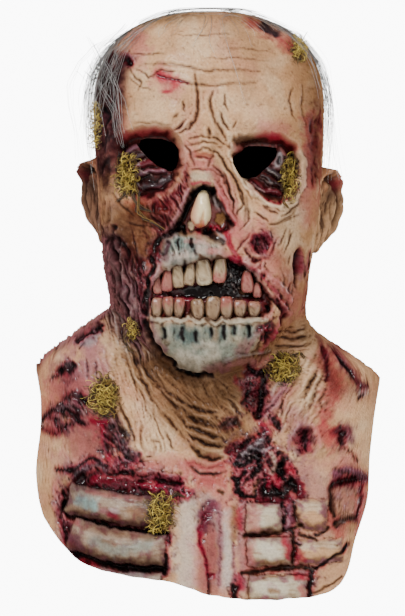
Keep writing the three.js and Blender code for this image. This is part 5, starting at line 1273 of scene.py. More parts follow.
# Paint and wear on the ribs, and the broken flesh between the right ones.
RIB_MARKS = (
    Mark(Paint.CRIMSON, 0.7, 6.5, ((-94, -386), (-78, -385), (-60, -387),
         (-42, -391)), height=2.6, sharp=0.1, gloss=0.2),
    Mark(Paint.PINK, 0.5, 2.6, ((-88, -383), (-74, -382), (-58, -384), (-44, -388)), height=0.8, sharp=0.0),
    Mark(Paint.SKY, 0.75, 8, ((-104, -402), (-94, -405))),
    Mark(Paint.MAUVE, 0.7, 6, ((-86, -410), (-78, -412))),
    Mark(Paint.PLUM, 0.7, 8, ((-46, -410), (-40, -418))),
    Mark(Paint.CRIMSON, 0.6, 5, ((-80, -413), (-74, -416))),
    Mark(Paint.LIGHT, 0.7, 3, ((-80, -408), (-74, -411)), height=1.0),
    Mark(Paint.ORANGE, 0.45, 8, ((-62, -410), (-52, -412))),
    Mark(Paint.PINK, 0.6, 3, ((-98, -394), (-80, -398), (-56, -400)), height=1.0),
    Mark(Paint.MAROON, 0.45, 8, ((-115, -428), (-110, -436), (-104, -442))),
    Mark(Paint.PLUM, 0.6, 6, ((-108, -432), (-104, -440))),
    Mark(Paint.PINK, 0.6, 4, ((-118, -415), (-108, -420))),
    Mark(Paint.TEAL, 0.6, 8, ((-92, -434), (-76, -442), (-50, -438))),
    Mark(Paint.BROWN, 0.45, 4, ((-84, -434), (-76, -438))),
    Mark(Paint.BROWN, 0.4, 5, ((-102, -424), (-70, -430), (-44, -431))),
    Mark(Paint.RED, 0.6, 4, ((-104, -451), (-90, -455))),
    Mark(Paint.GREY, 0.4, 3, ((-70, -461), (-54, -462))),
    Mark(Paint.PLUM, 0.5, 7, ((4, -405), (-2, -412), (-4, -424))),
    Mark(Paint.CRIMSON, 0.6, 3.0, ((-2, -412), (-7, -426), (-6, -438), (-2, -450), (0, -462),
         (4, -462)), height=-1.4, sharp=0.0),
    Mark(Paint.MAROON, 0.6, 1.6, ((0, -462), (1, -478)), height=-1.2),
    Mark(Paint.PINK, 0.6, 5, ((3, -425), (4, -452))),
    Mark(Paint.LIGHT, 0.3, 7, ((15, -412), (16, -470)), height=0.8, sharp=0.0),
    Mark(Paint.MAUVE, 0.6, 3.4, ((9, -404), (10, -440), (9, -470)), height=-0.8, sharp=0.0),
    Mark(Paint.MAUVE, 0.5, 3.0, ((21, -436), (21, -472)), height=-0.8, sharp=0.0),
    Mark(Paint.BROWN, 0.45, 5, ((22, -408), (21, -432))),
    Mark(Paint.UMBER, 0.7, 2.2, ((9, -393), (12, -396)), height=-0.8),
    Mark(Paint.BLACK, 0.8, 4.5, ((21, -472), (22, -480)), height=-2.0),
    Mark(Paint.CRIMSON, 0.35, 5, ((25, -410), (26, -424)), sharp=0.0),
    Mark(Paint.CRIMSON, 0.35, 5, ((24, -462), (28, -472)), sharp=0.0),
    Mark(Paint.MAROON, 0.8, 8, ((22, -360), (34, -364), (48, -372), (60, -380)), height=-3.0, gloss=0.3),
    Mark(Paint.CHARCOAL, 0.6, 8, ((26, -366), (36, -362), (46, -354)), height=-1.0),
    Mark(Paint.BLACK, 0.85, 3.0, ((22, -372), (30, -373), (38, -366)), height=-2.4),
    Mark(Paint.BLACK, 0.85, 3.0, ((36, -382), (42, -376), (40, -368)), height=-2.4),
    Mark(Paint.GREY, 0.65, 2.6, ((28, -364), (36, -358), (44, -352)), height=2.2),
    Mark(Paint.GREY, 0.6, 2.2, ((38, -360), (46, -362), (52, -358)), height=1.8),
    Mark(Paint.PINK, 0.6, 3, ((44, -366), (48, -376)), height=1.6, gloss=0.3),
    Mark(Paint.BONE, 0.6, 3.6, ((52, -364), (56, -374), (52, -380)), height=1.8),
    Mark(Paint.BLACK, 0.9, 4.0, ((62, -368), (58, -376), (62, -384)), height=-3.0),
    Mark(Paint.RED, 0.75, 5, ((66, -374), (70, -380)), height=1.0, gloss=0.4),
    Mark(Paint.BLACK, 0.92, 9, ((48, -394), (58, -396), (68, -390)), height=-4.5, gloss=0.4),
    Mark(Paint.BLACK, 0.85, 4.5, ((68, -384), (72, -394)), height=-2.0),
    Mark(Paint.MAROON, 0.75, 6, ((74, -388), (76, -397))),
    Mark(Paint.RED, 0.8, 6.5, ((54, -384), (57, -388)), height=5.0, gloss=0.6),
    Mark(Paint.CRIMSON, 0.6, 3, ((50, -388), (49, -392)), height=2.0, gloss=0.5),
    Mark(Paint.BLACK, 0.85, 3.2, ((24, -384), (24, -394), (30, -398), (38, -398)), height=-2.4),
    Mark(Paint.PINK, 0.7, 5.5, ((32, -390), (34, -394)), height=3.0, gloss=0.3),
    Mark(Paint.BROWN, 0.5, 3, ((40, -386), (38, -394)), height=0.6),
    Mark(Paint.MAROON, 0.8, 3.6, ((40, -401), (56, -402), (66, -400)), height=-1.0),
    Mark(Paint.WHITE, 0.6, 8, ((44, -419),)),
    Mark(Paint.PINK, 0.55, 9, ((36, -410), (38, -424))),
    Mark(Paint.WHITE, 0.7, 9, ((46, -442), (54, -446))),
    Mark(Paint.RED, 0.7, 5, ((62, -434), (66, -440), (66, -446))),
    Mark(Paint.PINK, 0.6, 7, ((34, -440), (34, -454))),
    Mark(Paint.BROWN, 0.5, 4, ((44, -452), (60, -453))),
    Mark(Paint.WHITE, 0.6, 8, ((46, -472), (62, -476))),
    Mark(Paint.BROWN, 0.7, 3.4, ((51, -474), (56, -475))),
    Mark(Paint.RED, 0.75, 4.5, ((73, -463), (79, -465))),
    Mark(Paint.PINK, 0.75, 5, ((76, -472), (78, -478))),
    Mark(Paint.BROWN, 0.6, 1.4, ((44, -464), (56, -464)), height=-0.8),
    Mark(Paint.UMBER, 0.85, 3.6, ((30, -430), (38, -429), (55, -427), (66, -425), (76, -422)), height=-3.0, sharp=0.0),
    Mark(Paint.UMBER, 0.7, 2.4, ((75, -429), (84, -432), (88, -434)), height=-1.6, sharp=0.0),
    Mark(Paint.UMBER, 0.7, 2.4, ((88, -431), (95, -427), (98, -424)), height=-1.6, sharp=0.0),
    Mark(Paint.UMBER, 0.85, 3.6, ((28, -461), (42, -459), (58, -456), (72, -456), (88, -457)), height=-3.0, sharp=0.0),
    Mark(Paint.UMBER, 0.85, 3.2, ((69, -428), (70, -440), (69, -454)), height=-2.4, sharp=0.0),
    Mark(Paint.BLACK, 0.8, 1.6, ((70, -436), (76, -438)), height=-1.4),
    Mark(Paint.CRIMSON, 0.5, 5, ((74, -444), (78, -450))),
    Mark(Paint.BLACK, 0.85, 2.6, ((60, -404), (64, -411), (62, -420)), height=-2.4),
    Mark(Paint.PLUM, 0.75, 3.4, ((66, -406), (68, -416), (64, -424)), height=2.4, gloss=0.4),
    Mark(Paint.MAUVE, 0.7, 2.8, ((62, -408), (66, -420)), height=1.6, gloss=0.4),
    Mark(Paint.UMBER, 0.7, 2.8, ((70, -406), (73, -418), (78, -424)), height=-2.0, sharp=0.0),
    Mark(Paint.BLACK, 0.8, 2.2, ((88, -457), (98, -450), (108, -445), (114, -438)), height=-1.6),
    Mark(Paint.BLACK, 0.75, 3.2, ((85, -460), (84, -470), (83, -478)), height=-2.0),
    Mark(Paint.BROWN, 0.6, 1.6, ((86, -477), (98, -472), (109, -464)), height=-1.2),
    Mark(Paint.BROWN, 0.6, 1.6, ((104, -438), (106, -439)), height=-0.8),
    Mark(Paint.MAROON, 0.9, 5, ((104, -389), (112, -386), (122, -385), (128, -385)), height=-3.6, gloss=0.3),
    Mark(Paint.UMBER, 0.8, 3.2, ((101, -390), (100, -402), (103, -414)), height=-2.4, sharp=0.0),
    Mark(Paint.PLUM, 0.65, 4.4, ((104, -380), (114, -376), (124, -380), (129, -385)), height=2.6),
    Mark(Paint.UMBER, 0.7, 1.6, ((104, -377), (112, -379), (120, -383)), height=-1.0),
    Mark(Paint.PALE, 0.8, 10, ((112, -399), (114, -409)), height=2.4, gloss=0.2),
    Mark(Paint.PINK, 0.55, 9, ((112, -399), (114, -407)), height=1.0, gloss=0.3),
    Mark(Paint.PINK, 0.6, 3, ((118, -398), (122, -404), (120, -412)), height=0.8, gloss=0.3),
    Mark(Paint.BROWN, 0.7, 2.2, ((110, -410), (114, -411)), height=-1.0),
    Mark(Paint.UMBER, 0.85, 3.4, ((104, -421), (112, -418), (119, -416)), height=-2.4),
    Mark(Paint.MAROON, 0.7, 2.6, ((126, -390), (125, -404), (121, -420)), height=-1.4),
    Mark(Paint.PINK, 0.5, 4, ((128, -396), (126, -412), (121, -428)), height=0.8),
)

# Thin dark glazes over the finished work, from the temples down to the hem.
GLAZES = (
    Glaze(Paint.BROWN, 0.4, 16, ((-60, -4), (0, 2), (60, -4))),
    Glaze(Paint.BROWN, 0.15, 14, ((-40, -186), (-10, -190), (14, -200), (10, -214), (-38, -214)), closed=True),
    Glaze(Paint.BROWN, 0.3, 14, ((-48, -254), (48, -254), (30, -285), (0, -298), (-30, -288)), closed=True),
    Glaze(Paint.PLUM, 0.8, 12, ((-99, -30), (-78, -28), (-66, -46), (-68, -75), (-72, -110), (-80, -150), (-99, -150)),
          closed=True),
    Glaze(Paint.BROWN, 0.3, 20, ((84, -40), (90, -80), (88, -130))),
    Glaze(Paint.REDBROWN, 0.55, 16, ((-70, -158), (-45, -158), (-28, -170), (-34, -200), (-55, -215),
          (-76, -200)), closed=True),
    Glaze(Paint.PLUM, 0.35, 14, ((-92, -150), (-76, -160), (-62, -190), (-54, -225), (-56, -262), (-72, -268),
          (-88, -235),
          (-92, -190)), closed=True),
    Glaze(Paint.PINK, 0.3, 15, ((60, -205), (74, -225), (76, -250), (58, -268))),
    # Darkens the underside of the chin: painted shade under the jaw.
    Glaze(Paint.BROWN, 0.35, 14, ((-40, -290), (-10, -297), (25, -292), (48, -274))),
    Glaze(Paint.BROWN, 0.2, 18, ((-84, -262), (-66, -280), (-50, -302), (-30, -330))),
    # Darkens the throat below the chin: painted shade under the jaw.
    Glaze(Paint.BROWN, 0.35, 22, ((-38, -300), (0, -312), (34, -305), (42, -325), (30, -355), (0, -368),
          (-22, -352)), closed=True),
    Glaze(Paint.BROWN, 0.15, 20, ((78, -262), (96, -280))),
    Glaze(Paint.MAUVE, 0.35, 16, ((-128, -290), (-105, -300), (-82, -345), (-92, -372), (-125, -350)), closed=True),
    Glaze(Paint.REDBROWN, 0.4, 16, ((88, -284), (120, -300), (126, -318), (100, -318)), closed=True),
    Glaze(Paint.PLUM, 0.4, 18, ((-110, -390), (-60, -388), (-40, -420))),
    Glaze(Paint.REDBROWN, 0.3, 13, ((96, -385), (122, -390), (124, -425), (98, -430)), closed=True),
    Glaze(Paint.PLUM, 0.25, 14, ((-8, -400), (4, -430), (0, -470))),
    Glaze(Paint.MAUVE, 0.38, 14, ((-114, -396), (-38, -400), (-34, -466), (-95, -472), (-114, -440)), closed=True),
)

# What is painted last: the holes behind the nose, backed by the cast, and the wettest red.
LAST_MARKS = (
    Mark(Paint.ORANGE, 0.9, 5.2, ((9, -172),), sharp=0.6),
    Mark(Paint.PALE, 0.95, 4.2, ((-14, -176),), sharp=0.65),
    Mark(Paint.CRIMSON, 0.8, 2.2, ((2, -178), (6, -179), (8, -177)), gloss=0.9),
)

# The cut-out eye holes, as corners seen from the front.
EYE_HOLES = (
    ((-60, -108), (-50, -105.5), (-38, -106), (-28, -109.5), (-24, -115), (-23.5, -122), (-26, -130), (-30, -133.5),
     (-35, -131), (-42, -128), (-50, -121), (-56, -114)),
    ((20, -120), (27, -117), (31, -112), (45, -112), (57, -113.5), (56, -120), (50, -128), (44, -133), (42, -137),
     (35, -138), (30, -141.5), (25, -135), (20, -126)),
)

# Teeth: row, middle, top, bottom, width and how far back, in mm, and the paint that stains each.
TEETH = (
    (Row.UPPER, -41, -221, -233, 7.4, 6, Paint.CRIMSON),
    (Row.UPPER, -33, -214, -231, 9.2, 3, Paint.CRIMSON),
    (Row.UPPER, -24.5, -209, -228, 9.8, 1, Paint.BROWN),
    (Row.UPPER, -14.8, -209, -226, 9.2, 0, Paint.BROWN),
    (Row.UPPER, -3.8, -203, -226, 13.2, 0, Paint.BONE),
    (Row.UPPER, 9.8, -202, -224, 10.8, 0, Paint.RED),
    (Row.UPPER, 32, -216, -232, 9.6, 4, Paint.CRIMSON),
    (Row.UPPER, 40, -226, -236, 7.0, 7, Paint.CRIMSON),
    (Row.LOWER, -41.5, -236, -252, 9.4, 5, Paint.PINK),
    (Row.LOWER, -32, -235, -250, 9.2, 2, Paint.RED),
    (Row.LOWER, -23.5, -236, -251, 8.6, 1, Paint.RED),
    (Row.LOWER, -8.2, -237, -253, 10.6, 0, Paint.BROWN),
    (Row.LOWER, 4.0, -235, -255, 12.2, 0, Paint.BROWN),
    (Row.LOWER, 15.0, -235, -252, 10.8, 0, Paint.RED),
    (Row.LOWER, 26, -238, -250, 10.4, 2, Paint.PINK),
    (Row.LOWER, 37.6, -239, -250, 10.4, 5, Paint.PINK),
)

# Wet crumbs of flesh: the middle of each patch, its half-width and half-height in mm, how many, and their paint.
# The LIGHT crumbs are tiny pale dabs: painted highlights on the wet flesh.
CRUMBS = (
    (20, -219, 9, 11, 46, Paint.BLACK),
    (20, -222, 8, 9, 12, Paint.LIGHT),
    (6, -180, 7, 3, 9, Paint.RED),
    (36, -310, 5, 12, 22, Paint.MAROON),
    (36, -308, 4, 12, 7, Paint.LIGHT),
    (34, -368, 14, 9, 34, Paint.CHARCOAL),
    (38, -364, 13, 8, 10, Paint.LIGHT),
    (48, -265, 7, 7, 14, Paint.CRIMSON),
    (112, -402, 8, 8, 7, Paint.MAUVE),
    (54, -386, 7, 6, 12, Paint.CRIMSON),
    (-66, -352, 8, 12, 14, Paint.CHARCOAL),
)


@dataclass(frozen=True)
class Finish:
    """A painted finish: the vertex paint with fine mottling and pores, glossy where it is varnished."""

    name: str
    matt: float  # roughness where it isn't varnished
    wet: float  # roughness where it is
    mottle: float  # how far the fine mottling darkens and lightens
    grit: float  # mm across the mottles
    pore: float  # mm across the pores and fine wrinkles
    depth: float  # mm, how deep they are
    coat: float  # clear varnish where it is wet
    shine: float  # how strongly it mirrors where it isn't varnished

    def make(self) -> bpy.types.Material:
        """Build the material.

        Returns:
            The material, reading the paint and gloss attributes of its mesh.
        """
        material = bpy.data.materials.new(self.name)
        material.use_nodes = True
        tree = material.node_tree
        shader = tree.nodes["Principled BSDF"]
        shader.inputs["Coat Roughness"].default_value = 0.14
        place = add_node(tree, "ShaderNodeTexCoord")
        paint = add_node(tree, "ShaderNodeAttribute", {"attribute_name": "paint"})
        gloss = add_node(tree, "ShaderNodeAttribute", {"attribute_name": "gloss"})
        grain = add_node(tree, "ShaderNodeTexNoise", {}, {"Scale": 1 / (self.grit * MM), "Detail": 4.0})
        tree.links.new(place.outputs["Object"], grain.inputs["Vector"])
        shade = add_node(tree, "ShaderNodeMapRange", {}, {"From Min": 0.3, "From Max": 0.7, "To Min": 1 - self.mottle,
                         "To Max": 1 + self.mottle, "Value": grain.outputs["Fac"]})
        scaled = add_node(tree, "ShaderNodeVectorMath", {"operation": "SCALE"},
                          {0: paint.outputs["Color"], "Scale": shade.outputs["Result"]})
        tree.links.new(scaled.outputs["Vector"], shader.inputs["Base Color"])
        rough = add_node(tree, "ShaderNodeMapRange", {}, {"To Min": self.matt, "To Max": self.wet,
                         "Value": gloss.outputs["Fac"]})
        shader.inputs["Specular IOR Level"].default_value = self.shine
        coated = add_node(tree, "ShaderNodeMath", {"operation": "MULTIPLY"}, {0: gloss.outputs["Fac"], 1: self.coat})
        tree.links.new(coated.outputs[0], shader.inputs["Coat Weight"])
        tree.links.new(rough.outputs["Result"], shader.inputs["Roughness"])
        pores = add_node(tree, "ShaderNodeTexNoise", {}, {"Scale": 1 / (self.pore * MM), "Detail": 3.0,
                         "Vector": place.outputs["Object"]})
        bump = add_node(tree, "ShaderNodeBump", {}, {"Strength": 1.0, "Distance": self.depth * MM,
                        "Height": pores.outputs["Fac"]})
        tree.links.new(bump.outputs["Normal"], shader.inputs["Normal"])
        return material


def add_node(
    tree: bpy.types.NodeTree, kind: str, settings: dict | None = None, inputs: dict | None = None
) -> bpy.types.Node:
    """Add a node with its settings, values and links.

    Args:
        tree: The tree it goes in.
        kind: The node's type.
        settings: Its own settings.
        inputs: A value, or another node's output, for each input.

    Returns:
        The node.
    """
    node = tree.nodes.new(kind)
    for name, value in (settings or {}).items():
        setattr(node, name, value)
    for name, value in (inputs or {}).items():
        if isinstance(value, bpy.types.NodeSocket):
            tree.links.new(value, node.inputs[name])
        else:
            node.inputs[name].default_value = value
    return node


def make_piece(
    name: str,
    points: np.ndarray,
    faces: list,
    colour: np.ndarray,
    gloss: np.ndarray,
    material: bpy.types.Material,
) -> bpy.types.Object:
    """Make a painted mesh object.

    Args:
        name: The piece's name.
        points: Corners in mm, with z from the crown.
        faces: Corner indices of each face.
        colour: sRGB paint at each corner.
        gloss: Varnish at each corner.
        material: Its finish.

    Returns:
        The object, in metres in the frame of the part.
    """
    placed = (points + np.array([0, 0, CROWN])) * MM
    mesh = bpy.data.meshes.new(name)
    mesh.from_pydata(placed.tolist(), [], faces)
    mesh.polygons.foreach_set("use_smooth", np.ones(len(mesh.polygons), bool))
    layer = mesh.color_attributes.new("paint", "FLOAT_COLOR", "POINT")
    values = np.ones((len(points), 4))
    values[:, :3] = pigment(colour)
    layer.data.foreach_set("color", values.ravel())
    mesh.attributes.new("gloss", "FLOAT", "POINT").data.foreach_set("value", np.asarray(gloss, float).ravel())
    mesh.materials.append(material)
    mesh.update()
    piece = bpy.data.objects.new(name, mesh)
    bpy.context.scene.collection.objects.link(piece)
    return piece


def inside(corners: Path, x: np.ndarray, z: np.ndarray) -> np.ndarray:
    """Whether places seen from the front lie inside an outline.

    Args:
        corners: The outline.
        x: Places across.
        z: Heights.

    Returns:
        True for each place inside it.
    """
    hit = np.zeros(np.shape(x), bool)
    for (ax, az), (bx, bz) in zip(corners, corners[1:] + corners[:1]):
        if az != bz:
            hit ^= ((az > z) != (bz > z)) & (x < ax + (z - az) * (bx - ax) / (bz - az))
    return hit


def snap(corners: Path, x: np.ndarray, z: np.ndarray) -> tuple[np.ndarray, np.ndarray]:
    """The nearest places on an outline.

    Args:
        corners: The outline.
        x: Places across.
        z: Heights.

    Returns:
        Where each place moves to, across and in height.
    """
    best, bx, bz = np.full(x.shape, 1e9), x.copy(), z.copy()
    for (ax, az), (cx, cz) in zip(corners, corners[1:] + corners[:1]):
        t = np.clip(((x - ax) * (cx - ax) + (z - az) * (cz - az)) / ((cx - ax) ** 2 + (cz - az) ** 2), 0, 1)
        px, pz = ax + t * (cx - ax), az + t * (cz - az)
        away = np.hypot(x - px, z - pz)
        near = away < best
        best, bx, bz = np.where(near, away, best), np.where(near, px, bx), np.where(near, pz, bz)
    return bx, bz


def paint_canvas() -> Canvas:
    """Model and paint the whole front of the cast.

    Returns:
        The canvas, with its wash and dry-brushing done.
    """
    canvas = Canvas()
    for swelling in SWELLINGS:
        canvas.oval(*swelling)
    bent = 5 * canvas.uneven
    leather = 1 - 2.4 * np.abs(noise(((canvas.x + bent) / 8, (canvas.z + bent) / 5.5), 41, 4))
    streak = noise(((canvas.x + 5 * canvas.slow) / 18, (canvas.z + 3 * canvas.slow) / 2.2), 42, 2)
    canvas.height += 0.26 * leather + 0.11 * streak * ease(canvas.z, -150, -80)
    canvas.height += 0.6 * canvas.slow + 0.05 * canvas.speck
    for mark in HEAD_WASHES + HEAD_FIBRES + BIB_WASHES + BIB_FIBRES + HOLLOWS:
        mark.lay(canvas)
    for mark in BROW_CREASES + CHEEK_CREASES + NECK_CREASES:
        mark.lay(canvas)
    whole = canvas.colour.copy()
    for mark in HEAD_WOUNDS + NECK_WOUNDS + RIB_WOUNDS:
        mark.lay(canvas)
    for mark in RIB_MARKS:
        replace(mark, height=0.0).lay(canvas)
    canvas.ruin(whole)
    for torn in TORN_FLESH:
        torn.lay(canvas)
    for mark in NOSE_MARKS + EYE_MARKS + JAW_MARKS:
        mark.lay(canvas)
    for row, x, top, bottom, width, _, _ in TEETH:
        root = (top, top + 11) if row is Row.UPPER else (bottom - 4, bottom - 20)
        Mark(Paint.WHITE, 0.35, width * 0.6, ((x, root[0]), (x, root[1])), height=2.2, sharp=0.0).lay(canvas)
        # Dark umber round each tooth, seen in the gaps between the teeth: painted shade.
        middle = (top - width / 2, bottom + width / 2)
        Mark(Paint.UMBER, 0.9, width / 2 + 1.2, ((x, middle[0]), (x, middle[1])), height=-1.2, sharp=0.7).lay(canvas)
    for x, top, bottom, half in ROOT_PITS:
        Mark(Paint.DEEP_TEAL, 0.75, half + 2.4, ((x, top), (x, bottom)), height=-0.8, sharp=0.0).lay(canvas)
        Mark(Paint.BLACK, 0.85, half, ((x, top), (x + 0.6, bottom)), height=-1.6, sharp=0.0).lay(canvas)
    lay_bones(canvas)
    for mark in RIB_MARKS:
        mark.lay(canvas)
    lay_crumbs(canvas)
    for _, place, wide, tall, _, _ in MOSS:
        ends = ((place[0], place[1] + tall - wide), (place[0], place[1] - tall + wide))
        Mark(Paint.UMBER, 0.75, wide, ends).lay(canvas)
    canvas.calm()
    canvas.wash()
    for last in GLAZES + LAST_MARKS:
        last.lay(canvas)
    return canvas


def lay_bones(canvas: Canvas) -> None:
    """Raise the ribs out of their windows, each a rounded bar with long streaks, with a painted highlight along its top
    and painted shade under it and at its edges.

    Args:
        canvas: The canvas, changed in place.
    """
    streaks = noise((canvas.x / 26, canvas.z / 1.7), 51, 2)
    smooth = canvas.blur(canvas.height, 5)
    bruise = noise((canvas.x / 9, canvas.z / 7), 52, 3)
    for _, path, half, proud, paint in BONES:
        line = np.array(path, float)
        along = np.gradient(line, axis=0)
        aside = np.stack([-along[:, 1], along[:, 0]], -1) / np.linalg.norm(along, axis=1, keepdims=True) * half
        view, away, _ = canvas.measure(tuple(map(tuple, np.vstack([line + aside, (line - aside)[::-1]]))), 3, True)
        dome = np.sqrt(np.clip(1 - np.clip(1 + away / half, 0, 1) ** 2.4, 0, 1)) * (away < 0)
        level = ease(dome, 0, 0.3)
        canvas.height[view] += (smooth[view] - canvas.height[view] + 0.22 * streaks[view]) * level + proud * dome
        share = ease(dome, 0.1, 0.55)
        canvas.tint(view, paint, 0.92 * share)
        # Painted light and shade on each bar: a highlight along its top, shade under it and darker edges. The plum at
        # the edges and the mauve blotches are bruising, and the long streaks are stains.
        edge = 1 - np.clip(-away / half, 0, 1)
        above = (canvas.z[view] - np.interp(canvas.x[view], line[:, 0], line[:, 1])) / half * (np.ptp(line[:, 0]) > 5)
        lit = ease(above + 0.2 * bruise[view], -0.1, 0.45) * ease(-above, -0.95, -0.7)
        canvas.tint(view, Paint.WHITE, 0.6 * share * lit)
        canvas.tint(view, Paint.UMBER, 0.85 * share * ease(-above + 0.3 * bruise[view], 0.15, 0.95))
        canvas.tint(view, Paint.BROWN, 0.35 * share * ease(edge, 0.35, 1.0))
        canvas.tint(view, Paint.PLUM, 0.7 * share * ease(edge + 0.5 * bruise[view], 0.55, 1.1))
        canvas.tint(view, Paint.MAUVE, 0.5 * share * ease(bruise[view], 0.25, 0.6))
        canvas.tint(view, Paint.BROWN, 0.35 * share * ease(streaks[view], 0.1, 0.6))
        canvas.gloss[view] *= 1 - 0.8 * share


def lay_crumbs(canvas: Canvas) -> None:
    """Scatter wet crumbs of flesh over the open wounds, with tiny pale dabs among some as painted highlights.

    Args:
        canvas: The canvas, changed in place.
    """
    rng = np.random.default_rng(19)
    for x, z, wide, tall, count, paint in CRUMBS:
        for _ in range(count):
            turn, out = rng.uniform(0, 2 * math.pi), math.sqrt(rng.uniform(0, 1))
            place = (x + wide * out * math.cos(turn), z + tall * out * math.sin(turn))
            # Pale dabs are painted highlights, so they are kept tiny and flat.
            small = paint is Paint.LIGHT
            reach = rng.uniform(0.8, 1.3) if small else rng.uniform(1.3, 2.6)
            Mark(paint, 0.7, reach, (place,), height=0.3 if small else rng.uniform(0.8, 2.0), gloss=0.9).lay(canvas)


@dataclass
class CastSkin:
    """The latex cast: a fine outer skin that carries the canvas, and a plainer inner one under it."""

    canvas: Canvas
    finish: bpy.types.Material
    wall: float = 2.4
    dome_rows: int = 90
    face_rows: int = 150
    chin_rows: int = 52
    chest_rows: int = 200
    fan: float = 240.0  # mm down the columns, from where they spread to the hem
    chin_run: float = 60.0
    chest_run: float = 180.0
    points: np.ndarray = field(init=False)
    drops: np.ndarray = field(init=False)

    def __post_init__(self) -> None:
        """Lay out the grid of columns and rows, and shape both skins."""
        spans = ((-80, -48, 28), (-48, 48, 230), (48, 80, 28), (80, 280, 60))
        turns = np.concatenate([np.linspace(a, b, n, endpoint=False) for a, b, n in spans])
        self.turns = np.where(turns > 180, turns - 360, turns)
        temple = FORM.temple_drop
        dome = temple * (1 - np.cos(np.arange(1, self.dome_rows + 1) / self.dome_rows * math.pi / 2))
        face = np.linspace(temple, self.fan, self.face_rows + 1)[1:]
        chin = self.fan + self.chin_run * np.arange(1, self.chin_rows + 1) / self.chin_rows
        chest = chin[-1] + self.chest_run * np.arange(1, self.chest_rows + 1) / self.chest_rows
        self.drops = np.concatenate([dome, face, chin, chest])
        self.eye_row = self.dome_rows + 16
        self.shoulder_row = self.dome_rows + self.face_rows + self.chin_rows - 1
        self.angle, self.z = self.lay_out()
        base, normal = FORM.point(self.angle, self.z), FORM.normal(self.angle, self.z)
        ahead = -normal[..., 1]
        lean = ease(ahead, 0.3, 0.8)[..., None]
        way = normal * (1 - lean) + np.array([0, -1, 0]) * lean
        way /= np.linalg.norm(way, axis=-1, keepdims=True)
        seen = ease(ahead, 0.1, 0.45)
        self.base, self.normal, self.ahead = base, normal, ahead
        relief = seen * self.canvas.sample(self.canvas.height, base[..., 0], base[..., 2])
        folds = 1 - 2.2 * np.abs(noise(tuple(base[..., k] / (11, 11, 7)[k] for k in range(3)), 61, 4))
        x, y, z = (base[..., k] for k in range(3))
        jaw = ease(-y, -30, 0) * ease(-z, 178, 200) * ease(z, -300, -285) * ease(-x, 40, 60)
        torn = 1 - 2.4 * np.abs(noise(tuple(base[..., k] / (5, 5, 14)[k] for k in range(3)), 63, 3))
        relief += (1 - seen) * (0.5 * folds + 1.5 * jaw * torn)
        self.folds = (1 - seen) * folds
        self.jaw = (1 - seen) * jaw * torn
        self.outer = base + way * relief[..., None]
        low = self.canvas.blur(self.lowest(4.0), 2.0)
        sunk = seen * self.canvas.sample(low, base[..., 0], base[..., 2]) - 0.4 * (1 - seen)
        self.inner = self.shrunk() + way * sunk[..., None] - normal * self.wall

    def lay_out(self) -> tuple[np.ndarray, np.ndarray]:
        """The angle and height of each place of the grid.

        Returns:
            Two arrays, with a row for each drop and a column for each turn.
        """
        split = -FORM.split * FORM.face
        across = hermite(HEM[:, 0], HEM[:, 1], self.turns) * FORM.half_shoulder
        low = -FORM.face - hermite(HEM[:, 0], HEM[:, 2], self.turns) * FORM.bib
        low = low + 0.6 * noise((self.turns / 5, np.zeros(len(self.turns))), 62, 2)  # the hem is cut by hand
        column = np.radians(self.turns)
        behind = np.abs(self.turns) > 90
        end = FORM.angle_across(across, low, behind)
        fixed = (np.abs(np.abs(self.turns) - 90) < 0.5) | (np.abs(self.turns) < 0.5) | (np.abs(self.turns) > 179.5)
        end = np.where(fixed, column, end)
        drop = self.drops[:, None]
        t = np.clip((drop - self.fan) / (self.chin_run + self.chest_run), 0, 1)
        angle = column + (end - column) * t
        temple = FORM.temple_drop
        face = -temple + (drop - temple) / (self.fan - temple) * (split + temple)
        z = np.where(drop <= self.fan, face, split + (low - split) * t)
        return angle, np.where(drop <= temple, -drop, z)

    def lowest(self, reach: float) -> np.ndarray:
        """The lowest relief near each point of the canvas.

        Args:
            reach: How near, in mm.

        Returns:
            A layer of the canvas.
        """
        layer = self.canvas.height
        steps = int(reach / self.canvas.STEP)
        for axis in (0, 1):
            layer = np.min([np.roll(layer, k, axis) for k in range(-steps, steps + 1)], axis=0)
        return layer

    def shrunk(self) -> np.ndarray:
        """The plain body for the inner skin, drawn in at the crease under the jaw.

        Returns:
            A point for each place of the grid.
        """
        radius = FORM.radius(self.angle, self.z)
        near = [FORM.radius(self.angle + dx / radius, self.z + dz) for dx in (-3, 0, 3) for dz in (-3, 0, 3)]
        crease = (self.drops > self.fan) & (self.drops < self.fan + 110)
        radius = np.where(crease[:, None], np.min(near, axis=0), radius)
        return np.stack([radius * np.sin(self.angle), -radius * np.cos(self.angle), self.z], -1)

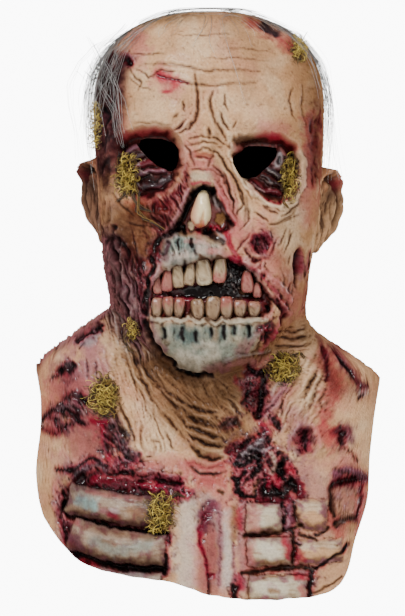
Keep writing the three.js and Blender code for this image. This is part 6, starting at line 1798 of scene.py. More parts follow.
    def colours(self) -> tuple[np.ndarray, np.ndarray]:
        """Paint and varnish of the outer skin, carried round the sides from the canvas.

        Returns:
            The sRGB paint and the gloss at each place of the grid.
        """
        x, y, z = (self.base[..., k] for k in range(3))
        front = self.canvas.sample(self.canvas.colour, x, z)
        gloss = self.canvas.sample(self.canvas.gloss, x, z) * ease(self.ahead, 0.35, 0.75)
        waver = noise((y / 14, z / 14), 71, 3)
        widest = np.abs(x).max(axis=1, keepdims=True) * 0.93 - 0.4 * np.clip(y + 45, 0, 60) - 5 * waver
        side = self.canvas.sample(self.canvas.colour, np.clip(x, -widest, widest), z + 9 * waver[::-1])
        plain = np.broadcast_to(rgb(Paint.SKIN.value), side.shape)
        cloud = noise((x / 26, y / 26, z / 26), 72, 3)
        blot = noise((x / 40, y / 40, z / 40), 74, 4)
        coats = ((Paint.BROWN, 0.4 * ease(cloud, 0.0, 0.6)), (Paint.PINK, 0.4 * ease(-cloud, 0.0, 0.6)),
                 (Paint.MAUVE, 0.55 * ease(blot, 0.1, 0.6)), (Paint.MAROON, 0.45 * ease(blot, 0.5, 0.9)),
                 (Paint.PALE, 0.4 * ease(-blot, 0.2, 0.7)), (Paint.UMBER, 0.4 * ease(-self.folds, 0.0, 0.9)))
        for paint, cover in coats:
            plain = over(plain, paint, cover)
        round_back = ease(y + 16 * cloud, -38, 26)[..., None]
        side = side * (1 - round_back) + plain * round_back
        frontal = ease(self.ahead, 0.12, 0.4)[..., None]
        paint = front * frontal + side * (1 - frontal)
        paint = over(paint, Paint.MAUVE, 0.6 * ease(np.abs(self.jaw), 0.0, 0.3))
        paint = over(paint, Paint.BLACK, 0.6 * ease(-self.jaw, -0.35, 0.5) * (self.jaw != 0))
        # Painted shade: the skin darkens where it turns to face the sides.
        shade = 0.22 * ease(np.abs(self.normal[..., 0]), 0.45, 0.95) * (1 + 0.5 * cloud)
        return paint * (1 - shade[..., None] * (1 - rgb(Paint.BROWN.value))), gloss

    def piece(self, name: str, first: int, last: int, colour: np.ndarray, gloss: np.ndarray) -> bpy.types.Object:
        """Build the closed shell between two rows.

        Args:
            name: The piece's name.
            first: Its first row; below 0 it starts at the crown.
            last: Its last row.
            colour: Paint of the whole grid.
            gloss: Varnish of the whole grid.

        Returns:
            The object.
        """
        top = max(first, 0)
        count = len(self.turns)
        outer = self.outer[top : last + 1].copy()
        rows = np.unique(np.append(np.arange(0, last - top + 1, 4), last - top))
        inner = self.inner[top : last + 1][rows][:, ::2].copy()
        points = np.concatenate([outer.reshape(-1, 3), inner.reshape(-1, 3)])
        # The inner face is painted nearly black: painted shade, since hardly any light gets inside the cast.
        dark = np.broadcast_to(rgb(Paint.SHADED_INSIDE.value), (inner.shape[0] * inner.shape[1], 3))
        paint = np.concatenate([colour[top : last + 1].reshape(-1, 3), dark])
        shine = np.concatenate([gloss[top : last + 1].ravel(), np.zeros(len(dark))])
        outside = grid_faces(0, outer.shape[0], count, False)
        base = outer.shape[0] * count
        within = grid_faces(base, inner.shape[0], count // 2, True)
        faces = []
        for hole in EYE_HOLES if first == self.eye_row else ():
            outside, rim = cut_hole(points, outside, hole)
            within, back = cut_hole(points, within, hole)
            faces += zip_loops(points, rim, back[::-1])
        faces += [tuple(f) for f in outside.tolist()] + [tuple(f) for f in within.tolist()]
        end = (outer.shape[0] - 1) * count
        inner_end = base + (inner.shape[0] - 1) * count // 2
        faces += strip(end, inner_end, count, False)
        if first < 0:
            crown = len(points)
            points = np.vstack([points, [(0, 0, 0), (0, 0, -self.wall)]])
            paint = np.vstack([paint, colour[0, :1], dark[:1]])
            shine = np.append(shine, [0, 0])
            faces += fan(crown, 0, count, False) + fan(crown + 1, base, count // 2, True)
        else:
            faces += strip(0, base, count, True)
        piece = make_piece(name, points, faces, paint, shine, self.finish)
        normals = self.smooth_normals()[top : last + 1].reshape(-1, 3)
        keep = np.zeros((len(points), 3))
        keep[: len(normals)] = normals
        piece.data.normals_split_custom_set_from_vertices(keep.tolist())
        return piece

    def smooth_normals(self) -> np.ndarray:
        """Outward directions of the outer skin over the whole grid, so that its pieces meet unseen.

        Returns:
            A direction for each place of the grid.
        """
        wrapped = np.concatenate([self.outer[:, -1:], self.outer, self.outer[:, :1]], axis=1)
        across = wrapped[:, 2:] - wrapped[:, :-2]
        along = np.gradient(self.outer, axis=0)
        normal = np.cross(along, across)
        return normal / np.maximum(np.linalg.norm(normal, axis=-1, keepdims=True), 1e-9)


def grid_faces(start: int, rows: int, columns: int, inward: bool) -> np.ndarray:
    """Quads of a grid that closes on itself across.

    Args:
        start: Index of its first corner.
        rows: How many rows.
        columns: How many columns.
        inward: Whether the faces look in.

    Returns:
        Four corner indices for each face.
    """
    i, j = np.meshgrid(np.arange(columns), np.arange(rows - 1))
    after = (i + 1) % columns
    a, b = start + j * columns + i, start + (j + 1) * columns + i
    c, d = start + (j + 1) * columns + after, start + j * columns + after
    order = (a, d, c, b) if inward else (a, b, c, d)
    return np.stack([v.ravel() for v in order], -1)


def fan(tip: int, start: int, count: int, inward: bool) -> list[tuple[int, int, int]]:
    """Triangles between a ring and the corner that closes it.

    Args:
        tip: The corner's index.
        start: Index of the ring's first corner.
        count: How many corners the ring has.
        inward: Whether the faces look in, or down where the ring is the lowest.

    Returns:
        The triangles.
    """
    pairs = [(start + i, start + (i + 1) % count) for i in range(count)]
    return [(tip, b, a) if inward else (tip, a, b) for a, b in pairs]


def close_lump(points: np.ndarray, colour: np.ndarray, ends: np.ndarray, gloss: float) -> tuple:
    """Close a stack of rings into one rounded lump.

    Args:
        points: A row of corners for each ring, from the top down.
        colour: Paint at each corner.
        ends: The two corners that close it, the upper one first.
        gloss: Its varnish.

    Returns:
        Its corners, faces, paint and gloss.
    """
    rings, columns = points.shape[:2]
    count = rings * columns
    faces = [tuple(face) for face in grid_faces(0, rings, columns, True).tolist()]
    faces += fan(count, 0, columns, False) + fan(count + 1, count - columns, columns, True)
    flat = np.concatenate([points.reshape(-1, 3), ends])
    paint = np.concatenate([colour.reshape(-1, 3), colour[0, :1], colour[-1, :1]])
    return flat, faces, paint, np.full(len(flat), gloss)


def strip(outer: int, inner: int, count: int, upper: bool) -> list[tuple[int, int, int]]:
    """Triangles that join the two skins along an edge, where the inner one has half as many corners.

    Args:
        outer: Index of the outer skin's first corner there.
        inner: Index of the inner skin's.
        count: How many corners the outer skin has there.
        upper: Whether the edge is the upper one.

    Returns:
        The triangles.
    """
    faces = []
    for i in range(count // 2):
        p, q, r = (outer + (2 * i + k) % count for k in range(3))
        a, b = inner + i, inner + (i + 1) % (count // 2)
        made = [(p, a, q), (q, a, b), (q, b, r)]
        faces += [face[::-1] for face in made] if upper else made
    return faces


def cut_hole(points: np.ndarray, faces: np.ndarray, corners: Path) -> tuple[np.ndarray, list[int]]:
    """Take the faces out of a hole and move its rim onto the outline.

    Args:
        points: All corners; those of the rim are moved.
        faces: Quads of one skin.
        corners: The hole's outline.

    Returns:
        The faces left, and the rim's corners in order.
    """
    used = np.unique(faces)
    hit = np.zeros(len(points), bool)
    ahead = used[points[used, 1] < -20]
    hit[ahead] = inside(corners, points[ahead, 0], points[ahead, 2])
    gone = hit[faces].all(axis=1)
    kept = faces[~gone]
    edge = kept[hit[kept].any(axis=1)]
    lost = {(int(a), int(b)) for face in faces[gone] for a, b in zip(face, np.roll(face, -1))}
    after = {}
    for face in edge:
        for a, b in zip(face, np.roll(face, -1)):
            if (int(b), int(a)) in lost:
                after[int(a)] = int(b)
    rim = [next(iter(after))]
    while after[rim[-1]] != rim[0]:
        rim.append(after[rim[-1]])
    movable = np.unique(edge[hit[edge]])
    points[movable, 0], points[movable, 2] = snap(corners, points[movable, 0], points[movable, 2])
    return kept, rim


def zip_loops(points: np.ndarray, outer: list[int], inner: list[int]) -> list[tuple[int, int, int]]:
    """Triangles between two closed loops that run the same way.

    Args:
        points: All corners.
        outer: The loop whose faces look out.
        inner: The loop behind it.

    Returns:
        The triangles.
    """
    flat = points[:, [0, 2]]
    start = int(np.argmin(np.linalg.norm(flat[inner] - flat[outer[0]], axis=1)))
    inner = inner[start:] + inner[:start]
    shares = []
    for loop in (outer, inner):
        ring = flat[loop + loop[:1]]
        steps = np.linalg.norm(np.diff(ring, axis=0), axis=1) + 1e-6
        shares.append(np.concatenate([[0], np.cumsum(steps) / steps.sum()]))
    faces, i, j = [], 0, 0
    while i < len(outer) or j < len(inner):
        a, b = outer[i % len(outer)], inner[j % len(inner)]
        if j >= len(inner) or (i < len(outer) and shares[0][i + 1] <= shares[1][j + 1]):
            faces.append((outer[(i + 1) % len(outer)], a, b))
            i += 1
        else:
            faces.append((a, b, inner[(j + 1) % len(inner)]))
            j += 1
    return faces


LOWER_TOOTH_DARKENING = np.array([0.84, 0.79, 0.78])  # the lower teeth are coloured darker


@dataclass
class Teeth:
    """The exposed teeth of the cast, each a rounded worn incisor set in the gum."""

    canvas: Canvas
    finish: bpy.types.Material
    depth: float = 9.0
    seat: float = 9.0  # mm from the plain face back to where they stand
    proud: float = 5.5
    hidden: float = 3.0  # mm of each that is inside the gum
    rows: int = 26
    columns: int = 32

    def build(self) -> list[bpy.types.Object]:
        """Make the upper and the lower row.

        Returns:
            The two objects.
        """
        pieces = []
        for row in Row:
            parts = [self.tooth(k, *line[1:]) for k, line in enumerate(TEETH) if line[0] is row]
            pieces.append(join_parts(f"{row.value}_teeth", parts, self.finish))
        return pieces

    def tooth(self, index: int, x: float, top: float, bottom: float, width: float, back: float, stain: Paint) -> tuple:
        """Shape one tooth.

        Args:
            index: Its place in the table, which sets its wear.
            x: Its middle.
            top: Its upper end.
            bottom: Its lower end.
            width: Its width at the cutting edge.
            back: How far it stands back.
            stain: The paint that stains it.

        Returns:
            Its corners, faces, paint and gloss.
        """
        upper = TEETH[index][0] is Row.UPPER
        seed = 100 + index
        turn = np.linspace(0, 2 * math.pi, self.columns, endpoint=False)
        up = np.linspace(0, math.pi, self.rows + 1)[1:-1]
        share = np.cos(up)[:, None]
        ring = np.sin(up)[:, None] ** 0.42
        u = np.sign(np.cos(turn)) * np.abs(np.cos(turn)) ** 0.72 * ring
        v = np.sign(np.sin(turn)) * np.abs(np.sin(turn)) ** 0.8 * ring
        w = np.sign(share) * np.abs(share) ** 0.62 * np.ones_like(u)
        gumward = w if upper else -w
        narrow = 1.1 - 0.55 * np.clip((gumward + 0.3) / 1.3, 0, 1) ** 1.5
        px = x + u * narrow * width / 2
        high, low = (top + self.hidden, bottom) if upper else (top, bottom - self.hidden)
        pz = (high + low) / 2 + w * (high - low) / 2
        thin = 1 - 0.35 * np.clip(-gumward, 0, 1) ** 2
        floor = FORM.front(x, (top + bottom) / 2)[0] + self.seat
        py = floor - self.proud + back / 2 + self.depth / 2 + v * thin * self.depth / 2
        lumps = noise((px / 3 + seed, pz / 5, py / 3), seed, 2)
        ridges = noise((px / 1.3 + seed, pz / 9), seed + 1, 2)
        py = py - 0.35 * lumps - 0.22 * ridges * (v < 0)
        pz = pz + 0.35 * noise((px / 2.2, np.full_like(px, seed)), 7) * (1 - gumward) / 2
        lean = math.radians(6 * math.sin(2.7 * seed))
        middle = (high + low) / 2
        px, pz = (x + (px - x) * math.cos(lean) + (pz - middle) * math.sin(lean),
                  middle + (pz - middle) * math.cos(lean) - (px - x) * math.sin(lean))
        points = np.stack([px, py, pz], -1)
        colour = np.broadcast_to(rgb(Paint.ENAMEL.value), points.shape)
        colour = over(colour, Paint.CLEAN_ENAMEL, 0.5 * ease(lumps, 0.0, 0.5))
        dirt = ease(noise((px / 1.2 + seed, pz / 2.6), seed + 2, 2), 0.15, 0.6)
        # Towards the gum the crown is stained, and the speckled dirt is a stain too; the darkening down each side,
        # where the teeth meet, is painted shade.
        stain_and_shade = np.clip(0.8 * ease(gumward, 0.2, 0.95) + 0.75 * ease(np.abs(u), 0.6, 1) + 0.7 * dirt, 0, 0.92)
        colour = over(colour, Paint.TOOTH_STAIN_AND_SHADE, stain_and_shade)
        bite = np.clip(ease(-gumward + 0.5 * lumps, 0.1, 0.9) + 0.6 * ease(lumps + ridges, 0.3, 0.8), 0, 1)
        if not upper:
            bite = np.clip(ease(-gumward + 0.6 * lumps, -0.1, 0.8), 0, 1)
        if upper and abs(x) > 30:
            bite = np.maximum(bite, 0.8 + 0.2 * lumps)
        strength = 0.48 if stain in (Paint.RED, Paint.CRIMSON, Paint.PINK) else 0.3
        colour = over(colour, stain, strength * bite)
        if not upper:
            colour = colour * LOWER_TOOTH_DARKENING
        # Painted shadow at the gum end of each tooth.
        colour = over(colour, Paint.UMBER, 0.8 * ease(gumward, 0.6, 1.0))
        ends = np.array([[x, points[0, :, 1].mean(), high], [x, points[-1, :, 1].mean(), low]])
        return close_lump(points, colour, ends, 0.4)


def join_parts(name: str, parts: list[tuple], finish: bpy.types.Material) -> bpy.types.Object:
    """Join shapes into one painted object.

    Args:
        name: The piece's name.
        parts: Corners, faces, paint and gloss of each shape.
        finish: The material.

    Returns:
        The object.
    """
    start, faces = 0, []
    for points, own, _, _ in parts:
        faces += [tuple(start + i for i in face) for face in own]
        start += len(points)
    points, paint, gloss = (np.concatenate([part[k] for part in parts]) for k in (0, 2, 3))
    return make_piece(name, points, faces, paint, gloss, finish)


@dataclass
class NoseBone:
    """The bare nub of bone in the open nose."""

    finish: bpy.types.Material
    x: float = -5.2
    z: float = -163.5
    wide: float = 17.0
    tall: float = 31.0
    proud: float = 10.0

    def build(self) -> bpy.types.Object:
        """Make the nub: a smooth leaning pebble with a groove down it.

        Returns:
            The object.
        """
        columns, rows = 64, 48
        turn = np.linspace(0, 2 * math.pi, columns, endpoint=False)
        up = np.linspace(0, math.pi, rows + 1)[1:-1][:, None]
        u = np.cos(turn) * np.sin(up)
        v = np.sin(turn) * np.sin(up)
        w = np.cos(up) * np.ones_like(u)
        narrow = 0.76 + 0.36 * ease(-w, -0.5, 0.7)
        px = self.x + u * narrow * self.wide / 2 + 1.6 * w
        pz = self.z + w * self.tall / 2
        front = FORM.front(self.x, self.z)[0]
        groove = 1.1 * np.exp(-(((u - 0.25 - 0.2 * w) / 0.16) ** 2)) * ease(-w, -0.3, 0.5)
        py = front + 1.5 + v * self.proud * (1 - 0.1 * w) + groove - 0.5 * noise((px / 5, pz / 7), 81, 2)
        points = np.stack([px, py, pz], -1)
        colour = np.broadcast_to(rgb(Paint.NUB.value), points.shape)
        low = ease(-w + 0.3 * noise((px / 4, pz / 4), 82, 2), 0.45, 0.95)
        colour = over(colour, Paint.NUB_SIDE, 0.65 * ease(-u - 0.25 * w, 0.15, 0.85))
        colour = over(colour, Paint.NUB_TIP, 0.7 * low)
        colour = over(colour, Paint.NUB_GROOVE, 0.5 * ease(groove, 0.2, 0.9))
        ends = np.array([[points[0, :, 0].mean(), points[0, :, 1].mean(), self.z + self.tall / 2],
                         [points[-1, :, 0].mean(), points[-1, :, 1].mean(), self.z - self.tall / 2]])
        return make_piece("nose_bone", *close_lump(points, colour, ends, 0.7), self.finish)


# The outer edge of each ear seen from the front, downwards: across from the middle, and height, in mm.
EAR_EDGES = {
    Side.LEFT: ((97, -121), (109, -125), (110, -131), (106.5, -140), (105, -155), (100, -170), (93, -183), (88, -192)),
    Side.RIGHT: ((98, -128), (111, -130), (113, -142), (114, -155), (111, -165), (105, -180), (100, -190), (90, -202)),
}


LEFT_EAR_DARKENING = np.array([0.62, 0.58, 0.6])  # the left ear is coloured darker


@dataclass
class Ear:
    """One modelled ear: a rolled rim, the furrow inside it, the inner ridge and the bowl."""

    side: Side
    finish: bpy.types.Material
    columns: int = 96
    rows: int = 40
    length: float = 72.0
    breadth: float = 40.0
    thick: float = 9.0

    @property
    def top(self) -> float:
        """Height of its top end."""
        return -FORM.face * (0.402 if self.side is Side.LEFT else 0.428)

    def build(self) -> bpy.types.Object:
        """Shape and paint the ear.

        Returns:
            The object.
        """
        turn = np.linspace(0, 2 * math.pi, self.columns, endpoint=False)
        out = np.linspace(0, 1, self.rows + 1)[1:, None]
        u, w = np.cos(turn) * out, np.sin(turn) * out
        lobe = 1 - 0.34 * ease(-w, 0.1, 1.0)
        y = u * lobe * self.breadth / 2
        z = w * self.length / 2
        rim = np.exp(-(((out - 0.9) / 0.085) ** 2)) * ease(np.sin(turn) * 0.8 + np.cos(turn) * 0.6 + 0.9, 0, 0.5)
        furrow = np.exp(-(((out - 0.72) / 0.08) ** 2)) * ease(np.sin(turn) + 0.6 * np.cos(turn), -0.4, 0.4)
        ridge = np.exp(-(((out - 0.54) / 0.1) ** 2)) * ease(np.sin(turn) + 0.9 * np.cos(turn), -0.6, 0.3)
        bowl = np.exp(-(((u + 0.28) / 0.34) ** 2) - ((w + 0.06) / 0.3) ** 2)
        tragus = np.exp(-(((u + 0.78) / 0.16) ** 2) - ((w + 0.05) / 0.16) ** 2)
        dish = 0.6 * self.thick * (1 - out**2)
        high = self.thick / 2 - dish + 2.4 * rim - 2.6 * furrow + 1.8 * ridge - 5.0 * bowl + 3.0 * tragus
        wrinkle = 1 - 2.4 * np.abs(noise((y / 5.5, z / 30), 94, 3))
        high = high + 0.35 * noise((y / 4, z / 4), 91, 3) + 1.1 * wrinkle
        high = high * (1 - ease(out, 0.94, 1.0) * 0.55)
        back = -self.thick / 2 - dish * 0.55 + 0.3 * noise((y / 5, z / 5), 92, 2)
        back = back + (high - back) * ease(out, 0.9, 1.0) * 0.5
        face = np.stack([high, y, z], -1)
        rear = np.stack([back, y, z], -1)
        middle = np.array([[high[0].mean(), 0, 0], [back[0].mean(), 0, 0]])
        skin = np.broadcast_to(rgb(Paint.SKIN.value), face.shape)
        spots = noise((y / 7, z / 7), 93, 3)
        skin = over(skin, Paint.BROWN, 0.3 * ease(spots, 0.0, 0.6))
        skin = over(skin, Paint.EAR_FLUSH, 0.5 * ease(w + 0.3 * spots, 0.2, 0.8))
        hollow = np.exp(-(((u - 0.35) / 0.3) ** 2) - ((w - 0.42) / 0.3) ** 2)
        # The dark in the furrow, the bowl and the patch high in the ear is painted shade; the darker wrinkles are the
        # wash in their grooves.
        groove = np.clip(0.9 * furrow + bowl + 0.9 * hollow + 0.5 * ease(-wrinkle, -0.3, 0.5), 0, 0.95)
        shown = over(skin, Paint.EAR_HOLLOW, groove)
        shown = over(shown, Paint.CRIMSON, 0.6 * np.exp(-(((u - 0.6) / 0.2) ** 2) - ((w - 0.6) / 0.2) ** 2))
        shown = over(shown, Paint.EAR_RIM, 0.3 * np.clip(rim + ridge, 0, 1))
        if self.side is Side.LEFT:
            skin, shown = skin * LEFT_EAR_DARKENING, shown * LEFT_EAR_DARKENING
        points = np.concatenate([face.reshape(-1, 3), rear.reshape(-1, 3), middle])
        # The back of the ear, facing the head, is painted a fifth darker: painted shade.
        hidden = skin * 0.8
        paint = np.concatenate([shown.reshape(-1, 3), hidden.reshape(-1, 3), skin[0, :1], hidden[0, :1]])
        points = self.place(points)
        count, rows = self.columns, self.rows
        faces = [tuple(f) for f in grid_faces(0, rows, count, False).tolist()]
        faces += [tuple(f) for f in grid_faces(rows * count, rows, count, True).tolist()]
        outer, inner = (rows - 1) * count, (2 * rows - 1) * count
        faces += [(outer + i, inner + i, inner + (i + 1) % count, outer + (i + 1) % count) for i in range(count)]
        tip = 2 * rows * count
        faces += fan(tip, 0, count, False) + fan(tip + 1, rows * count, count, True)
        if self.side is Side.LEFT:
            faces = [face[::-1] for face in faces]
        name = f"{self.side.name.lower()}_ear"
        return make_piece(name, points, faces, paint, np.full(len(points), 0.08), self.finish)

    def place(self, points: np.ndarray) -> np.ndarray:
        """Turn the ear out and back, and set it on the side of the head.

        Args:
            points: The ear's corners about its own middle.

        Returns:
            The corners in place.
        """
        lean, flare = math.radians(8), math.radians(-32)
        x, y, z = points.T
        y, z = y * math.cos(lean) - z * math.sin(lean), y * math.sin(lean) + z * math.cos(lean)
        x, y = x * math.cos(flare) - y * math.sin(flare), x * math.sin(flare) + y * math.cos(flare)
        x, y = x + 4, y + self.breadth * 0.22
        middle = self.top - self.length / 2
        side = self.side.value
        radius = float(FORM.radius(np.array([side * math.pi / 2]), np.array([middle]))[0])
        share = np.clip(z / self.length * 2, -1, 1)
        plain = 8 + 0.53 * np.sqrt(1 - share**2) * (1 - 0.34 * ease(-share, 0.1, 1.0)) * self.breadth / 2
        edge = np.array(EAR_EDGES[self.side])
        x = x - 11.0 * ease(-share, 0.4, 1.0)
        wanted = np.interp(-(middle + z), -edge[:, 1], edge[:, 0]) - radius
        x = np.where(x > 0, x * np.clip(wanted / plain, 0.2, 1.6), x)
        return np.stack([side * (radius + x), y, middle + z], -1)


def group_sockets(tree: bpy.types.GeometryNodeTree, names: dict[str, str]) -> None:
    """Add a geometry output, a geometry input and named value inputs to a tree.

    Args:
        tree: The tree.
        names: The kind of socket for each named input.
    """
    tree.interface.new_socket("Geometry", in_out="OUTPUT", socket_type="NodeSocketGeometry")
    tree.interface.new_socket("Geometry", in_out="INPUT", socket_type="NodeSocketGeometry")
    for name, kind in names.items():
        tree.interface.new_socket(name, in_out="INPUT", socket_type=kind)


def bake(piece: bpy.types.Object, tree: bpy.types.GeometryNodeTree, values: dict) -> None:
    """Run a tree on an object and keep what it makes.

    Args:
        piece: The object.
        tree: The tree.
        values: What its named inputs are set to.
    """
    modifier = piece.modifiers.new("grow", "NODES")
    modifier.node_group = tree
    for item in tree.interface.items_tree:
        if item.in_out == "INPUT" and item.name in values:
            modifier[item.identifier] = values[item.name]
    graph = bpy.context.evaluated_depsgraph_get()
    graph.update()
    made = bpy.data.meshes.new_from_object(piece.evaluated_get(graph), depsgraph=graph)
    old = piece.data
    piece.modifiers.clear()
    piece.data = made
    bpy.data.meshes.remove(old)


@dataclass(frozen=True)
class StrandFinish:
    """Hair or moss fibre: a colour that changes from root to tip and from strand to strand."""

    name: str
    root: str  # colour at the root
    tip: str  # colour at the tip
    other: str  # colour that some strands take all along
    rough: float

    def make(self) -> bpy.types.Material:
        """Build the material, reading the strands' own shares.

        Returns:
            The material.
        """
        material = bpy.data.materials.new(self.name)
        material.use_nodes = True
        tree = material.node_tree
        shader = tree.nodes["Principled BSDF"]
        shader.inputs["Roughness"].default_value = self.rough
        along = add_node(tree, "ShaderNodeAttribute", {"attribute_name": "along"})
        strand = add_node(tree, "ShaderNodeAttribute", {"attribute_name": "strand"})
        tints = [(*pigment(rgb(code)), 1) for code in (self.root, self.tip, self.other)]
        length = add_node(tree, "ShaderNodeMix", {"data_type": "RGBA"},
                          {0: along.outputs["Fac"], 6: tints[0], 7: tints[1]})
        mixed = add_node(tree, "ShaderNodeMix", {"data_type": "RGBA"},
                         {0: strand.outputs["Fac"], 6: length.outputs[2], 7: tints[2]})
        tree.links.new(mixed.outputs[2], shader.inputs["Base Color"])
        return material


def strand_tree(finish: bpy.types.Material) -> bpy.types.GeometryNodeTree:
    """Build the tree that turns chains of edges into thin three-sided strands.

    Args:
        finish: The strands' material.

    Returns:
        The tree, with a radius for the strands as its input.
    """
    tree = bpy.data.node_groups.new("strands", "GeometryNodeTree")
    group_sockets(tree, {"Radius": "NodeSocketFloat"})
    source = add_node(tree, "NodeGroupInput")
    curve = add_node(tree, "GeometryNodeMeshToCurve", {}, {"Mesh": source.outputs["Geometry"]})
    thick = add_node(tree, "GeometryNodeInputNamedAttribute", {"data_type": "FLOAT"}, {"Name": "thick"})
    scaled = add_node(tree, "GeometryNodeSetCurveRadius", {}, {"Curve": curve.outputs["Curve"],
                      "Radius": thick.outputs["Attribute"]})
    ring = add_node(tree, "GeometryNodeCurvePrimitiveCircle", {}, {"Resolution": 3, "Radius": source.outputs["Radius"]})
    solid = add_node(tree, "GeometryNodeCurveToMesh", {}, {"Curve": scaled.outputs["Curve"],
                     "Profile Curve": ring.outputs["Curve"], "Fill Caps": True})
    if "Scale" in solid.inputs:
        tree.links.new(thick.outputs["Attribute"], solid.inputs["Scale"])
    smooth = add_node(tree, "GeometryNodeSetShadeSmooth", {}, {"Geometry": solid.outputs["Mesh"]})
    real = add_node(tree, "GeometryNodeRealizeInstances", {}, {"Geometry": smooth.outputs["Geometry"]})
    painted = add_node(tree, "GeometryNodeSetMaterial", {}, {"Geometry": real.outputs["Geometry"], "Material": finish})
    sink = add_node(tree, "NodeGroupOutput")
    tree.links.new(painted.outputs["Geometry"], sink.inputs["Geometry"])
    return tree


def grow_strands(
    name: str,
    paths: list[np.ndarray],
    radius: float,
    tree: bpy.types.GeometryNodeTree,
    seed: int,
    shares: list[np.ndarray] | None = None,
    power: float = 1.8,
) -> bpy.types.Object:
    """Make one object of thin strands.

    Args:
        name: The piece's name.
        paths: The line of each strand, in mm with z from the crown, root first.
        radius: The strands' radius in mm.
        tree: The tree that thickens them.
        seed: Picks the strands' own shades.
        shares: How far each point is to the colour of the tips, where that isn't its share of the strand's length.
        power: The higher it is, the fewer strands take the finish's other colour.

    Returns:
        The object.
    """
    rng = np.random.default_rng(seed)
    points, edges, along, strand, thick = [], [], [], [], []
    for index, path in enumerate(paths):
        start, count = len(points), len(path)
        points += ((path + np.array([0, 0, CROWN])) * MM).tolist()
        edges += [(start + i, start + i + 1) for i in range(count - 1)]
        share = np.linspace(0, 1, count)
        along += (share if shares is None else shares[index]).tolist()
        strand += [rng.uniform(0, 1) ** power] * count
        thick += (rng.uniform(0.7, 1.25) * (1 - 0.55 * share**2)).tolist()
    mesh = bpy.data.meshes.new(name)
    mesh.from_pydata(points, edges, [])
    for label, values in (("along", along), ("strand", strand), ("thick", thick)):
        mesh.attributes.new(label, "FLOAT", "POINT").data.foreach_set("value", values)
    piece = bpy.data.objects.new(name, mesh)
    bpy.context.scene.collection.objects.link(piece)
    bake(piece, tree, {"Radius": radius * MM})
    return piece


# Moss tufts: node, middle, half-width and half-height in mm, how many fibres, and the paths of their stray strands.
MOSS = (
    ("moss_crown", (74.5, -32), 6.5, 11, 190, ()),
    ("moss_temple", (-92, -93), 4.5, 19, 240, ()),
    ("moss_left_eye", (-66.5, -135), 8.5, 17, 380, (
        ((-60, -143), (-57, -152), (-58, -165), (-52, -172), (-45, -175), (-36, -180)),
        ((-62, -146), (-60, -156), (-54, -163), (-46, -166)),
        ((-66, -148), (-70, -153), (-75, -157)),
    )),
    ("moss_right_eye", (67.5, -138), 6.5, 19, 330, (((64, -150), (62, -158), (66, -163)),)),
    ("moss_jaw", (-61.5, -262), 4.5, 8.5, 120, (((-66, -262), (-69, -270), (-65, -279), (-60, -280)),)),
    ("moss_collar", (-85, -317), 10.5, 15.5, 430, ()),
    ("moss_throat", (62, -294), 11.5, 11.5, 380, (((70, -284), (76, -281), (80, -286)),)),
    ("moss_rib", (-39, -412), 9.5, 15.5, 380, (((-30, -400), (-25, -396), (-20, -399)),)),
)


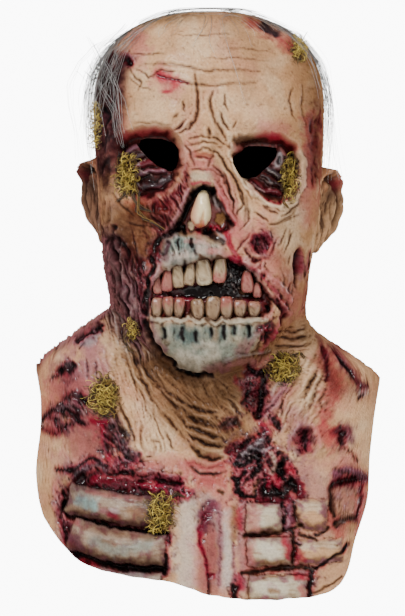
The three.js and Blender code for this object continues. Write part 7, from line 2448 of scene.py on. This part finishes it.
@dataclass
class Moss:
    """The tufts of dry moss, each a tangle of curled fibres over its solid."""

    tree: bpy.types.GeometryNodeTree
    skin: CastSkin
    radius: float = 0.39
    places: KDTree = field(init=False)

    def __post_init__(self) -> None:
        """Note where the front of the finished skin is."""
        front = self.skin.outer[self.skin.outer[..., 1] < 10]
        self.places = KDTree(len(front))
        for index, (x, y, z) in enumerate(front.tolist()):
            self.places.insert((x, z, y * 0.01), index)
        self.places.balance()

    def build(self) -> list[bpy.types.Object]:
        """Grow every tuft.

        Returns:
            Their objects, in the table's order.
        """
        return [self.tuft(k, *line) for k, line in enumerate(MOSS)]

    def tuft(
        self, index: int, node: str, middle: tuple[float, float], wide: float, tall: float, count: int, strays: tuple
    ) -> bpy.types.Object:
        """Grow one tuft.

        Args:
            index: Its place in the table.
            node: The solid that it replaces.
            middle: Its middle, seen from the front.
            wide: Half its width.
            tall: Half its height.
            count: How many fibres it has.
            strays: Paths of the strands that hang out of it.

        Returns:
            The object.
        """
        rng = np.random.default_rng(200 + index)
        paths = []
        for _ in range(count):
            turn, out = rng.uniform(0, 2 * math.pi), 1.08 * rng.uniform(0, 1) ** 0.6
            x, z = middle[0] + wide * out * math.cos(turn), middle[1] + tall * out * math.sin(turn)
            rise = rng.uniform(-0.1, 1.0) * 6.5 * math.sqrt(max(1 - 0.8 * out**2, 0.05))
            paths.append(self.curl(rng, x, z, rise, rng.uniform(5, 14) * min(wide / 9, 1.3) ** 0.5))
        for stray in strays:
            for _ in range(7):
                corners = np.array(stray) + rng.normal(0, 0.9, (len(stray), 2))
                paths.append(self.drape(corners, rng.uniform(0.4, 2.0)))
        # The tip colour's share grows with the height over the skin, so fibres deep in the tuft take painted shade.
        shares = [np.array([(self.depth(x, z) - y - 1.8) / 6.0 for x, y, z in path]).clip(0, 1) for path in paths]
        return grow_strands(f"{node}_fibres", paths, self.radius, self.tree, 300 + index, shares)

    def curl(self, rng: np.random.Generator, x: float, z: float, rise: float, length: float) -> np.ndarray:
        """One curled fibre that starts at a place over the skin.

        Args:
            rng: The tuft's random numbers.
            x: Where it starts across.
            z: The height where it starts.
            rise: How far off the skin it starts.
            length: Its length.

        Returns:
            The fibre's line.
        """
        steps = 9
        heading = rng.normal(size=3)
        heading[1] *= 0.6
        heading /= np.linalg.norm(heading)
        spin = rng.normal(size=3)
        spin /= np.linalg.norm(spin)
        turn = rng.uniform(0.25, 0.7)
        at = np.array([x, self.depth(x, z) - rise, z])
        places = [at]
        for _ in range(steps - 1):
            heading = heading * math.cos(turn) + np.cross(spin, heading) * math.sin(turn) + rng.normal(0, 0.12, 3)
            heading /= np.linalg.norm(heading)
            at = at + heading * length / steps
            at[1] = min(at[1], self.depth(at[0], at[2]) + 0.5)
            places.append(at.copy())
        return np.array(places)

    def drape(self, corners: np.ndarray, rise: float) -> np.ndarray:
        """A stray strand that lies along a path over the skin.

        Args:
            corners: The path, seen from the front.
            rise: How far off the skin it lies.

        Returns:
            The strand's line.
        """
        share = np.linspace(0, len(corners) - 1, 5 * len(corners))
        x, z = (np.interp(share, np.arange(len(corners)), corners[:, k]) for k in (0, 1))
        y = [self.depth(a, b) - rise for a, b in zip(x, z)]
        return np.stack([x, y, z], -1)

    def depth(self, x: float, z: float) -> float:
        """The y of the finished skin behind a place seen from the front."""
        return self.places.find((x, z, -0.5))[0][2] * 100


@dataclass(frozen=True)
class Lock:
    """A lock of hair: where it is rooted, how it falls and how many strands it has."""

    turn: float  # degrees round from the face, to the viewer's right
    root: float  # mm below the crown
    length: float  # mm
    spread: float  # mm, how far the roots scatter
    count: int
    lift: float  # mm that it stands off the head
    sway: float  # mm that it swings across on the way down


@dataclass
class Hair:
    """The sparse silver-grey hair round the crown, temples and back of the head."""

    tree: bpy.types.GeometryNodeTree
    radius: float = 0.13
    share: float = 0.55  # of the strands that a full head would have

    def build(self) -> bpy.types.Object:
        """Grow all the locks and the single strands over the forehead.

        Returns:
            The object.
        """
        rng = np.random.default_rng(77)
        paths = []
        for lock in self.locks():
            for _ in range(lock.count):
                if rng.uniform(0, 1) < self.share:
                    paths.append(self.fall(rng, lock))
        for corners, count, scatter in FRONT_STRANDS:
            for _ in range(count):
                paths.append(self.trail(rng, np.array(corners, float), scatter))
        return grow_strands("hair_strands", paths, self.radius, self.tree, 78, power=0.9)

    def locks(self) -> list[Lock]:
        """The locks, thick at the left temple and thin over the back.

        Returns:
            Every lock.
        """
        rng = np.random.default_rng(79)
        made = [Lock(-78, 16, 66, 9, 40, 5, -6), Lock(-84, 26, 74, 9, 44, 7, 7), Lock(-90, 22, 96, 8, 30, 11, 4),
                Lock(-70, 10, 52, 8, 24, 3, 6), Lock(-96, 34, 90, 10, 40, 7, -6), Lock(80, 10, 90, 8, 30, 5, 3),
                Lock(88, 18, 110, 9, 40, 7, 3), Lock(96, 28, 110, 10, 40, 6, 0), Lock(68, 7, 60, 6, 14, 2, 6)]
        for turn in range(104, 258, 7):
            root = 8 + 34 * rng.uniform(0, 1)
            made.append(Lock(turn, root, rng.uniform(90, 165), 9, 34, rng.uniform(2, 6), rng.uniform(-8, 8)))
        for turn in range(-180, 180, 24):
            made.append(Lock(turn + 12, 3, rng.uniform(18, 34), 3, 8, 3.0, rng.uniform(-6, 6)))
        return made

    def fall(self, rng: np.random.Generator, lock: Lock) -> np.ndarray:
        """One strand of a lock, from its root down over the head.

        Args:
            rng: The hair's random numbers.
            lock: The lock.

        Returns:
            The strand's line.
        """
        steps = 12
        reach = float(FORM.radius(np.array([math.radians(lock.turn)]), np.array([-max(lock.root, 6.0)]))[0])
        turn = math.radians(lock.turn) + rng.normal(0, lock.spread / max(reach, 12))
        root = max(lock.root + rng.normal(0, lock.spread * 0.6), 1.5)
        length = lock.length * rng.uniform(0.55, 1.1)
        share = np.linspace(0, 1, steps)
        z = -(root + length * share)
        lift = 0.4 + lock.lift * rng.uniform(0.2, 1.3) * np.sin(share * rng.uniform(1.6, 2.9))
        wave = 1.8 * np.sin(share * rng.uniform(3, 7) + rng.uniform(0, 6)) * share
        across = (lock.sway * share + wave + rng.normal(0, 3.0) * share**1.5) / reach
        return FORM.point(turn + across, z, np.maximum(lift, 0.3))

    def trail(self, rng: np.random.Generator, corners: np.ndarray, scatter: float) -> np.ndarray:
        """One strand along a path seen from the front, lying just off the skin.

        Args:
            rng: The hair's random numbers.
            corners: The path.
            scatter: How far the strands stray from it.

        Returns:
            The strand's line.
        """
        share = np.linspace(0, len(corners) - 1, 4 * len(corners))
        x, z = (np.interp(share, np.arange(len(corners)), corners[:, k]) for k in (0, 1))
        x = x + rng.normal(0, scatter) + 0.8 * np.sin(share * 2.1 + rng.uniform(0, 6))
        x = x + rng.normal(0, scatter) * share / 4
        z = np.minimum(z + rng.normal(0, scatter), -0.6)
        widest = np.array([float(np.abs(FORM.point(np.array([s * math.pi / 2]), np.array([b]))[0, 0]))
                           for s, b in zip(np.sign(x), z)])
        held = np.sign(x) * np.minimum(np.abs(x), widest * 0.995)
        angle = FORM.angle_across(held, z, np.zeros(len(x), bool))
        out = np.maximum(np.abs(x) - widest, 0)
        points = FORM.point(angle, z, 7.5)
        points[:, 0] += np.sign(x) * out
        points[:, 2] += rng.uniform(0.5, 3.6) * ease(z, -16, -2)
        return points


# Strands seen over the front: their path, how many lie along it, and their scatter in mm.
FRONT_STRANDS = (
    (((-62, -20), (-86, -28), (-99, -42), (-107, -60), (-106, -80), (-101, -104), (-99, -122)), 5, 1.0),
    (((-58, -18), (-78, -30), (-88, -48), (-92, -72), (-94, -98)), 14, 3.6),
    (((-90, -26), (-80, -44), (-72, -66), (-69, -92)), 6, 3.0),
    (((-54, -16), (-70, -32), (-80, -56), (-84, -80)), 14, 4.6),
    (((-99, -50), (-88, -62), (-78, -84), (-76, -104)), 5, 3.0),
    (((-50, -14), (-64, -34), (-72, -62), (-70, -96), (-66, -112)), 5, 1.6),
    (((20, -2), (8, -8), (13, -24), (20, -50), (27, -78)), 2, 0.7),
    (((28, -3), (48, -10), (70, -18), (90, -42), (97, -78), (99, -112), (104, -138)), 6, 1.2),
    (((34, -6), (60, -20), (78, -38), (88, -66)), 4, 1.8),
    (((-20, -3), (-36, -9), (-52, -20), (-66, -34)), 8, 1.6),
    (((-50, -12), (-30, -4.5), (-8, -1.5), (14, -1.2), (34, -4)), 16, 1.4),
    (((-30, -6), (-12, -1.0), (6, -0.6), (24, -3)), 14, 1.6),
    (((10, -1), (26, -2.5), (42, -8), (58, -14)), 12, 1.6),
    (((-92, -40), (-80, -60), (-70, -76), (-64, -100)), 4, 2.4),
    (((-66, -40), (-80, -58), (-90, -84), (-88, -110)), 5, 3.0),
)


def plain_material(name: str, code: str, glow: float) -> bpy.types.Material:
    """A plain matt material for the stage.

    Args:
        name: What it is.
        code: Its colour.
        glow: How strongly it is lit from behind.

    Returns:
        The material.
    """
    material = bpy.data.materials.new(name)
    material.use_nodes = True
    shader = material.node_tree.nodes["Principled BSDF"]
    shader.inputs["Base Color"].default_value = (*linear(rgb(code)), 1)
    shader.inputs["Roughness"].default_value = 0.9
    shader.inputs["Emission Color"].default_value = (1, 1, 1, 1)
    shader.inputs["Emission Strength"].default_value = glow
    return material


@dataclass
class Stage:
    """A plain pale floor, a far wall of lit paper, soft studio lights and the camera."""

    floor: float = -0.62  # its height in metres, as all lengths here
    floor_radius: float = 3.0
    wall_radius: float = 24.0  # far enough to leave room for a camera behind the mask
    wall_turn: float = 70.0  # degrees to each side of straight behind
    wall_ends: tuple[float, float] = (-5.6, 4.6)
    wall_glow: float = 9.0
    aim: tuple[float, float, float] = (-0.0045, -0.05, -0.242)
    distance: float = 8.0  # from the aim to the camera, so the photograph's flat view holds
    tall: float = 0.505  # what the camera's frame takes in at the aim
    surroundings: float = 0.55

    def build(self) -> None:
        """Lay the floor, put up the wall, hang the lights and set the camera."""
        turns = np.linspace(0, 2 * math.pi, 96, endpoint=False)
        disc = [(self.floor_radius * math.cos(t), self.floor_radius * math.sin(t), self.floor) for t in turns]
        self.sheet("floor", disc, [tuple(range(96))], plain_material("pale_floor", "#F4F3F1", 0.0))
        turns = np.radians(np.linspace(-self.wall_turn, self.wall_turn, 29))
        arc = [(self.wall_radius * math.sin(t), self.wall_radius * math.cos(t), z)
               for t in turns for z in self.wall_ends]
        faces = [(2 * i, 2 * i + 1, 2 * i + 3, 2 * i + 2) for i in range(28)]
        self.sheet("wall", arc, faces, plain_material("lit_paper", "#FBFBFA", self.wall_glow))
        self.light("key", (-0.8, -1.7, 1.5), 0.8, 125, self.aim)
        self.light("fill", (1.9, -2.2, 0.2), 1.8, 50, self.aim)
        self.shine()
        self.shoot()

    def sheet(self, name: str, points: list, faces: list, material: bpy.types.Material) -> bpy.types.Object:
        """Make a flat or bent sheet of the stage.

        Args:
            name: Its name.
            points: Its corners in metres.
            faces: Corner indices of each face.
            material: Its material.

        Returns:
            The sheet.
        """
        mesh = bpy.data.meshes.new(name)
        mesh.from_pydata(points, [], faces)
        mesh.materials.append(material)
        sheet = bpy.data.objects.new(name, mesh)
        bpy.context.scene.collection.objects.link(sheet)
        return sheet

    def light(self, name: str, place: tuple, size: float, power: float, towards: tuple) -> None:
        """Hang a large square lamp.

        Args:
            name: Its name.
            place: Where it hangs.
            size: Its side in metres.
            power: Its power in watts.
            towards: What it faces.
        """
        lamp = bpy.data.lights.new(name, "AREA")
        lamp.shape, lamp.size, lamp.energy = "SQUARE", size, power
        hung = bpy.data.objects.new(name, lamp)
        hung.location = place
        hung.visible_camera = False
        hung.rotation_euler = (Vector(towards) - Vector(place)).to_track_quat("-Z", "Y").to_euler()
        bpy.context.scene.collection.objects.link(hung)

    def shine(self) -> None:
        """Light the surroundings evenly."""
        world = bpy.data.worlds.new("studio")
        world.use_nodes = True
        back = world.node_tree.nodes["Background"]
        back.inputs["Color"].default_value = (1, 1, 1, 1)
        back.inputs["Strength"].default_value = self.surroundings
        bpy.context.scene.world = world

    def shoot(self) -> None:
        """Set the camera straight in front, at the height of the photograph's."""
        camera = bpy.data.cameras.new("camera")
        camera.sensor_fit, camera.sensor_height = "VERTICAL", 36.0
        camera.lens = 36.0 * self.distance / self.tall
        camera.clip_end = 50.0
        holder = bpy.data.objects.new("camera", camera)
        holder.location = (self.aim[0], self.aim[1] - self.distance, self.aim[2])
        holder.rotation_euler = (math.pi / 2, 0, 0)
        bpy.context.scene.collection.objects.link(holder)
        bpy.context.scene.camera = holder


def main() -> None:
    """Build the looks of the mask in order and hand each piece to the frame."""
    logging.basicConfig(level=logging.INFO, format="%(message)s")
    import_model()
    # Latex under thin matt acrylics: it looks like dull dry skin, and gleams wet only where the wounds are varnished.
    # Its pores are about 0.3 mm wide, too fine to show, so they are drawn coarser.
    latex = Finish(
        "painted_latex", matt=0.6, wet=0.3, mottle=0.14, grit=1.9, pore=1.3, depth=0.6, coat=0.6, shine=0.0
    ).make()
    # Tooth paint: harder and smoother than the skin, so each crown catches a small soft light.
    enamel = Finish(
        "aged_tooth_paint", matt=0.5, wet=0.18, mottle=0.07, grit=1.5, pore=1.4, depth=0.12, coat=0.3, shine=0.2
    ).make()
    # Dry moss: near black at the root and straw gold at the tip, so that a tuft looks deep and crumbly; the fibres
    # darken the nearer they lie to the skin, partly the moss's own colour and partly painted shade deep in the tuft.
    # Its fibres are about 0.2 mm thick, too fine to show, so they are drawn coarser.
    moss = StrandFinish("dry_moss", "#1A1206", "#E2C877", "#7A5A20", 0.85).make()
    # Dyed silver hair: grey at the root, nearly white at the tip and dark in some strands, with a faint gloss.
    hair = StrandFinish("silver_grey_hair", "#3E3A38", "#EFECE7", "#2C2928", 0.4).make()

    canvas = paint_canvas()
    LOG.info("canvas painted")
    skin = CastSkin(canvas, latex)
    colour, gloss = skin.colours()
    spans = (("crown_latex", -1, skin.eye_row), ("face_latex", skin.eye_row, skin.shoulder_row),
             ("bib_latex", skin.shoulder_row, len(skin.drops) - 1))
    shells = [skin.piece(name, first, last, colour, gloss) for name, first, last in spans]
    LOG.info("cast shaped")
    set_in = Teeth(canvas, enamel).build() + [NoseBone(enamel).build()] + [Ear(side, latex).build() for side in Side]
    for piece in shells + set_in:
        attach(piece, "root")
        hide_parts("latex_skin")

    strands = strand_tree(moss)
    for line, tuft in zip(MOSS, Moss(strands, skin).build()):
        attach(tuft, "root")
        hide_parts(line[0])
    LOG.info("moss grown")
    locks = Hair(strand_tree(hair)).build()
    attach(locks, "root")
    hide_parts("hair_locks")
    LOG.info("hair grown")

    Stage().build()


if __name__ == "__main__":
    main()
